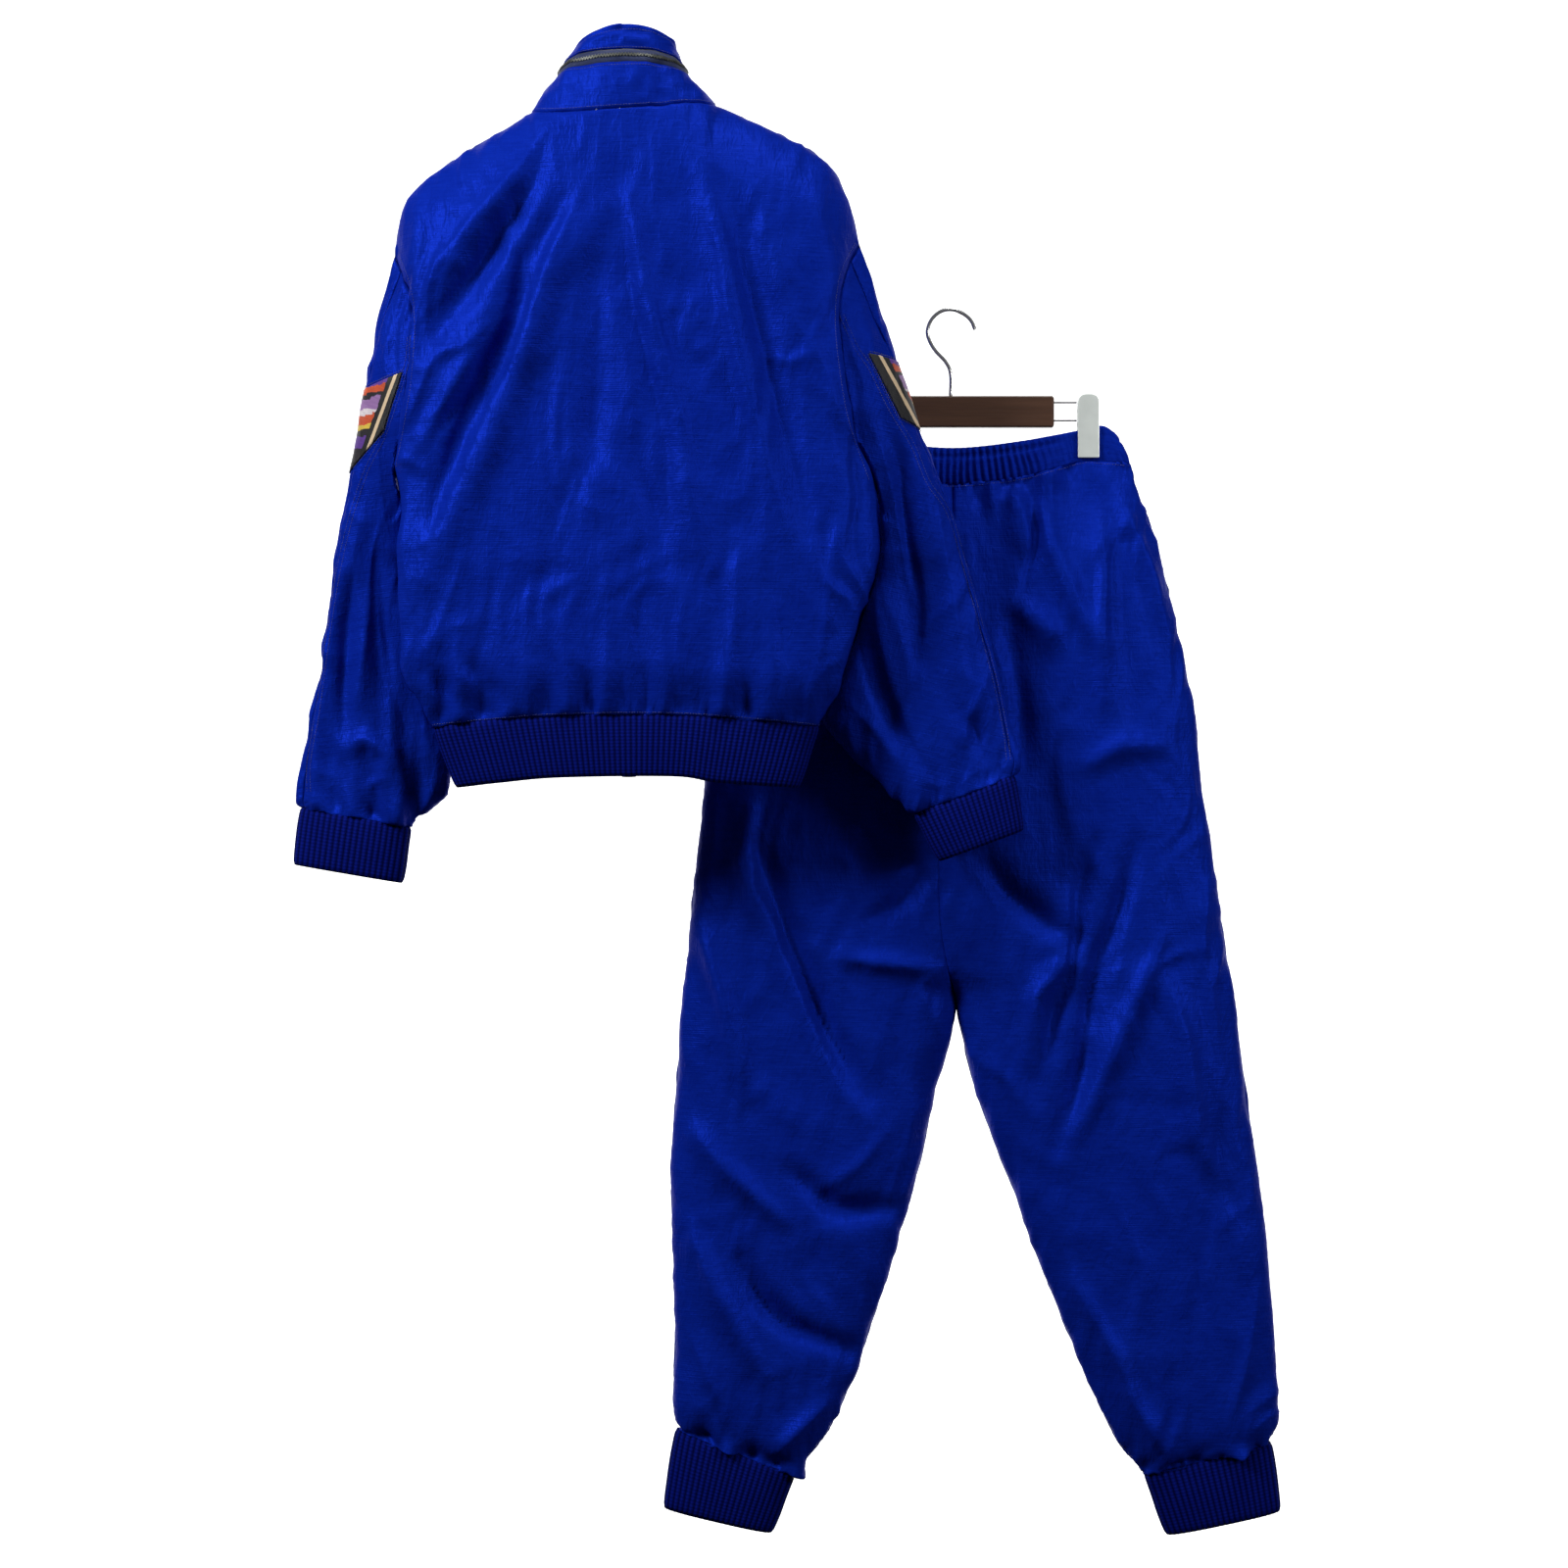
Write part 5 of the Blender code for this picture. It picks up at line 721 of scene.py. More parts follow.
def body_panel(side):
    """The points of the jacket's back, or of its fronts with the zip between them, row by row."""
    is_back = side == "back"
    shares = body_columns()[0 if is_back else 1]
    armholes = ((ARMHOLE_BACK_LEFT, ARMHOLE_BACK_RIGHT) if is_back
                else (ARMHOLE_FRONT_LEFT, ARMHOLE_FRONT_RIGHT))
    left, right = (np.vstack([curve_points(seam, even(SIDE_CELLS)),
                              curve_points(armhole, armhole_shares())[1:]])
                   for seam, armhole in zip((SIDE_LEFT, SIDE_RIGHT), armholes))
    shoulder_left = curve_points(SHOULDER_LEFT, even(SHOULDER_CELLS))[::-1]
    shoulder_right = curve_points(SHOULDER_RIGHT, even(SHOULDER_CELLS))
    neck_shares = even(NECK_BACK_CELLS) if is_back else neck_front_shares(NECK_WIDTH)
    neck = curve_points(NECK_BACK if is_back else NECK_FRONT, neck_shares)
    neck_middle = NECK_BACK_Y if is_back else NECK_FRONT_Y
    neck_y = SHOULDER_Y + (neck_middle - SHOULDER_Y) * bulge(neck_shares, NECK_POWER)
    top = np.vstack([shoulder_left, neck[1:-1], shoulder_right])
    level = np.full(len(shoulder_left), SHOULDER_Y)
    top_y = np.concatenate([level, neck_y[1:-1], level])
    bottom = curve_points(HEM_SEAM, shares)
    plan = coons(bottom, top, left, right, shares, body_heights())
    bottom_middle, top_middle = (np.interp(0.5, shares, row[:, 0]) for row in (bottom, top))
    for v, flat in zip(body_heights(), plan):
        straight = bottom_middle + (top_middle - bottom_middle) * v
        flat[:, 0] += (straight - np.interp(0.5, shares, flat[:, 0])) * bulge(shares, 2) * (0 < v < 1)
    rows = []
    for v, flat in zip(body_heights(), plan):
        depth = smooth_table(BODY_DEPTHS, side, [v])[0]
        edge = smooth_table(BODY_DEPTHS, "edge_" + side, [v])[0]
        section = edge + (depth - edge) * bulge(shares)
        drop = np.linalg.norm(plan[-1] - flat, axis=1)
        rounding = np.sqrt(1 - (1 - np.clip(drop / SHOULDER_ROUNDING, 0, 1)) ** 2)
        y = top_y + (section - top_y) * rounding
        relief = fold_relief(flat, JACKET_FOLDS, side)
        neck_fade = np.clip((drop - NECK_CLEAR) / NECK_FADE, 0, 1)
        relief *= min(1.0, v / HEM_FADE) * neck_fade * np.clip(8 * bulge(shares, 2) - 1.5, 0, 1)
        away = np.linalg.norm(flat - plan[0], axis=1)
        rows.append((np.column_stack([flat[:, 0], y + relief * (-1 if is_back else 1), flat[:, 1]]),
                     flat[:, 0], away))
    return rows


class Cloth:
    """A garment's whole outer surface, whose cells are named by piece."""

    def __init__(self):
        self.points = []
        self.along = []
        self.away = []
        self.cells = {}

    def add_points(self, points, along=None, away=None):
        """Adds points, with how far along a gathered seam and how far away from it they lie."""
        start = len(self.points)
        self.points.extend(points)
        self.along.extend(np.zeros(len(points)) if along is None else along)
        self.away.extend(np.full(len(points), UNGATHERED) if away is None else away)
        return list(range(start, len(self.points)))

    def add_grid(self, rows, piece_at, turned=False):
        """Adds the cells between rows of point numbers; piece_at(row, column) names each cell."""
        for r in range(len(rows) - 1):
            low, high = rows[r], rows[r + 1]
            for c in range(len(low) - 1):
                corners = (low[c], low[c + 1], high[c + 1], high[c])
                self.cells.setdefault(piece_at(r, c), []).append(corners[::-1] if turned else corners)

    def settle(self):
        """Works out each point's normal."""
        self.points = np.array(self.points, float)
        self.along = np.array(self.along)
        self.away = np.array(self.away)
        self.find_normals()

    def find_normals(self):
        """Each point's normal, from the cells round it."""
        cells = np.vstack(list(self.cells.values()))
        a, b, c, d = (self.points[cells[:, k]] for k in range(4))
        cross = np.cross(c - a, d - b)
        self.normals = np.zeros_like(self.points)
        for k in range(4):
            np.add.at(self.normals, cells[:, k], cross)
        self.normals /= np.maximum(np.linalg.norm(self.normals, axis=1), 1e-9)[:, None]

    def raise_by(self, relief):
        """Moves every point out along its normal."""
        self.points += self.normals * relief[:, None]
        self.find_normals()

    def tree(self):
        """The cloth for casting rays on."""
        cells = [cell for group in self.cells.values() for cell in group]
        return BVHTree.FromPolygons([tuple(point) for point in self.points], cells)

    def border_of(self, cells):
        """The edges round a piece, each with the middle of its cell."""
        first = cells[:, [0, 1, 2, 3]].ravel()
        second = cells[:, [1, 2, 3, 0]].ravel()
        size = len(self.points)
        single = ~np.isin(first * size + second, second * size + first)
        middles = np.repeat(self.points[cells].mean(axis=1), 4, axis=0)
        return first[single], second[single], middles[single]

    def piece(self, name, pucker, tuck=0.0, drop=0.0):
        """A piece's points and cells: drawn back and sunk along its seams, where it puckers."""
        cells = np.array(self.cells[name])
        used, faces = np.unique(cells, return_inverse=True)
        faces = faces.reshape(cells.shape)
        points = self.points[used].copy()
        normals = self.normals[used]
        starts, stops, middles = self.border_of(cells)
        place = {number: i for i, number in enumerate(used)}
        inward = np.zeros_like(points)
        following = {}
        for a, b, middle in zip(starts, stops, middles):
            run = self.points[b] - self.points[a]
            run /= np.linalg.norm(run)
            across = middle - self.points[a]
            across -= (across @ run) * run
            across /= np.linalg.norm(across)
            inward[place[a]] += across
            inward[place[b]] += across
            following[a] = b
        edge = {}
        while following:
            number = next(iter(following))
            length = 0.0
            while number in following:
                edge[number] = length
                ahead = following.pop(number)
                length += np.linalg.norm(self.points[ahead] - self.points[number])
                number = ahead
        kd = KDTree(len(edge))
        for number, length in edge.items():
            kd.insert(self.points[number], place[number])
        kd.balance()
        length_at = {place[number]: length for number, length in edge.items()}
        depth = np.zeros(len(points))
        along = np.zeros(len(points))
        for i, point in enumerate(points):
            (_, near, gap), (_, other, other_gap) = kd.find_n(point, 2)
            depth[i] = gap
            if abs(length_at[near] - length_at[other]) < PUCKER_REACH:
                share = gap / max(gap + other_gap, 1e-6)
                along[i] = length_at[near] * (1 - share) + length_at[other] * share
            else:
                along[i] = length_at[near]
        size = np.linalg.norm(inward, axis=1)
        on_edge = size > 0
        inward[on_edge] /= np.maximum(size[on_edge], 1.0)[:, None]
        relief = -SEAM_SINK * np.exp(-(depth / SEAM_WIDTH) ** 2)
        close = depth < PUCKER_REACH
        waves = ridged(noise_at(np.column_stack([along[close] / PUCKER_PITCH, depth[close] / 22,
                                                 along[close] * 0]), 3.3))
        relief[close] += pucker * waves * np.exp(-depth[close] / PUCKER_FADE) * np.tanh(depth[close] / 2)
        relief -= drop * np.exp(-(depth / 2) ** 2)
        points += normals * relief[:, None] + inward * (SEAM_GAP / 2 - tuck)
        return points, faces


def collar_point_rows(base):
    """Rows of points of the collar above its base ring, whose plan they follow."""
    is_back = base[:, 1] < SHOULDER_Y
    foot = COLLAR_RINGS[0]
    across = (base[:, 0] - foot.left_x) / (foot.right_x - foot.left_x)
    height = (base[:, 1] - SHOULDER_Y) / (np.where(is_back, NECK_BACK_Y, NECK_FRONT_Y) - SHOULDER_Y)
    lift = np.clip(height, 0, 1) ** COLLAR_LIFT_POWER
    rings = [base]
    for ring in COLLAR_RINGS[1:]:
        x = ring.left_x + (ring.right_x - ring.left_x) * across
        z = ring.left_z + (ring.right_z - ring.left_z) * across
        z = z + np.where(is_back, ring.rise_back, ring.rise_front) * lift
        y = SHOULDER_Y + (np.where(is_back, ring.back, ring.front) - SHOULDER_Y) * height
        rings.append(np.column_stack([x, y, z]))
    rows = [base]
    for low, high, cells in zip(rings[:-1], rings[1:], COLLAR_CELLS):
        rows.extend(low + (high - low) * t for t in even(cells)[1:])
    return rows


def build_jacket():
    """The jacket's cloth as one surface, cut into its pieces."""
    cloth = Cloth()
    back = [cloth.add_points(*row) for row in body_panel("back")]
    front_rows = body_panel("front")
    front = []
    for k, (points, along, away) in enumerate(front_rows):
        numbers = cloth.add_points(points[1:-1], along[1:-1], away[1:-1])
        if k <= SIDE_CELLS:
            numbers = [back[k][0]] + numbers + [back[k][-1]]
        elif k < len(front_rows) - 1:
            ends = cloth.add_points(points[[0, -1]])
            numbers = [ends[0]] + numbers + [ends[1]]
        else:
            inner = numbers[SHOULDER_CELLS:len(numbers) - SHOULDER_CELLS]
            numbers = back[k][:SHOULDER_CELLS + 1] + inner + back[k][-SHOULDER_CELLS - 1:]
        front.append(numbers)
    zip_cell = SHOULDER_CELLS + NECK_FRONT_CELLS
    columns = 2 * zip_cell + ZIP_CELLS

    def front_piece(row, column):
        if zip_cell <= column < zip_cell + ZIP_CELLS:
            return "front_zip"
        return "jacket_front_left" if column < zip_cell else "jacket_front_right"

    cloth.add_grid(back, lambda r, c: "jacket_back")
    cloth.add_grid(front, front_piece, turned=True)

    # The zip goes on down through the hem rib
    hem = hem_edge(np.array([0.75]))[0]
    tape = front[0][zip_cell:zip_cell + ZIP_CELLS + 1]
    top = np.array([cloth.points[i] for i in tape])
    foot = hem + np.column_stack([np.linspace(-0.5, 0.5, ZIP_CELLS + 1) * TAPE_WIDTH,
                                  np.zeros((ZIP_CELLS + 1, 2))])
    foot_rows = [cloth.add_points(foot + (top - foot) * t) for t in even(FOOT_CELLS)[:-1]]
    cloth.add_grid(foot_rows + [tape], lambda r, c: "front_zip", turned=True)

    # Collar, on the ring of neck points
    neck_back = back[-1][SHOULDER_CELLS:SHOULDER_CELLS + NECK_BACK_CELLS + 1]
    neck_front = front[-1][SHOULDER_CELLS + 1:columns - SHOULDER_CELLS]
    neck = neck_back + neck_front[::-1] + neck_back[:1]
    rings = [neck]
    for row in collar_point_rows(np.array([cloth.points[i] for i in neck]))[1:]:
        numbers = cloth.add_points(row[:-1])
        rings.append(numbers + numbers[:1])
    zip_column = NECK_BACK_CELLS + NECK_FRONT_CELLS
    lower = COLLAR_CELLS[0]
    upper = lower + COLLAR_CELLS[1]

    def collar_piece(row, column):
        if zip_column <= column < zip_column + ZIP_CELLS:
            return "front_zip"
        if row < lower:
            return "collar_lower"
        near_back = column < NECK_BACK_CELLS + ZIP_TURN_CELLS or column >= len(neck) - 1 - ZIP_TURN_CELLS
        return "collar_zip" if row < upper and near_back else "collar_upper"

    cloth.add_grid(rings, collar_piece)
    middle = zip_cell + ZIP_CELLS // 2
    cloth.front_line = ([row[ZIP_CELLS // 2] for row in foot_rows] + [row[middle] for row in front]
                        + [ring[zip_column + ZIP_CELLS // 2] for ring in rings[1:]])
    ring = rings[(lower + upper) // 2]
    turn = ZIP_TURN_CELLS
    cloth.collar_line = ring[len(ring) - 1 - turn:-1] + ring[:NECK_BACK_CELLS + turn + 1]
    cloth.collar_rings = rings

    cloth.sleeve_rows = {}
    for side, sections, edge in (("left", SLEEVE_LEFT, 0), ("right", SLEEVE_RIGHT, -1)):
        near = [back[k][edge] for k in range(len(back) - 1, SIDE_CELLS - 1, -1)]
        far = [front[k][edge] for k in range(SIDE_CELLS + 1, len(front))]
        cloth.sleeve_rows[side] = build_sleeve(cloth, side, sections, near + far, turned=side == "left")
    cloth.settle()
    return cloth


def build_sleeve(cloth, side, sections, armhole, turned):
    """One sleeve in two pieces, whose outer seam lies a little to the back of its edge."""
    turns = np.linspace(0, 1, len(armhole))
    angle = 2 * np.pi * turns
    loop = np.array([cloth.points[i] for i in armhole])
    rows = [armhole]
    table = blend_sections(sections, SLEEVE_CELLS)
    start = section_ring(table[0], turns)
    last = section_ring(table[-1], turns)
    for k, section in enumerate(table[1:], 1):
        share = k / SLEEVE_CELLS
        ring = section_ring(section, turns)
        ring = ring + (loop - start) * max(0.0, 1 - SLEEVE_BLEND * share) ** 2
        fade = min(1.0, share * SLEEVE_END_FADE) * min(1.0, (1 - share) * SLEEVE_END_FADE)
        for side_name, direction in (("back", -1), ("front", 1)):
            facing = np.clip(np.sin(angle) * -direction, 0, 1)
            ring[:, 1] += direction * fold_relief(ring[:, [0, 2]], SLEEVE_FOLDS, side_name) * fade * facing
        away = np.linalg.norm(ring - last, axis=1)
        numbers = cloth.add_points(ring[:-1], ring[:-1, 0], away[:-1])
        rows.append(numbers + numbers[:1])
    seam = round(ARMHOLE_CELLS / 8)

    def piece(row, column):
        return f"sleeve_{side}_back" if seam <= column < ARMHOLE_CELLS else f"sleeve_{side}_front"

    cloth.add_grid(rows, piece, turned=turned)
    return rows


def build_trousers():
    """The trousers' cloth as one surface, cut into its four panels."""
    cloth = Cloth()
    tables = {"left": blend_sections(LEG_LEFT, LEG_CELLS), "right": blend_sections(LEG_RIGHT, LEG_CELLS)}
    crotch = next(k for k, row in enumerate(tables["left"]) if row.turn > 0.985)
    grids = {side: [leg_row(row, k) for k, row in enumerate(table)] for side, table in tables.items()}
    for k in range(crotch + 1):
        for arc in ("back", "front"):
            middle = (grids["left"][k][arc][-1] + grids["right"][k][arc][-1]) / 2
            grids["left"][k][arc][-1] = middle
            grids["right"][k][arc][-1] = middle
    shared = {}
    for side in ("left", "right"):
        back_rows = []
        front_rows = []
        for k, row in enumerate(grids[side]):
            share = k / LEG_CELLS
            away = min(share, 1 - share) * LEG_LENGTH
            sides = {arc: (points, points[:, 0], np.full(len(points), away)) for arc, points in row.items()}
            back = cloth.add_points(*(column[:-1] for column in sides["back"]))
            front = cloth.add_points(*(column[1:-1] for column in sides["front"]))
            if k <= crotch:
                if (k, "back") not in shared:
                    for arc in ("back", "front"):
                        shared[k, arc] = cloth.add_points(*(column[-1:] for column in sides[arc]))[0]
                inner_back, inner_front = shared[k, "back"], shared[k, "front"]
                if k == crotch:
                    inner_front = inner_back
            else:
                inner_back = inner_front = cloth.add_points(*(column[-1:] for column in sides["back"]))[0]
            back_rows.append(back + [inner_back])
            front_rows.append([back[0]] + front + [inner_front])
        turned = side == "left"
        cloth.add_grid(back_rows, lambda r, c: f"trouser_back_{side}", turned=turned)
        cloth.add_grid(front_rows, lambda r, c: f"trouser_front_{side}", turned=not turned)
    cloth.settle()
    return cloth


def pinch(x, z):
    """Share of the depth that the clips leave at x, z."""
    near = np.exp(-((np.abs(x) - CLIP_X) / PINCH_REACH) ** 4)
    fade = np.clip((z - PINCH_FADE_Z) / (CLIP_FOOT_Z - 5 - PINCH_FADE_Z), 0, 1)
    return 1 - (1 - PINCH_SHARE) * near * fade


def leg_row(section, row):
    """One row of a leg's back and front points, from its side seam to its inner seam."""
    arcs = {}
    top = LEG_LEFT[0]
    for arc, cells, depth in (("back", LEG_BACK_CELLS, section.back),
                              ("front", LEG_FRONT_CELLS, section.front)):
        angle = np.pi * even(cells) * section.turn
        share = (1 - np.cos(angle)) / 2
        share /= share[-1]
        x = section.outer_x + (section.inner_x - section.outer_x) * share
        z = section.outer_z + (section.inner_z - section.outer_z) * share
        straight = top.outer_z + (top.inner_z - top.outer_z) * share
        seam = np.interp(x, WAIST_LINE[:, 0], WAIST_LINE[:, 1])
        z = z + (seam - straight) * math.exp((section.outer_z - top.outer_z) / WAIST_SEAM_FADE)
        arch = bulge((1 - np.cos(angle)) / 2)
        y = depth * arch * pinch(x, z)
        near = min(1.0, LEG_END_FADE * row / LEG_CELLS) * min(1.0, LEG_END_FADE * (1 - row / LEG_CELLS))
        relief = fold_relief(np.column_stack([x, z]), TROUSER_FOLDS, arc)
        relief *= near * np.clip(2.2 * arch - 0.4, 0, 1)
        arcs[arc] = np.column_stack([x, y + (-1 if arc == "back" else 1) * relief, z])
    return arcs


def flat_ring(outline, turns):
    """Ring points x, z (turn 0 is the left edge, 0.25 the back), which are at the back, and shares."""
    turns = np.asarray(turns) % 1.0
    share = np.where(turns <= 0.5, 2 * turns, 2 - 2 * turns)
    share = (1 - np.cos(np.pi * share)) / 2
    return curve_points(outline, share), turns <= 0.5, share


def hem_ring(outline, turns, back, front, edge_y):
    """A ring of the jacket's hem, whose back and front bulge from its edges."""
    flat, is_back, share = flat_ring(outline, turns)
    y = edge_y + (np.where(is_back, back, front) - edge_y) * bulge(share)
    return np.column_stack([flat[:, 0], y, flat[:, 1]])


def hem_seam(turns):
    """The hem rib's sewn edge, a little way up inside the body."""
    row = BODY_DEPTHS[0]
    return hem_ring(HEM_SEAM, turns, row.back, row.front, row.edge_back) + (0, 0, RIB_TUCK)


def hem_edge(turns):
    """The hem rib's free edge, drawn in a little."""
    row = BODY_DEPTHS[0]
    return hem_ring(HEM_EDGE, turns, row.back + HEM_DRAWN[0], row.front - HEM_DRAWN[1], row.edge_back)


def waist_ring(outline, drop, turns):
    """A ring of the waistband, pinched by the clips."""
    flat, is_back, share = flat_ring(outline, turns)
    y = np.where(is_back, -1, 1) * WAIST_DEPTH * bulge(share) * pinch(flat[:, 0], flat[:, 1])
    return np.column_stack([flat[:, 0], y, flat[:, 1] + drop])


def circle_noise(turns, cells, height, seed):
    """Noise that closes up round a band, with about that many cells in it."""
    radius = cells / (2 * math.pi)
    angle = 2 * math.pi * np.asarray(turns)
    points = np.column_stack([radius * np.cos(angle), radius * np.sin(angle), np.full(len(angle), height)])
    return noise_at(points, seed)


def band(top_at, bottom_at, ribs, relief_of, start=0.0, stop=1.0, held=None):
    """A fine band between two edges given as functions of the turn: points, faces, cut places, crests.

    relief_of(phase, height, turns) gives how far each point stands out; height is 0 at the top.
    """
    closed = stop - start == 1.0
    count = ribs * RIB_STEPS
    dense = np.linspace(start, stop, 2001)
    length = np.concatenate([[0], np.cumsum(np.linalg.norm(np.diff(top_at(dense), axis=0), axis=1))])
    turns = np.interp(even(count), length / length[-1], dense)
    top, bottom = top_at(turns), bottom_at(turns)
    tangent = np.gradient(top, axis=0)
    if closed:
        tangent[0] = tangent[-1] = tangent[0] + tangent[-1]
    normal = np.cross(tangent, top - bottom)
    normal /= np.linalg.norm(normal, axis=1)[:, None]
    if np.sum(normal * (top - top.mean(axis=0))) < 0:
        normal = -normal
    width = count if closed else count + 1
    phase = (np.arange(count + 1) / RIB_STEPS)[:width]
    turns, top, bottom, normal = turns[:width], top[:width], bottom[:width], normal[:width]
    rows = []
    crests = []
    for height in even(BAND_ROWS):
        relief, crest = relief_of(phase, height, turns)
        line = top + (bottom - top) * height
        if held is not None:
            relief = relief * held(line)
        rows.append(line + normal * relief[:, None])
        crests.append(crest)
    points = np.vstack(rows)
    faces = [(r * width + c, r * width + (c + 1) % width, (r + 1) * width + (c + 1) % width,
              (r + 1) * width + c) for r in range(BAND_ROWS) for c in range(count)]
    a, b, c = points[list(faces[0][:3])]
    if np.cross(b - a, c - a) @ normal[0] < 0:
        faces = [face[::-1] for face in faces]
    across = np.tile(length[-1] * even(count)[:width], BAND_ROWS + 1)
    down = np.repeat(even(BAND_ROWS) * np.linalg.norm(top - bottom, axis=1).mean(), width)
    return points, faces, np.column_stack([across, down]), np.concatenate(crests)


def knit_relief(phase, height, turn):
    """Rounded ribs that stand out less where the band is sewn on and roll in at its free edge."""
    crest = (0.5 - 0.5 * np.cos(2 * np.pi * phase)) ** 0.7
    sway = circle_noise(turn, 9, height * 0.8, 4.7)
    roll = -KNIT_ROLL * math.exp(-(1 - height) / KNIT_EDGE) - KNIT_SINK * math.exp(-height / KNIT_EDGE)
    swell = KNIT_SWELL * math.sin(math.pi * height)
    bend = KNIT_BEND * sway * math.sin(math.pi * min(1.0, 1.1 * height + 0.05)) ** 2
    return RIB_RELIEF * crest + bend + roll + swell, crest


def waist_relief(phase, height, turn):
    """Gathers of a casing drawn up by elastic, held down by a row of stitches near its top."""
    irregular = circle_noise(turn, WAIST_GATHERS * 0.4, height * 1.3, 9.1)
    crest = (0.5 - 0.5 * np.cos(2 * np.pi * (phase + 0.35 * irregular))) ** 0.8
    held = 1 - 0.75 * math.exp(-((height - WAIST_STITCH) / 0.06) ** 2)
    swell = WAIST_SWELL * math.sin(math.pi * height)
    swell = swell - 1.0 * math.exp(-height / 0.05) - 1.2 * math.exp(-(1 - height) / 0.06)
    return (WAIST_GATHER + WAIST_UNEVEN * irregular) * crest * held + swell * held - WAIST_SINK, crest


class Paint:
    """A material built of nodes round one Principled shader."""

    def __init__(self, name, **values):
        self.material = bpy.data.materials.new(name)
        self.material.use_nodes = True
        self.tree = self.material.node_tree
        self.shader = self.tree.nodes["Principled BSDF"]
        for socket, value in values.items():
            self.shader.inputs[socket.replace("_", " ")].default_value = value

    def node(self, kind, inputs=None, **settings):
        """A node with its settings, whose inputs are values or other nodes' outputs."""
        made = self.tree.nodes.new("ShaderNode" + kind)
        for key, value in settings.items():
            setattr(made, key, value)
        for key, value in (inputs or {}).items():
            if isinstance(value, bpy.types.NodeSocket):
                self.tree.links.new(value, made.inputs[key])
            else:
                made.inputs[key].default_value = value
        return made

    def math(self, operation, *values):
        return self.node("Math", dict(enumerate(values)), operation=operation).outputs[0]

    def set(self, socket, output):
        self.tree.links.new(output, self.shader.inputs[socket])

    def cut(self):
        """Where a point lies on the cloth before it was hung, in metres."""
        return self.node("Attribute", attribute_name="cut").outputs["Vector"]

    def noise(self, scale, vector, detail=3.0, roughness=0.5, stretch=None):
        if stretch:
            vector = self.node("Mapping", {"Vector": vector, "Scale": stretch}).outputs[0]
        return self.node("TexNoise", {"Vector": vector, "Scale": scale, "Detail": detail,
                                      "Roughness": roughness}).outputs["Fac"]

    def wave(self, axis, scale, vector, distortion=0.0):
        made = self.node("TexWave", {"Vector": vector, "Scale": scale, "Distortion": distortion,
                                     "Detail": 1.0, "Detail Scale": 2.0}, bands_direction=axis)
        return made.outputs["Fac"]

    def mix(self, factor, first, second):
        made = self.node("Mix", {0: factor}, data_type="RGBA")
        for key, value in ((6, first), (7, second)):
            if isinstance(value, bpy.types.NodeSocket):
                self.tree.links.new(value, made.inputs[key])
            else:
                made.inputs[key].default_value = (*value, 1)
        return made.outputs[2]

    def bump(self, layers):
        """Bumps over each other: pairs of a height and the depth in metres that it stands for."""
        normal = None
        for height, depth in layers:
            inputs = {"Height": height, "Strength": 1.0, "Distance": depth}
            if normal is not None:
                inputs["Normal"] = normal
            normal = self.node("Bump", inputs).outputs[0]
        self.set("Normal", normal)


def taffeta_paint(name, colours, roughness=0.42):
    """Satin taffeta: a fine cross rib, slubs in the yarn, small crumples and a blue gloss."""
    paint = Paint(name, Metallic=SHELL_LUSTRE, IOR=1.2, Specular_IOR_Level=0.12,
                  Specular_Tint=SHELL_GLOSS)
    cut = paint.cut()
    slubs = paint.noise(430.0, cut, 3.0, 0.65, (0.10, 1.0, 1.0))
    clouds = paint.noise(26.0, cut, 4.0, 0.6)
    weft = paint.wave("Y", WEFT_PER_METRE, cut, 0.6)
    warp = paint.wave("X", WARP_PER_METRE, cut, 0.4)
    mottle = paint.math("MULTIPLY_ADD", slubs, 0.6, paint.math("MULTIPLY", clouds, 0.4))
    paint.set("Base Color", paint.mix(mottle, *colours))
    paint.set("Roughness", paint.math("MULTIPLY_ADD", clouds, 0.16, roughness - 0.08))
    crumple = paint.noise(75.0, cut, 4.0, 0.55, (1.0, 0.45, 1.0))
    folded = paint.math("ABSOLUTE", paint.math("SUBTRACT", crumple, 0.5))
    creases = paint.noise(42.0, cut, 3.0, 0.7, (1.3, 0.5, 1.0))
    sharp = paint.math("ABSOLUTE", paint.math("SUBTRACT", creases, 0.5))
    sharp = paint.math("POWER", sharp, 0.6)
    paint.bump([(folded, -0.0014), (sharp, -0.0012), (slubs, 0.0004), (weft, 0.00006), (warp, 0.00004)])
    return paint.material


def knit_paint(name, dark, light):
    """Rib knit: small V stitches up each rib, with painted shade that darkens the valleys between the ribs.
    """
    paint = Paint(name, Roughness=0.8, Specular_IOR_Level=0.15, Specular_Tint=SHELL_GLOSS)
    cut = paint.cut()
    rib = paint.node("Attribute", attribute_name="rib").outputs["Fac"]
    stitch = paint.wave("Y", STITCHES_PER_METRE, cut, 0.8)
    fuzz = paint.noise(1500.0, cut, 2.0)
    # Painted shade: the colour goes from the light knit colour on each rib's crest to the dark one in the
    # valley beside it; the stitch rows and the fuzz vary the tone further
    rib_shade_and_knit_tone = paint.math("MULTIPLY", rib, paint.math("MULTIPLY_ADD", stitch, 0.35, 0.65))
    rib_shade_and_knit_tone = paint.math("MULTIPLY", rib_shade_and_knit_tone, paint.math("MULTIPLY_ADD", fuzz, 0.4, 0.75))
    paint.set("Base Color", paint.mix(rib_shade_and_knit_tone, dark, light))
    paint.bump([(stitch, 0.0002), (fuzz, 0.00012)])
    return paint.material


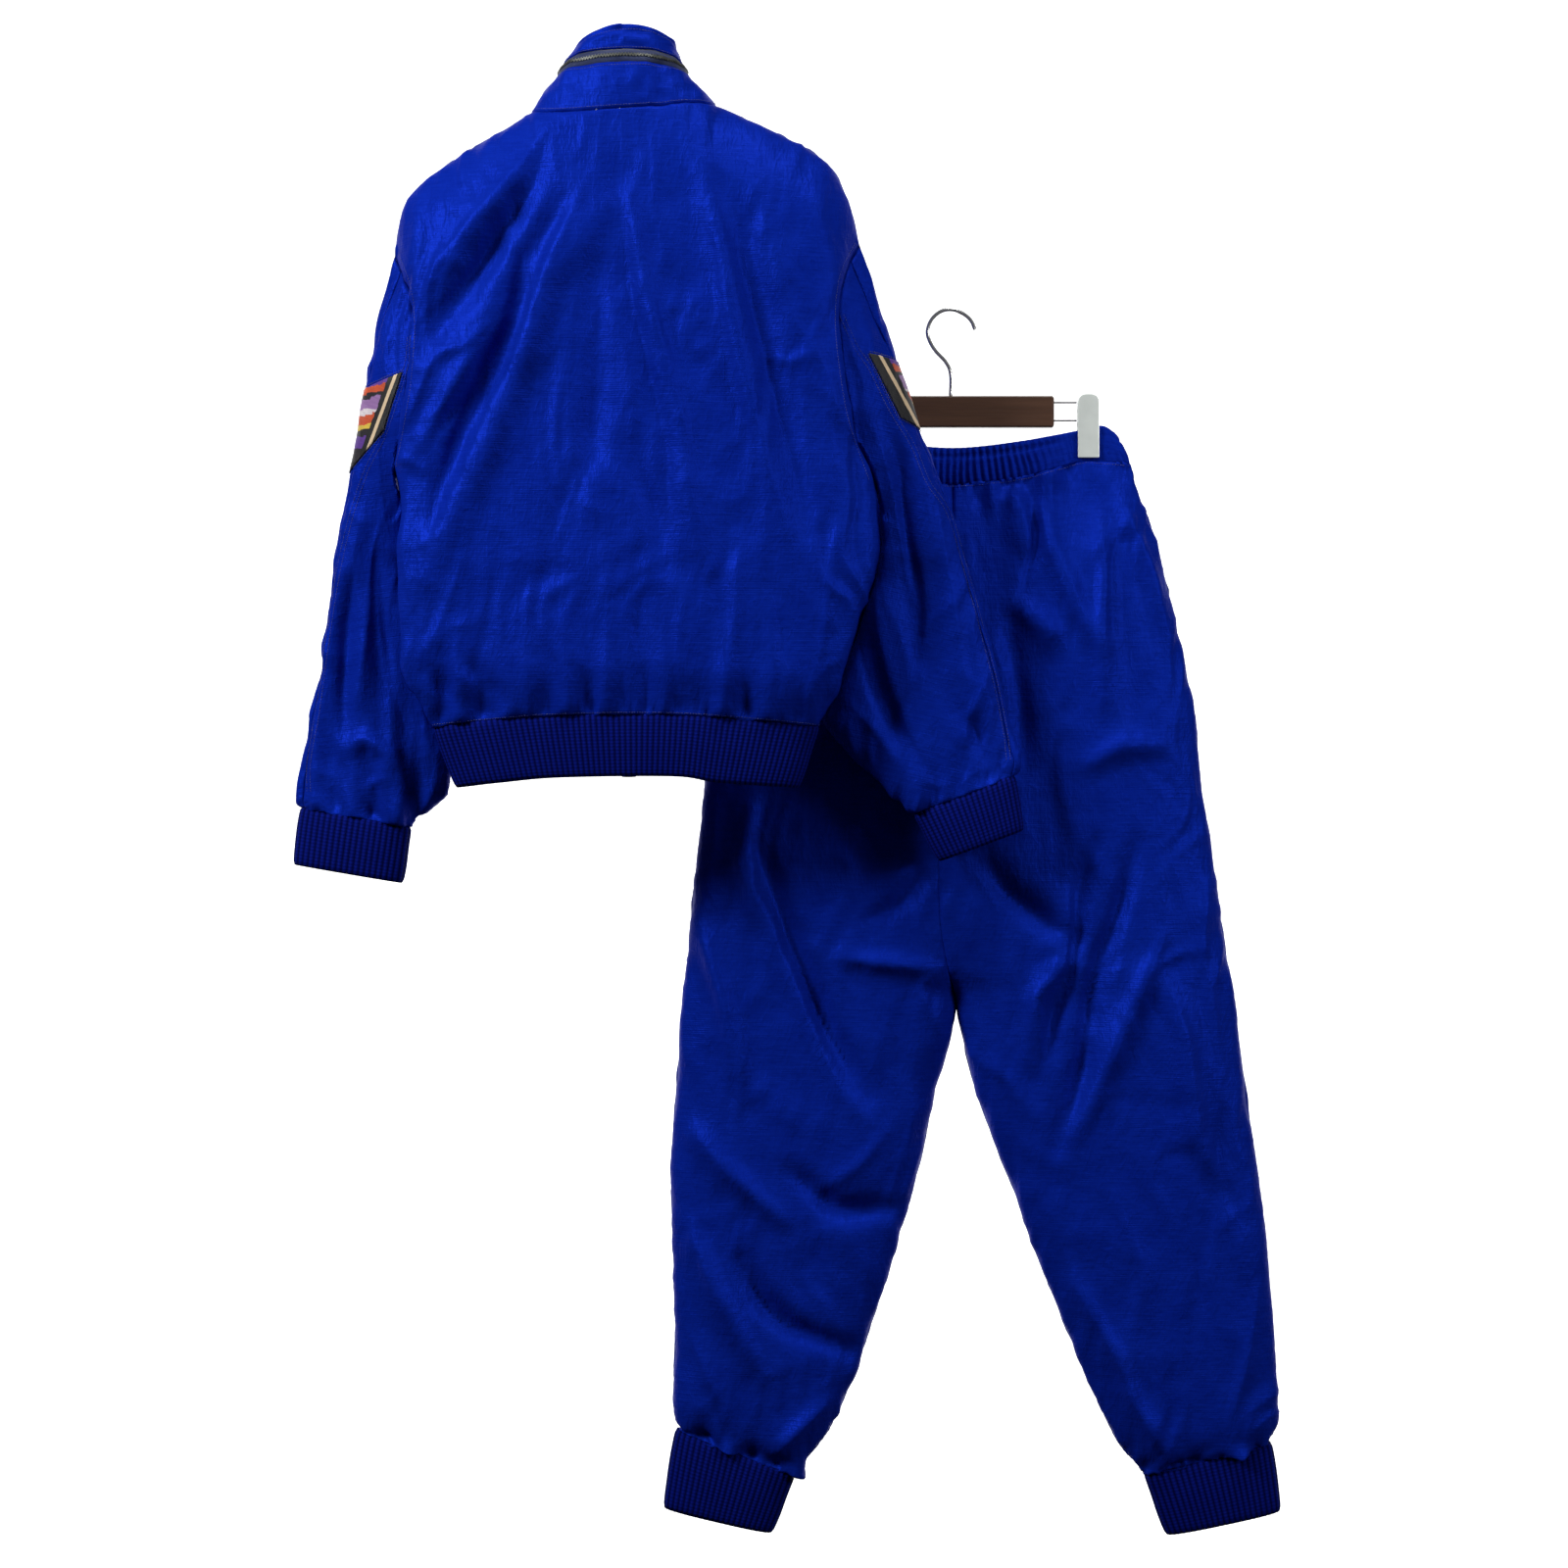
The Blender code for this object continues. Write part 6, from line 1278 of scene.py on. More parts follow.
def tape_paint(name):
    """The zip's woven tape."""
    paint = Paint(name, Roughness=0.7, Specular_IOR_Level=0.3, Sheen_Weight=0.2)
    cut = paint.cut()
    twill = paint.wave("DIAGONAL", 700.0, cut, 0.3)
    fuzz = paint.noise(1200.0, cut, 2.0)
    woven = paint.math("MULTIPLY", twill, fuzz)
    paint.set("Base Color", paint.mix(woven, (0.004, 0.010, 0.050), (0.030, 0.050, 0.150)))
    paint.bump([(twill, 0.00015), (fuzz, 0.0001)])
    return paint.material


def metal_paint(name, colour, roughness, grain=(1.0, 1.0, 1.0), depth=0.00003, metallic=1.0):
    """Metal with fine scratches along its grain and a slightly uneven gloss."""
    paint = Paint(name, Metallic=metallic, Roughness=roughness)
    place = paint.node("TexCoord").outputs["Object"]
    scratches = paint.noise(900.0, place, 3.0, 0.6, grain)
    clouds = paint.noise(60.0, place, 2.0)
    darker = tuple(0.78 * part for part in colour)
    paint.set("Base Color", paint.mix(clouds, darker, colour))
    paint.set("Roughness", paint.math("MULTIPLY_ADD", scratches, 0.22, roughness - 0.1))
    paint.bump([(scratches, depth)])
    return paint.material


def wood_paint(name):
    """Dark varnished wood with its grain along the bar."""
    paint = Paint(name, Roughness=0.36, Coat_Weight=0.35, Coat_Roughness=0.18)
    place = paint.node("TexCoord").outputs["Object"]
    grain = paint.noise(120.0, place, 6.0, 0.65, (0.06, 1.0, 1.0))
    pores = paint.noise(900.0, place, 2.0, 0.5, (0.04, 1.0, 1.0))
    paint.set("Base Color", paint.mix(grain, (0.038, 0.018, 0.011), (0.132, 0.062, 0.036)))
    paint.set("Roughness", paint.math("MULTIPLY_ADD", pores, 0.2, 0.28))
    paint.bump([(grain, 0.0002), (pores, 0.00012)])
    return paint.material


def print_paint(name):
    """The sleeve panel's own design: slanted brushed bars beside a cream stripe, on black."""
    paint = Paint(name, Roughness=0.5, Specular_IOR_Level=0.35, Sheen_Weight=0.1)
    cut = paint.cut()
    parts = paint.node("SeparateXYZ", {0: cut}).outputs
    across, along = parts[0], parts[1]
    ragged = paint.noise(160.0, cut, 3.0, 0.6, (0.25, 1.0, 1.0))
    slanted = paint.math("MULTIPLY_ADD", across, BAR_SLANT, along)
    frayed = paint.math("MULTIPLY_ADD", ragged, 0.012, paint.math("SUBTRACT", slanted, 0.006))
    ramp = paint.node("ValToRGB", {0: paint.math("DIVIDE", frayed, PANEL_LENGTH)})
    ramp.color_ramp.interpolation = "CONSTANT"
    stops = ramp.color_ramp.elements
    for place, colour in PRINT_BARS[:2]:
        stop = stops[0] if place == 0 else stops[1]
        stop.position = place
        stop.color = (*colour, 1)
    for place, colour in PRINT_BARS[2:]:
        stops.new(place).color = (*colour, 1)
    beside = paint.math("MULTIPLY_ADD", ragged, 0.004, across)
    in_bars = paint.math("LESS_THAN", beside, BARS_START)
    on_stripe = paint.math("LESS_THAN", paint.math("ABSOLUTE", across), STRIPE_HALF)
    streaks = paint.noise(700.0, cut, 2.0, 0.5, (0.1, 1.0, 1.0))
    bars = paint.mix(paint.math("MULTIPLY", streaks, 0.5), ramp.outputs[0], (0.02, 0.015, 0.02))
    shade = paint.mix(in_bars, (0.006, 0.006, 0.008), bars)
    paint.set("Base Color", paint.mix(on_stripe, shade, (0.62, 0.47, 0.30)))
    twill = paint.wave("DIAGONAL", 620.0, cut, 0.2)
    paint.bump([(twill, 0.0001), (streaks, 0.0001)])
    return paint.material


def thread_paint(name, colour):
    """Sewing thread, twisted."""
    paint = Paint(name, Roughness=0.55, Sheen_Weight=0.3)
    place = paint.node("TexCoord").outputs["Object"]
    twist = paint.wave("DIAGONAL", 1500.0, place, 0.0)
    paint.set("Base Color", paint.mix(twist, tuple(0.6 * part for part in colour), colour))
    paint.bump([(twist, 0.0001)])
    return paint.material


def make_piece(name, points, faces, material, nodes=(), place=JACKET_PLACE, wall=None, cut=None,
               rib=None, smooth=True):
    """A visible piece from points in millimetres, which stands for the named solids."""
    mesh = bpy.data.meshes.new(name)
    scaled = (np.asarray(points) + np.asarray(place)) * METRES
    mesh.from_pydata(scaled.tolist(), [], [tuple(int(i) for i in face) for face in faces])
    mesh.update()
    if smooth:
        mesh.shade_smooth()
    if cut is not None:
        layer = mesh.attributes.new("cut", "FLOAT_VECTOR", "POINT")
        spread = np.zeros((len(points), 3))
        spread[:, :2] = np.asarray(cut) * METRES
        layer.data.foreach_set("vector", spread.ravel())
    # The knit's rib crest heights, from which its paint darkens the valleys between the ribs as painted
    # shade
    if rib is not None:
        layer = mesh.attributes.new("rib", "FLOAT", "POINT")
        layer.data.foreach_set("value", np.asarray(rib, float))
    mesh.materials.append(material)
    item = bpy.data.objects.new(name, mesh)
    bpy.context.scene.collection.objects.link(item)
    if wall:
        shell = item.modifiers.new("wall", "SOLIDIFY")
        shell.thickness = wall * METRES
        shell.offset = -1
    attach(item, "root")
    if nodes:
        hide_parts(*nodes)
    return item


def ring_faces(rings, sides):
    """Faces between closed rings of points, and over the first and the last ring."""
    faces = [(r * sides + c, r * sides + (c + 1) % sides,
              (r + 1) * sides + (c + 1) % sides, (r + 1) * sides + c)
             for r in range(rings - 1) for c in range(sides)]
    last = (rings - 1) * sides
    return faces + [tuple(range(sides))[::-1], tuple(range(last, last + sides))]


def tube(path, radius, sides=20):
    """A round wire along a smooth path, with rounded ends."""
    line = curve_points(path, even(WIRE_CELLS))
    along = np.gradient(line, axis=0)
    along /= np.linalg.norm(along, axis=1)[:, None]
    centres = line.copy()
    centres[0] += along[0] * END_INSET * radius
    centres[-1] -= along[-1] * END_INSET * radius
    stations = [(line[0], along[0], END_SHARE)] + [(centre, run, 1.0) for centre, run in zip(centres, along)]
    stations.append((line[-1], along[-1], END_SHARE))
    points = []
    for centre, run, size in stations:
        first = np.cross(run, (0, 1, 0))
        first /= np.linalg.norm(first)
        second = np.cross(run, first)
        for k in range(sides):
            angle = 2 * math.pi * k / sides
            points.append(centre + size * radius * (math.cos(angle) * first + math.sin(angle) * second))
    return points, ring_faces(len(stations), sides)


def clip_shape(middle_x):
    """A clip's two jaws and the roof between them, with rounded shoulders."""
    half = CLIP_WIDTH / 2
    arc = [math.pi / 2 * k / 8 for k in range(9)]
    shoulder = [(half - CLIP_SHOULDER * (1 - math.cos(a)), CLIP_TOP_Z - CLIP_SHOULDER * (1 - math.sin(a)))
                for a in arc]
    mirrored = [(-x, z) for x, z in shoulder[::-1]]
    points = []
    faces = []
    outer = CLIP_THROAT + CLIP_JAW
    for (y0, y1), foot in (((-outer, -CLIP_THROAT), CLIP_FOOT_Z), ((CLIP_THROAT, outer), CLIP_FOOT_Z),
                           ((-CLIP_THROAT, CLIP_THROAT), CLIP_TOP_Z - CLIP_ROOF)):
        outline = [(-half, foot), (half, foot)] + shoulder + mirrored
        start = len(points)
        points += [(middle_x + x, y, z) for y in (y0, y1) for x, z in outline]
        faces += [tuple(start + i for i in face) for face in ring_faces(2, len(outline))]
    return points, outward(points, faces)


def outward(points, faces):
    """The faces, turned if they enclose a negative volume."""
    points = np.asarray(points)
    volume = 0.0
    for face in faces:
        for k in range(1, len(face) - 1):
            a, b, c = points[[face[0], face[k], face[k + 1]]]
            volume += np.cross(a, b) @ c
    return faces if volume > 0 else [tuple(face)[::-1] for face in faces]


def resample(points, normals, pitch):
    """Places at even steps along a line, with the line's direction and normal there."""
    length = np.concatenate([[0], np.cumsum(np.linalg.norm(np.diff(points, axis=0), axis=1))])
    at = np.arange(pitch / 2, length[-1], pitch)
    places = np.column_stack([np.interp(at, length, points[:, k]) for k in range(3)])
    turned = np.column_stack([np.interp(at, length, normals[:, k]) for k in range(3)])
    turned /= np.linalg.norm(turned, axis=1)[:, None]
    runs = np.gradient(places, axis=0)
    runs -= np.sum(runs * turned, axis=1)[:, None] * turned
    runs /= np.maximum(np.linalg.norm(runs, axis=1), 1e-9)[:, None]
    return places, runs, turned


def joined(shape, faces, frames):
    """Copies of one small shape placed in frames of place, along, across and up."""
    points = []
    all_faces = []
    for place, along, across, up in frames:
        start = len(points)
        basis = np.array([along, across, up])
        points.extend(place + shape @ basis)
        all_faces.extend(tuple(start + i for i in face) for face in faces)
    return np.array(points), all_faces


def stitches(name, lines, material, place=JACKET_PLACE):
    """Short threads laid along lines of points and normals, each dipping into the cloth at its ends."""
    half, rise = 0.36 * STITCH_PITCH, THREAD_RADIUS
    shape = []
    for run, lift, size in ((-half, -0.6, 0.5), (-0.5 * half, 0.5, 1.0),
                            (0.5 * half, 0.5, 1.0), (half, -0.6, 0.5)):
        for turn in range(THREAD_SIDES):
            angle = 2 * math.pi * turn / THREAD_SIDES
            shape.append((run, size * rise * math.cos(angle), lift * rise + size * rise * math.sin(angle)))
    shape = np.array(shape)
    faces = outward(shape, ring_faces(len(shape) // THREAD_SIDES, THREAD_SIDES))
    frames = []
    for points, normals in lines:
        places, runs, ups = resample(points, normals, STITCH_PITCH)
        frames += [(p, r, np.cross(u, r), u) for p, r, u in zip(places, runs, ups)]
    points, all_faces = joined(shape, faces, frames)
    return make_piece(name, points, all_faces, material, place=place)


def teeth(name, points, normals, material):
    """Two rows of metal teeth that mesh along a line."""
    places, runs, ups = resample(points, normals, TOOTH_PITCH / 2)
    length, reach, height = TOOTH_LENGTH * TOOTH_PITCH, TOOTH_REACH, TOOTH_HEIGHT
    shape = np.array([(x * length * (1 - 0.2 * z), y, TOOTH_SINK + z * height)
                      for z in (0, 1) for y in (-0.9 + 0.2 * z, reach - 0.3 * z) for x in (-1, 1)])
    faces = outward(shape, [(0, 1, 3, 2), (4, 6, 7, 5), (0, 4, 5, 1),
                            (2, 3, 7, 6), (0, 2, 6, 4), (1, 5, 7, 3)])
    frames = []
    for k, (place, run, up) in enumerate(zip(places, runs, ups)):
        across = np.cross(up, run) * (1 if k % 2 else -1)
        frames.append((place, run, across, up))
    points, all_faces = joined(shape, faces, frames)
    return make_piece(name, points, all_faces, material, smooth=False)


def laid_on(tree, path, side, offset, lift=0.0):
    """A line of surface points and normals under an x, z path, moved sideways by an offset."""
    corners = np.array(path, float)
    reach = np.sum(np.linalg.norm(np.diff(corners, axis=0), axis=1))
    line = curve_points(corners, even(max(4, int(reach / 3))))
    run = np.gradient(line, axis=0)
    run /= np.linalg.norm(run, axis=1)[:, None]
    line = line + offset * np.column_stack([-run[:, 1], run[:, 0]])
    direction = 1 if side == "back" else -1
    points = []
    normals = []
    for x, z in line:
        hit, normal, _, _ = tree.ray_cast(Vector((x, -FAR * direction, z)), Vector((0, direction, 0)))
        if hit is not None:
            if normal.y * direction > 0:
                normal = -normal
            points.append(np.array(hit) + lift * np.array(normal))
            normals.append(np.array(normal))
    return np.array(points), np.array(normals)


def gather_relief(cloth, tight, wide):
    """Gathers that run up from an elastic seam and fade: small ones near it, wide ones further."""
    near = cloth.away < GATHER_REACH
    along, away = cloth.along[near], cloth.away[near]
    small, large = (noise_at(np.column_stack([along / kind.along, away / kind.away, along * 0]), kind.seed)
                    for kind in (SMALL_GATHERS, LARGE_GATHERS))
    small = tight * ridged(small) * np.exp(-away / SMALL_GATHERS.fade)
    large = wide * (large * 2) * np.exp(-(away / LARGE_GATHERS.fade) ** 2)
    relief = np.zeros(len(cloth.points))
    relief[near] = small * np.tanh(away / SMALL_GATHERS.start) + large * np.tanh(away / LARGE_GATHERS.start)
    return relief


def crumple_relief(cloth, fan, amount):
    """Long shallow wrinkles that run down from a point above the cloth, and small ones across."""
    x, z = cloth.points[:, 0], cloth.points[:, 2]
    turn = np.arctan2(x - fan[0], fan[1] - z)
    away = np.hypot(x - fan[0], z - fan[1])
    side = np.sign(cloth.points[:, 1]) * 40
    warp = noise_at(np.column_stack([x / 70, side, z / 90]), 7.9)
    broad = ridged(noise_at(np.column_stack([turn * away / 46 + 1.5 * warp, side, away / 120 + warp]), 8.8))
    long = ridged(noise_at(np.column_stack([turn * away / 19 + 1.2 * warp, side, away / 150]), 2.4))
    short = noise_at(np.column_stack([x / 17 + warp, side, z / 26 - warp]), 6.1)
    return amount * (1.5 * broad + (1.0 * long + 1.1 * short) * np.clip(warp * 1.6 + 0.75, 0.1, 1.2))


def sided(cloth, table):
    """Relief of the creases of both sides, each felt only where the cloth faces that way."""
    flat = cloth.points[:, [0, 2]]
    facing = cloth.normals[:, 1]
    relief = np.zeros(len(flat))
    for side, direction in (("back", -1), ("front", 1)):
        rows = [crease for crease in table if crease.side == side]
        relief += crease_relief(flat, rows) * np.clip(FACING_GAIN * direction * facing, 0, 1)
    return relief


def collar_relief(cloth):
    """The collar's filled lower band, the groove below its rolled top edge and its small buckles."""
    relief = np.zeros(len(cloth.points))
    last = len(cloth.collar_rings) - 1
    for row, ring in enumerate(cloth.collar_rings):
        puff = COLLAR_PUFF * math.sin(math.pi * min(1.0, row / COLLAR_CELLS[0]))
        roll = (COLLAR_ROLL * math.exp(-((row - last + 0.5) / 1.6) ** 2)
                - COLLAR_GROOVE * math.exp(-(row - COLLAR_GROOVE_ROW) ** 2))
        numbers = ring[:-1]
        flat = cloth.points[numbers]
        buckle = noise_at(np.column_stack([flat[:, 0] / 16, flat[:, 1] / 16, flat[:, 2] / 9]), 3.9)
        relief[numbers] = (puff + roll + COLLAR_BUCKLE * buckle * min(1.0, row / 4)) * min(1.0, row / 2)
    return relief


def weave_places(points, lean):
    """Places on the cut cloth: across and down, turned to a limb that leans from upright."""
    cosine, sine = math.cos(lean), math.sin(lean)
    return np.column_stack([cosine * points[:, 0] + sine * points[:, 2],
                            cosine * points[:, 2] - sine * points[:, 0]])


def cuff_edges(top, bottom):
    """The two edge functions of a cuff between the limb's last section and the cuff's own edge."""
    run = np.array([bottom.outer_x - top.outer_x, bottom.outer_z - top.outer_z])
    run = -run / np.linalg.norm(run) * RIB_TUCK
    first = top._replace(outer_x=top.outer_x + run[0], outer_z=top.outer_z + run[1],
                         inner_x=top.inner_x + run[0], inner_z=top.inner_z + run[1])
    return lambda t: section_ring(first, t), lambda t: section_ring(bottom, t)


def shell_piece(cloth, name, material, slot="shell", place=JACKET_PLACE, lean=0.0):
    """One of a garment's pieces, as a thin shell that takes its solid's place."""
    laid_under = (TAPE_TUCK, TAPE_DROP) if slot == "zip_tape" else (0.0, 0.0)
    pucker = next((size for start, size in PUCKERS.items() if name.startswith(start)), 0.0)
    points, faces = cloth.piece(name, pucker, *laid_under)
    return make_piece(name + "_cloth", points, faces, material, [name], place, CLOTH_WALL,
                      cut=weave_places(points, lean))


def knit_band(name, edges, ribs, material, place, start=0.0, stop=1.0):
    """A ribbed band that takes its solid's place."""
    points, faces, cut, crest = band(*edges, ribs, knit_relief, start, stop)
    return make_piece(name + "_knit", points, faces, material, [name], place, KNIT_WALL,
                      cut=cut, rib=crest)


def sleeve_panel(cloth, side, material):
    """The printed panel: the sleeve's own fine cells inside the panel's outline, moved out."""
    rows = cloth.sleeve_rows[side]
    outline = PATCH_LEFT if side == "left" else PATCH_RIGHT
    outward_side = 1 if side == "left" else -1
    sheet = bmesh.new()
    made = {}
    lean = sheet.verts.layers.float_vector.new("lean")
    for row in rows[:PATCH_REACH_CELLS]:
        for number in row:
            if number not in made:
                made[number] = sheet.verts.new(cloth.points[number])
                made[number][lean] = Vector(cloth.normals[number])
    for low, high in zip(rows[:PATCH_REACH_CELLS - 1], rows[1:PATCH_REACH_CELLS]):
        for c in range(len(low) - 1):
            corners = [low[c], low[c + 1], high[c + 1], high[c]]
            if side == "left":
                corners.reverse()
            sheet.faces.new([made[corner] for corner in corners])
    for (x0, z0), (x1, z1) in zip(outline[:-1], outline[1:]):
        away = Vector((z0 - z1, 0, x1 - x0)) * outward_side
        bmesh.ops.bisect_plane(sheet, geom=sheet.verts[:] + sheet.edges[:] + sheet.faces[:], dist=0.01,
                               plane_co=(x0, 0, z0), plane_no=away, clear_outer=True)
    sheet.verts.index_update()
    points = np.array([vert.co for vert in sheet.verts])
    normals = np.array([vert[lean] for vert in sheet.verts])
    normals /= np.linalg.norm(normals, axis=1)[:, None]
    faces = [tuple(vert.index for vert in face.verts) for face in sheet.faces]
    sheet.free()
    stripe = STRIPES[side]
    inward = np.array(stripe.inward) / np.linalg.norm(stripe.inward)
    run = np.array(stripe.stop) - stripe.start
    run = run / np.linalg.norm(run)
    flat = points[:, [0, 2]] - stripe.start
    cut = np.column_stack([flat @ inward, flat @ run - PANEL_START / METRES])
    return make_piece(f"sleeve_patch_{side}_print", points + normals * PATCH_LIFT, faces, material,
                      [f"sleeve_patch_{side}"], JACKET_PLACE, PRINT_WALL, cut=cut)


def clip_hold(points):
    """Share of the waistband's gathers that the clips leave."""
    free = (pinch(points[:, 0], points[:, 2]) - PINCH_SHARE) / (1 - PINCH_SHARE)
    return np.clip(free, WAIST_HELD, 1)


def own_line(cloth, numbers):
    """The cloth's own numbered points, with their normals."""
    return cloth.points[numbers], cloth.normals[numbers]


WAIST_LINE = curve_points(WAIST_SEAM, even(100))

# Materials
TAFFETA_PAINT = taffeta_paint("taffeta", SHELL_COLOURS)
BAND_PAINT = taffeta_paint("gathered_taffeta", SHELL_COLOURS, 0.46)
KNIT_PAINT = knit_paint("rib_knit", (0.0004, 0.0012, 0.030), (0.0030, 0.0090, 0.200))
TAPE_PAINT = tape_paint("zip_tape")
PRINT_PAINT = print_paint("printed_panel")
THREAD_PAINT = thread_paint("thread", (0.004, 0.018, 0.30))
PANEL_THREAD_PAINT = thread_paint("panel_thread", (0.02, 0.02, 0.022))
TOOTH_PAINT = metal_paint("zip_teeth", (0.105, 0.11, 0.10), 0.52)
SLIDER_PAINT = metal_paint("zip_sliders", (0.24, 0.24, 0.22), 0.34)
WOOD_PAINT = wood_paint("dark_wood")
CHROME_PAINT = metal_paint("chrome", (0.80, 0.81, 0.81), 0.2, metallic=0.8)
STEEL_PAINT = metal_paint("brushed_steel", (0.90, 0.96, 0.91), 0.34, (0.06, 1.0, 1.0), 0.00005, 0.25)
ROD_PAINT = metal_paint("rod_steel", (0.20, 0.20, 0.21), 0.3)

# Jacket
jacket = build_jacket()
jacket.raise_by(sided(jacket, JACKET_CREASES) + crumple_relief(jacket, *JACKET_CRUMPLES)
                + gather_relief(jacket, *JACKET_GATHERS))
jacket.raise_by(collar_relief(jacket))
jacket_tree = jacket.tree()
for name in ("jacket_back", "jacket_front_left", "jacket_front_right", "collar_lower", "collar_upper"):
    shell_piece(jacket, name, TAFFETA_PAINT)
for side, lean in (("left", 0.12), ("right", -0.22)):
    for face in ("back", "front"):
        name = f"sleeve_{side}_{face}"
        shell_piece(jacket, name, TAFFETA_PAINT, lean=lean)
for name in ("front_zip", "collar_zip"):
    shell_piece(jacket, name, TAPE_PAINT, "zip_tape")

half_tape = (TAPE_WIDTH / 2 + RIB_GAP) / (HEM_EDGE[-1][0] - HEM_EDGE[0][0])
zip_gap = math.asin(2 * half_tape) / math.pi / 2
knit_band("hem_rib", (hem_seam, hem_edge), HEM_RIBS, KNIT_PAINT, JACKET_PLACE,
                             -0.25 + zip_gap, 0.75 - zip_gap)
for side, rows, edge in (("left", SLEEVE_LEFT, CUFF_EDGE_LEFT), ("right", SLEEVE_RIGHT, CUFF_EDGE_RIGHT)):
    knit_band(f"cuff_{side}", cuff_edges(rows[-1], edge), CUFF_RIBS, KNIT_PAINT,
                                      JACKET_PLACE)
    sleeve_panel(jacket, side, PRINT_PAINT)

# Trousers
trousers = build_trousers()
trousers.raise_by((sided(trousers, TROUSER_CREASES) + crumple_relief(trousers, *TROUSER_CRUMPLES)
                   + gather_relief(trousers, *TROUSER_GATHERS))
                  * pinch(trousers.points[:, 0], trousers.points[:, 2]))
trouser_tree = trousers.tree()
for side in ("left", "right"):
    for face in ("back", "front"):
        name = f"trouser_{face}_{side}"
        shell_piece(trousers, name, TAFFETA_PAINT, place=(0, 0, 0))
points, faces, cut, _ = band(lambda t: waist_ring(WAIST_TOP, 0, t),
                             lambda t: waist_ring(WAIST_SEAM, -RIB_TUCK, t),
                             WAIST_GATHERS, waist_relief, held=clip_hold)
make_piece("waistband_cloth", points, faces, BAND_PAINT, ["waistband"],
                                (0, 0, 0), CLOTH_WALL, cut=cut)
for side, rows, edge in (("left", LEG_LEFT, ANKLE_EDGE_LEFT), ("right", LEG_RIGHT, ANKLE_EDGE_RIGHT)):
    edges = cuff_edges(LimbSection(*rows[-1][:4], LEG_EDGE_Y, abs(rows[-1].back)), edge)
    knit_band(f"ankle_cuff_{side}", edges, ANKLE_RIBS, KNIT_PAINT, (0, 0, 0))

# Stitches
SEWN = [
    ("back", SEAM_STITCH_RIGHT, (-2.0, 2.0)), ("back", SEAM_STITCH_LEFT, (-2.0, 2.0)),
    ("back", ARMHOLE_BACK_LEFT, (-5.0,)), ("back", ARMHOLE_BACK_RIGHT, (5.0,)),
    ("front", ARMHOLE_FRONT_LEFT, (-5.0,)), ("front", ARMHOLE_FRONT_RIGHT, (5.0,)),
    ("back", HEM_SEAM, (2.5,)), ("front", HEM_SEAM[:3], (2.5,)), ("front", HEM_SEAM[3:], (2.5,)),
]
lines = [laid_on(jacket_tree, path, face, offset) for face, path, offsets in SEWN for offset in offsets]
columns = len(jacket.collar_rings[0])
back_arc = slice(0, NECK_BACK_CELLS + NECK_FRONT_CELLS)
rest_arc = slice(NECK_BACK_CELLS + NECK_FRONT_CELLS + ZIP_CELLS, columns)
for row in COLLAR_STITCH_ROWS:
    ring = jacket.collar_rings[row]
    lines += [own_line(jacket, ring[back_arc]), own_line(jacket, ring[rest_arc])]
trims = {"jacket_back": [stitches("jacket_stitches", lines, THREAD_PAINT)]}
lines = [laid_on(trouser_tree, WAIST_SEAM, face, -3.0) for face in ("back", "front")]
trims["trouser_back_left"] = [stitches("trouser_stitches", lines, THREAD_PAINT, (0, 0, 0))]
for side, outline in (("left", PATCH_LEFT), ("right", PATCH_RIGHT)):
    inset = 1.6 if side == "left" else -1.6
    edges = [laid_on(jacket_tree, edge, face, inset, PATCH_LIFT) for edge in zip(outline[:-1], outline[1:])
             for face in ("back", "front")]
    trims[f"sleeve_patch_{side}"] = [stitches(f"sleeve_patch_{side}_stitches", edges, PANEL_THREAD_PAINT)]

# Zips
trims["front_zip"] = [teeth("front_zip_teeth", *own_line(jacket, jacket.front_line), TOOTH_PAINT)]
trims["collar_zip"] = [teeth("collar_zip_teeth", *own_line(jacket, jacket.collar_line), TOOTH_PAINT)]

# Hangers: the wire parts are rounder than the solids, the bar and the clips are the solids
wire_parts = (("trouser_hanger_hook", [(x, 0, z) for x, z in TROUSER_HOOK], (0, 0, 0)),
              ("jacket_hanger_hook", [(x, SHOULDER_Y, z) for x, z in JACKET_HOOK], JACKET_PLACE))
for name, path, place in wire_parts:
    points, faces = tube(path, WIRE_RADIUS)
    make_piece(name + "_wire", points, outward(points, faces), CHROME_PAINT, [name], place)
for side, sign in (("left", -1), ("right", 1)):
    points, faces = clip_shape(sign * CLIP_X)
    clip = make_piece(f"trouser_clip_{side}_plates", points, faces, STEEL_PAINT,
                      [f"trouser_clip_{side}"], (0, 0, 0), smooth=False)
    rounding = clip.modifiers.new("rounding", "BEVEL")
    rounding.width = CLIP_ROUNDING * METRES
    rounding.segments = 2
CAD_PAINTS = {"trouser_hanger_bar": WOOD_PAINT, "jacket_hanger": WOOD_PAINT}
CAD_PAINTS |= {f"{name}_zip_{part}": SLIDER_PAINT for name in ("front", "collar")
               for part in ("slider", "pull")}
CAD_PAINTS |= {f"trouser_hanger_rod_{side}_{level}": ROD_PAINT for side in ("left", "right")
               for level in ("upper", "lower")}
for name, paint in CAD_PAINTS.items():
    for holder in bpy.data.objects[name].material_slots:
        holder.material = paint

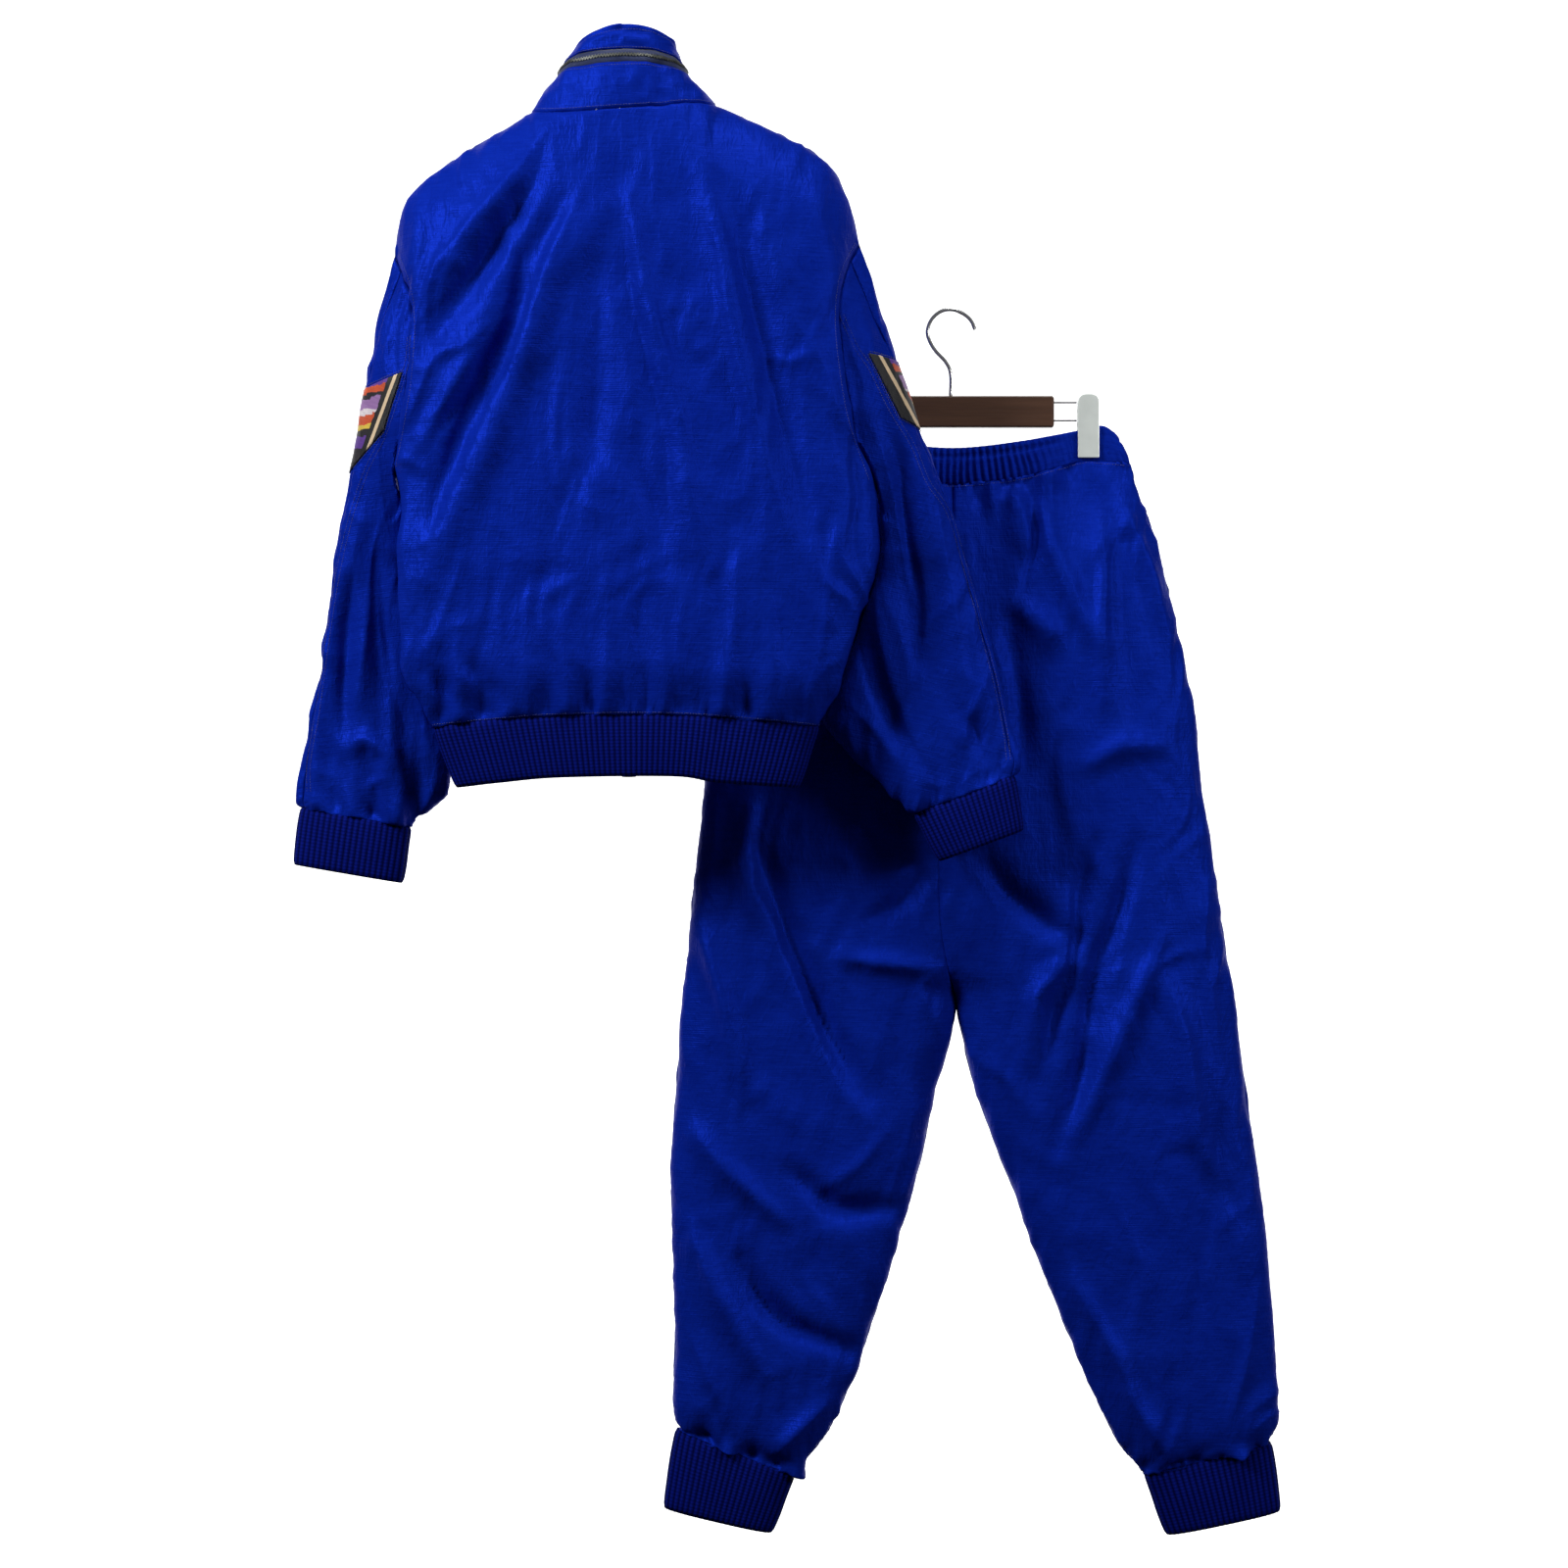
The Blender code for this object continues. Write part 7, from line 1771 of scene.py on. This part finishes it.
# Stage: a pale sweep, soft lamps and the photo's view
SWEEP_FRONT, SWEEP_FLOOR, SWEEP_TOP = 1.2, -1.55, 5.0
SWEEP_BEND_START, SWEEP_BEND, SWEEP_BEND_STEPS, SWEEP_HALF_WIDTH = 5.8, 0.7, 16, 7.0
profile = [(SWEEP_FRONT, SWEEP_FLOOR)]
for k in range(SWEEP_BEND_STEPS + 1):
    angle = math.pi / 2 * k / SWEEP_BEND_STEPS
    profile.append((SWEEP_BEND_START + SWEEP_BEND * math.sin(angle),
                    SWEEP_FLOOR + SWEEP_BEND * (1 - math.cos(angle))))
profile.append((SWEEP_BEND_START + SWEEP_BEND, SWEEP_TOP))
mesh = bpy.data.meshes.new("backdrop")
mesh.from_pydata([(x, y, z) for x in (-SWEEP_HALF_WIDTH, SWEEP_HALF_WIDTH) for y, z in profile], [],
                 [(k, k + 1, k + 1 + len(profile), k + len(profile)) for k in range(len(profile) - 1)])
mesh.shade_smooth()
backdrop = bpy.data.objects.new("backdrop", mesh)
bpy.context.scene.collection.objects.link(backdrop)
backdrop_paint = Paint("backdrop_paper", Roughness=0.9, Specular_IOR_Level=0.1, Emission_Color=(1, 1, 1, 1),
                       Emission_Strength=1.0)
grain = backdrop_paint.noise(300.0, backdrop_paint.node("TexCoord").outputs["Object"], 2.0)
backdrop_paint.set("Base Color", backdrop_paint.mix(grain, (0.86, 0.86, 0.87), (0.90, 0.90, 0.90)))
mesh.materials.append(backdrop_paint.material)

Lamp = namedtuple("Lamp", "name place aim size power")
LAMPS = [
    Lamp("key", (-2.4, -1.7, 1.3), (-0.2, 0, -0.5), 0.9, 98),
    Lamp("fill", (2.7, -1.9, 0.4), (0.0, 0, -0.5), 0.9, 40),
    Lamp("top", (0.3, -1.0, 2.2), (-0.1, 0, -0.5), 0.9, 36),
]
for lamp in LAMPS:
    light = bpy.data.lights.new(lamp.name, "AREA")
    light.size = lamp.size
    light.energy = lamp.power
    holder = bpy.data.objects.new(lamp.name, light)
    holder.location = lamp.place
    holder.rotation_euler = (Vector(lamp.aim) - Vector(lamp.place)).to_track_quat("-Z", "Y").to_euler()
    bpy.context.scene.collection.objects.link(holder)

WORLD_COLOUR = (0.93, 0.95, 1.0, 1)
WORLD_STRENGTH = 0.05
world = bpy.data.worlds.new("studio")
world.use_nodes = True
background = world.node_tree.nodes["Background"].inputs
background["Color"].default_value = WORLD_COLOUR
background["Strength"].default_value = WORLD_STRENGTH
scene = bpy.context.scene
scene.world = world
scene.view_settings.view_transform = "Standard"

CAMERA_PLACE = (-0.166, -3.815, -0.4675)
CAMERA_LENS = 88.5
CAMERA_SENSOR = 36
camera = bpy.data.cameras.new("photo_view")
camera.lens = CAMERA_LENS
camera.sensor_width = CAMERA_SENSOR
camera_holder = bpy.data.objects.new("photo_view", camera)
camera_holder.location = CAMERA_PLACE
camera_holder.rotation_euler = (math.pi / 2, 0, 0)
scene.collection.objects.link(camera_holder)
scene.camera = camera_holder
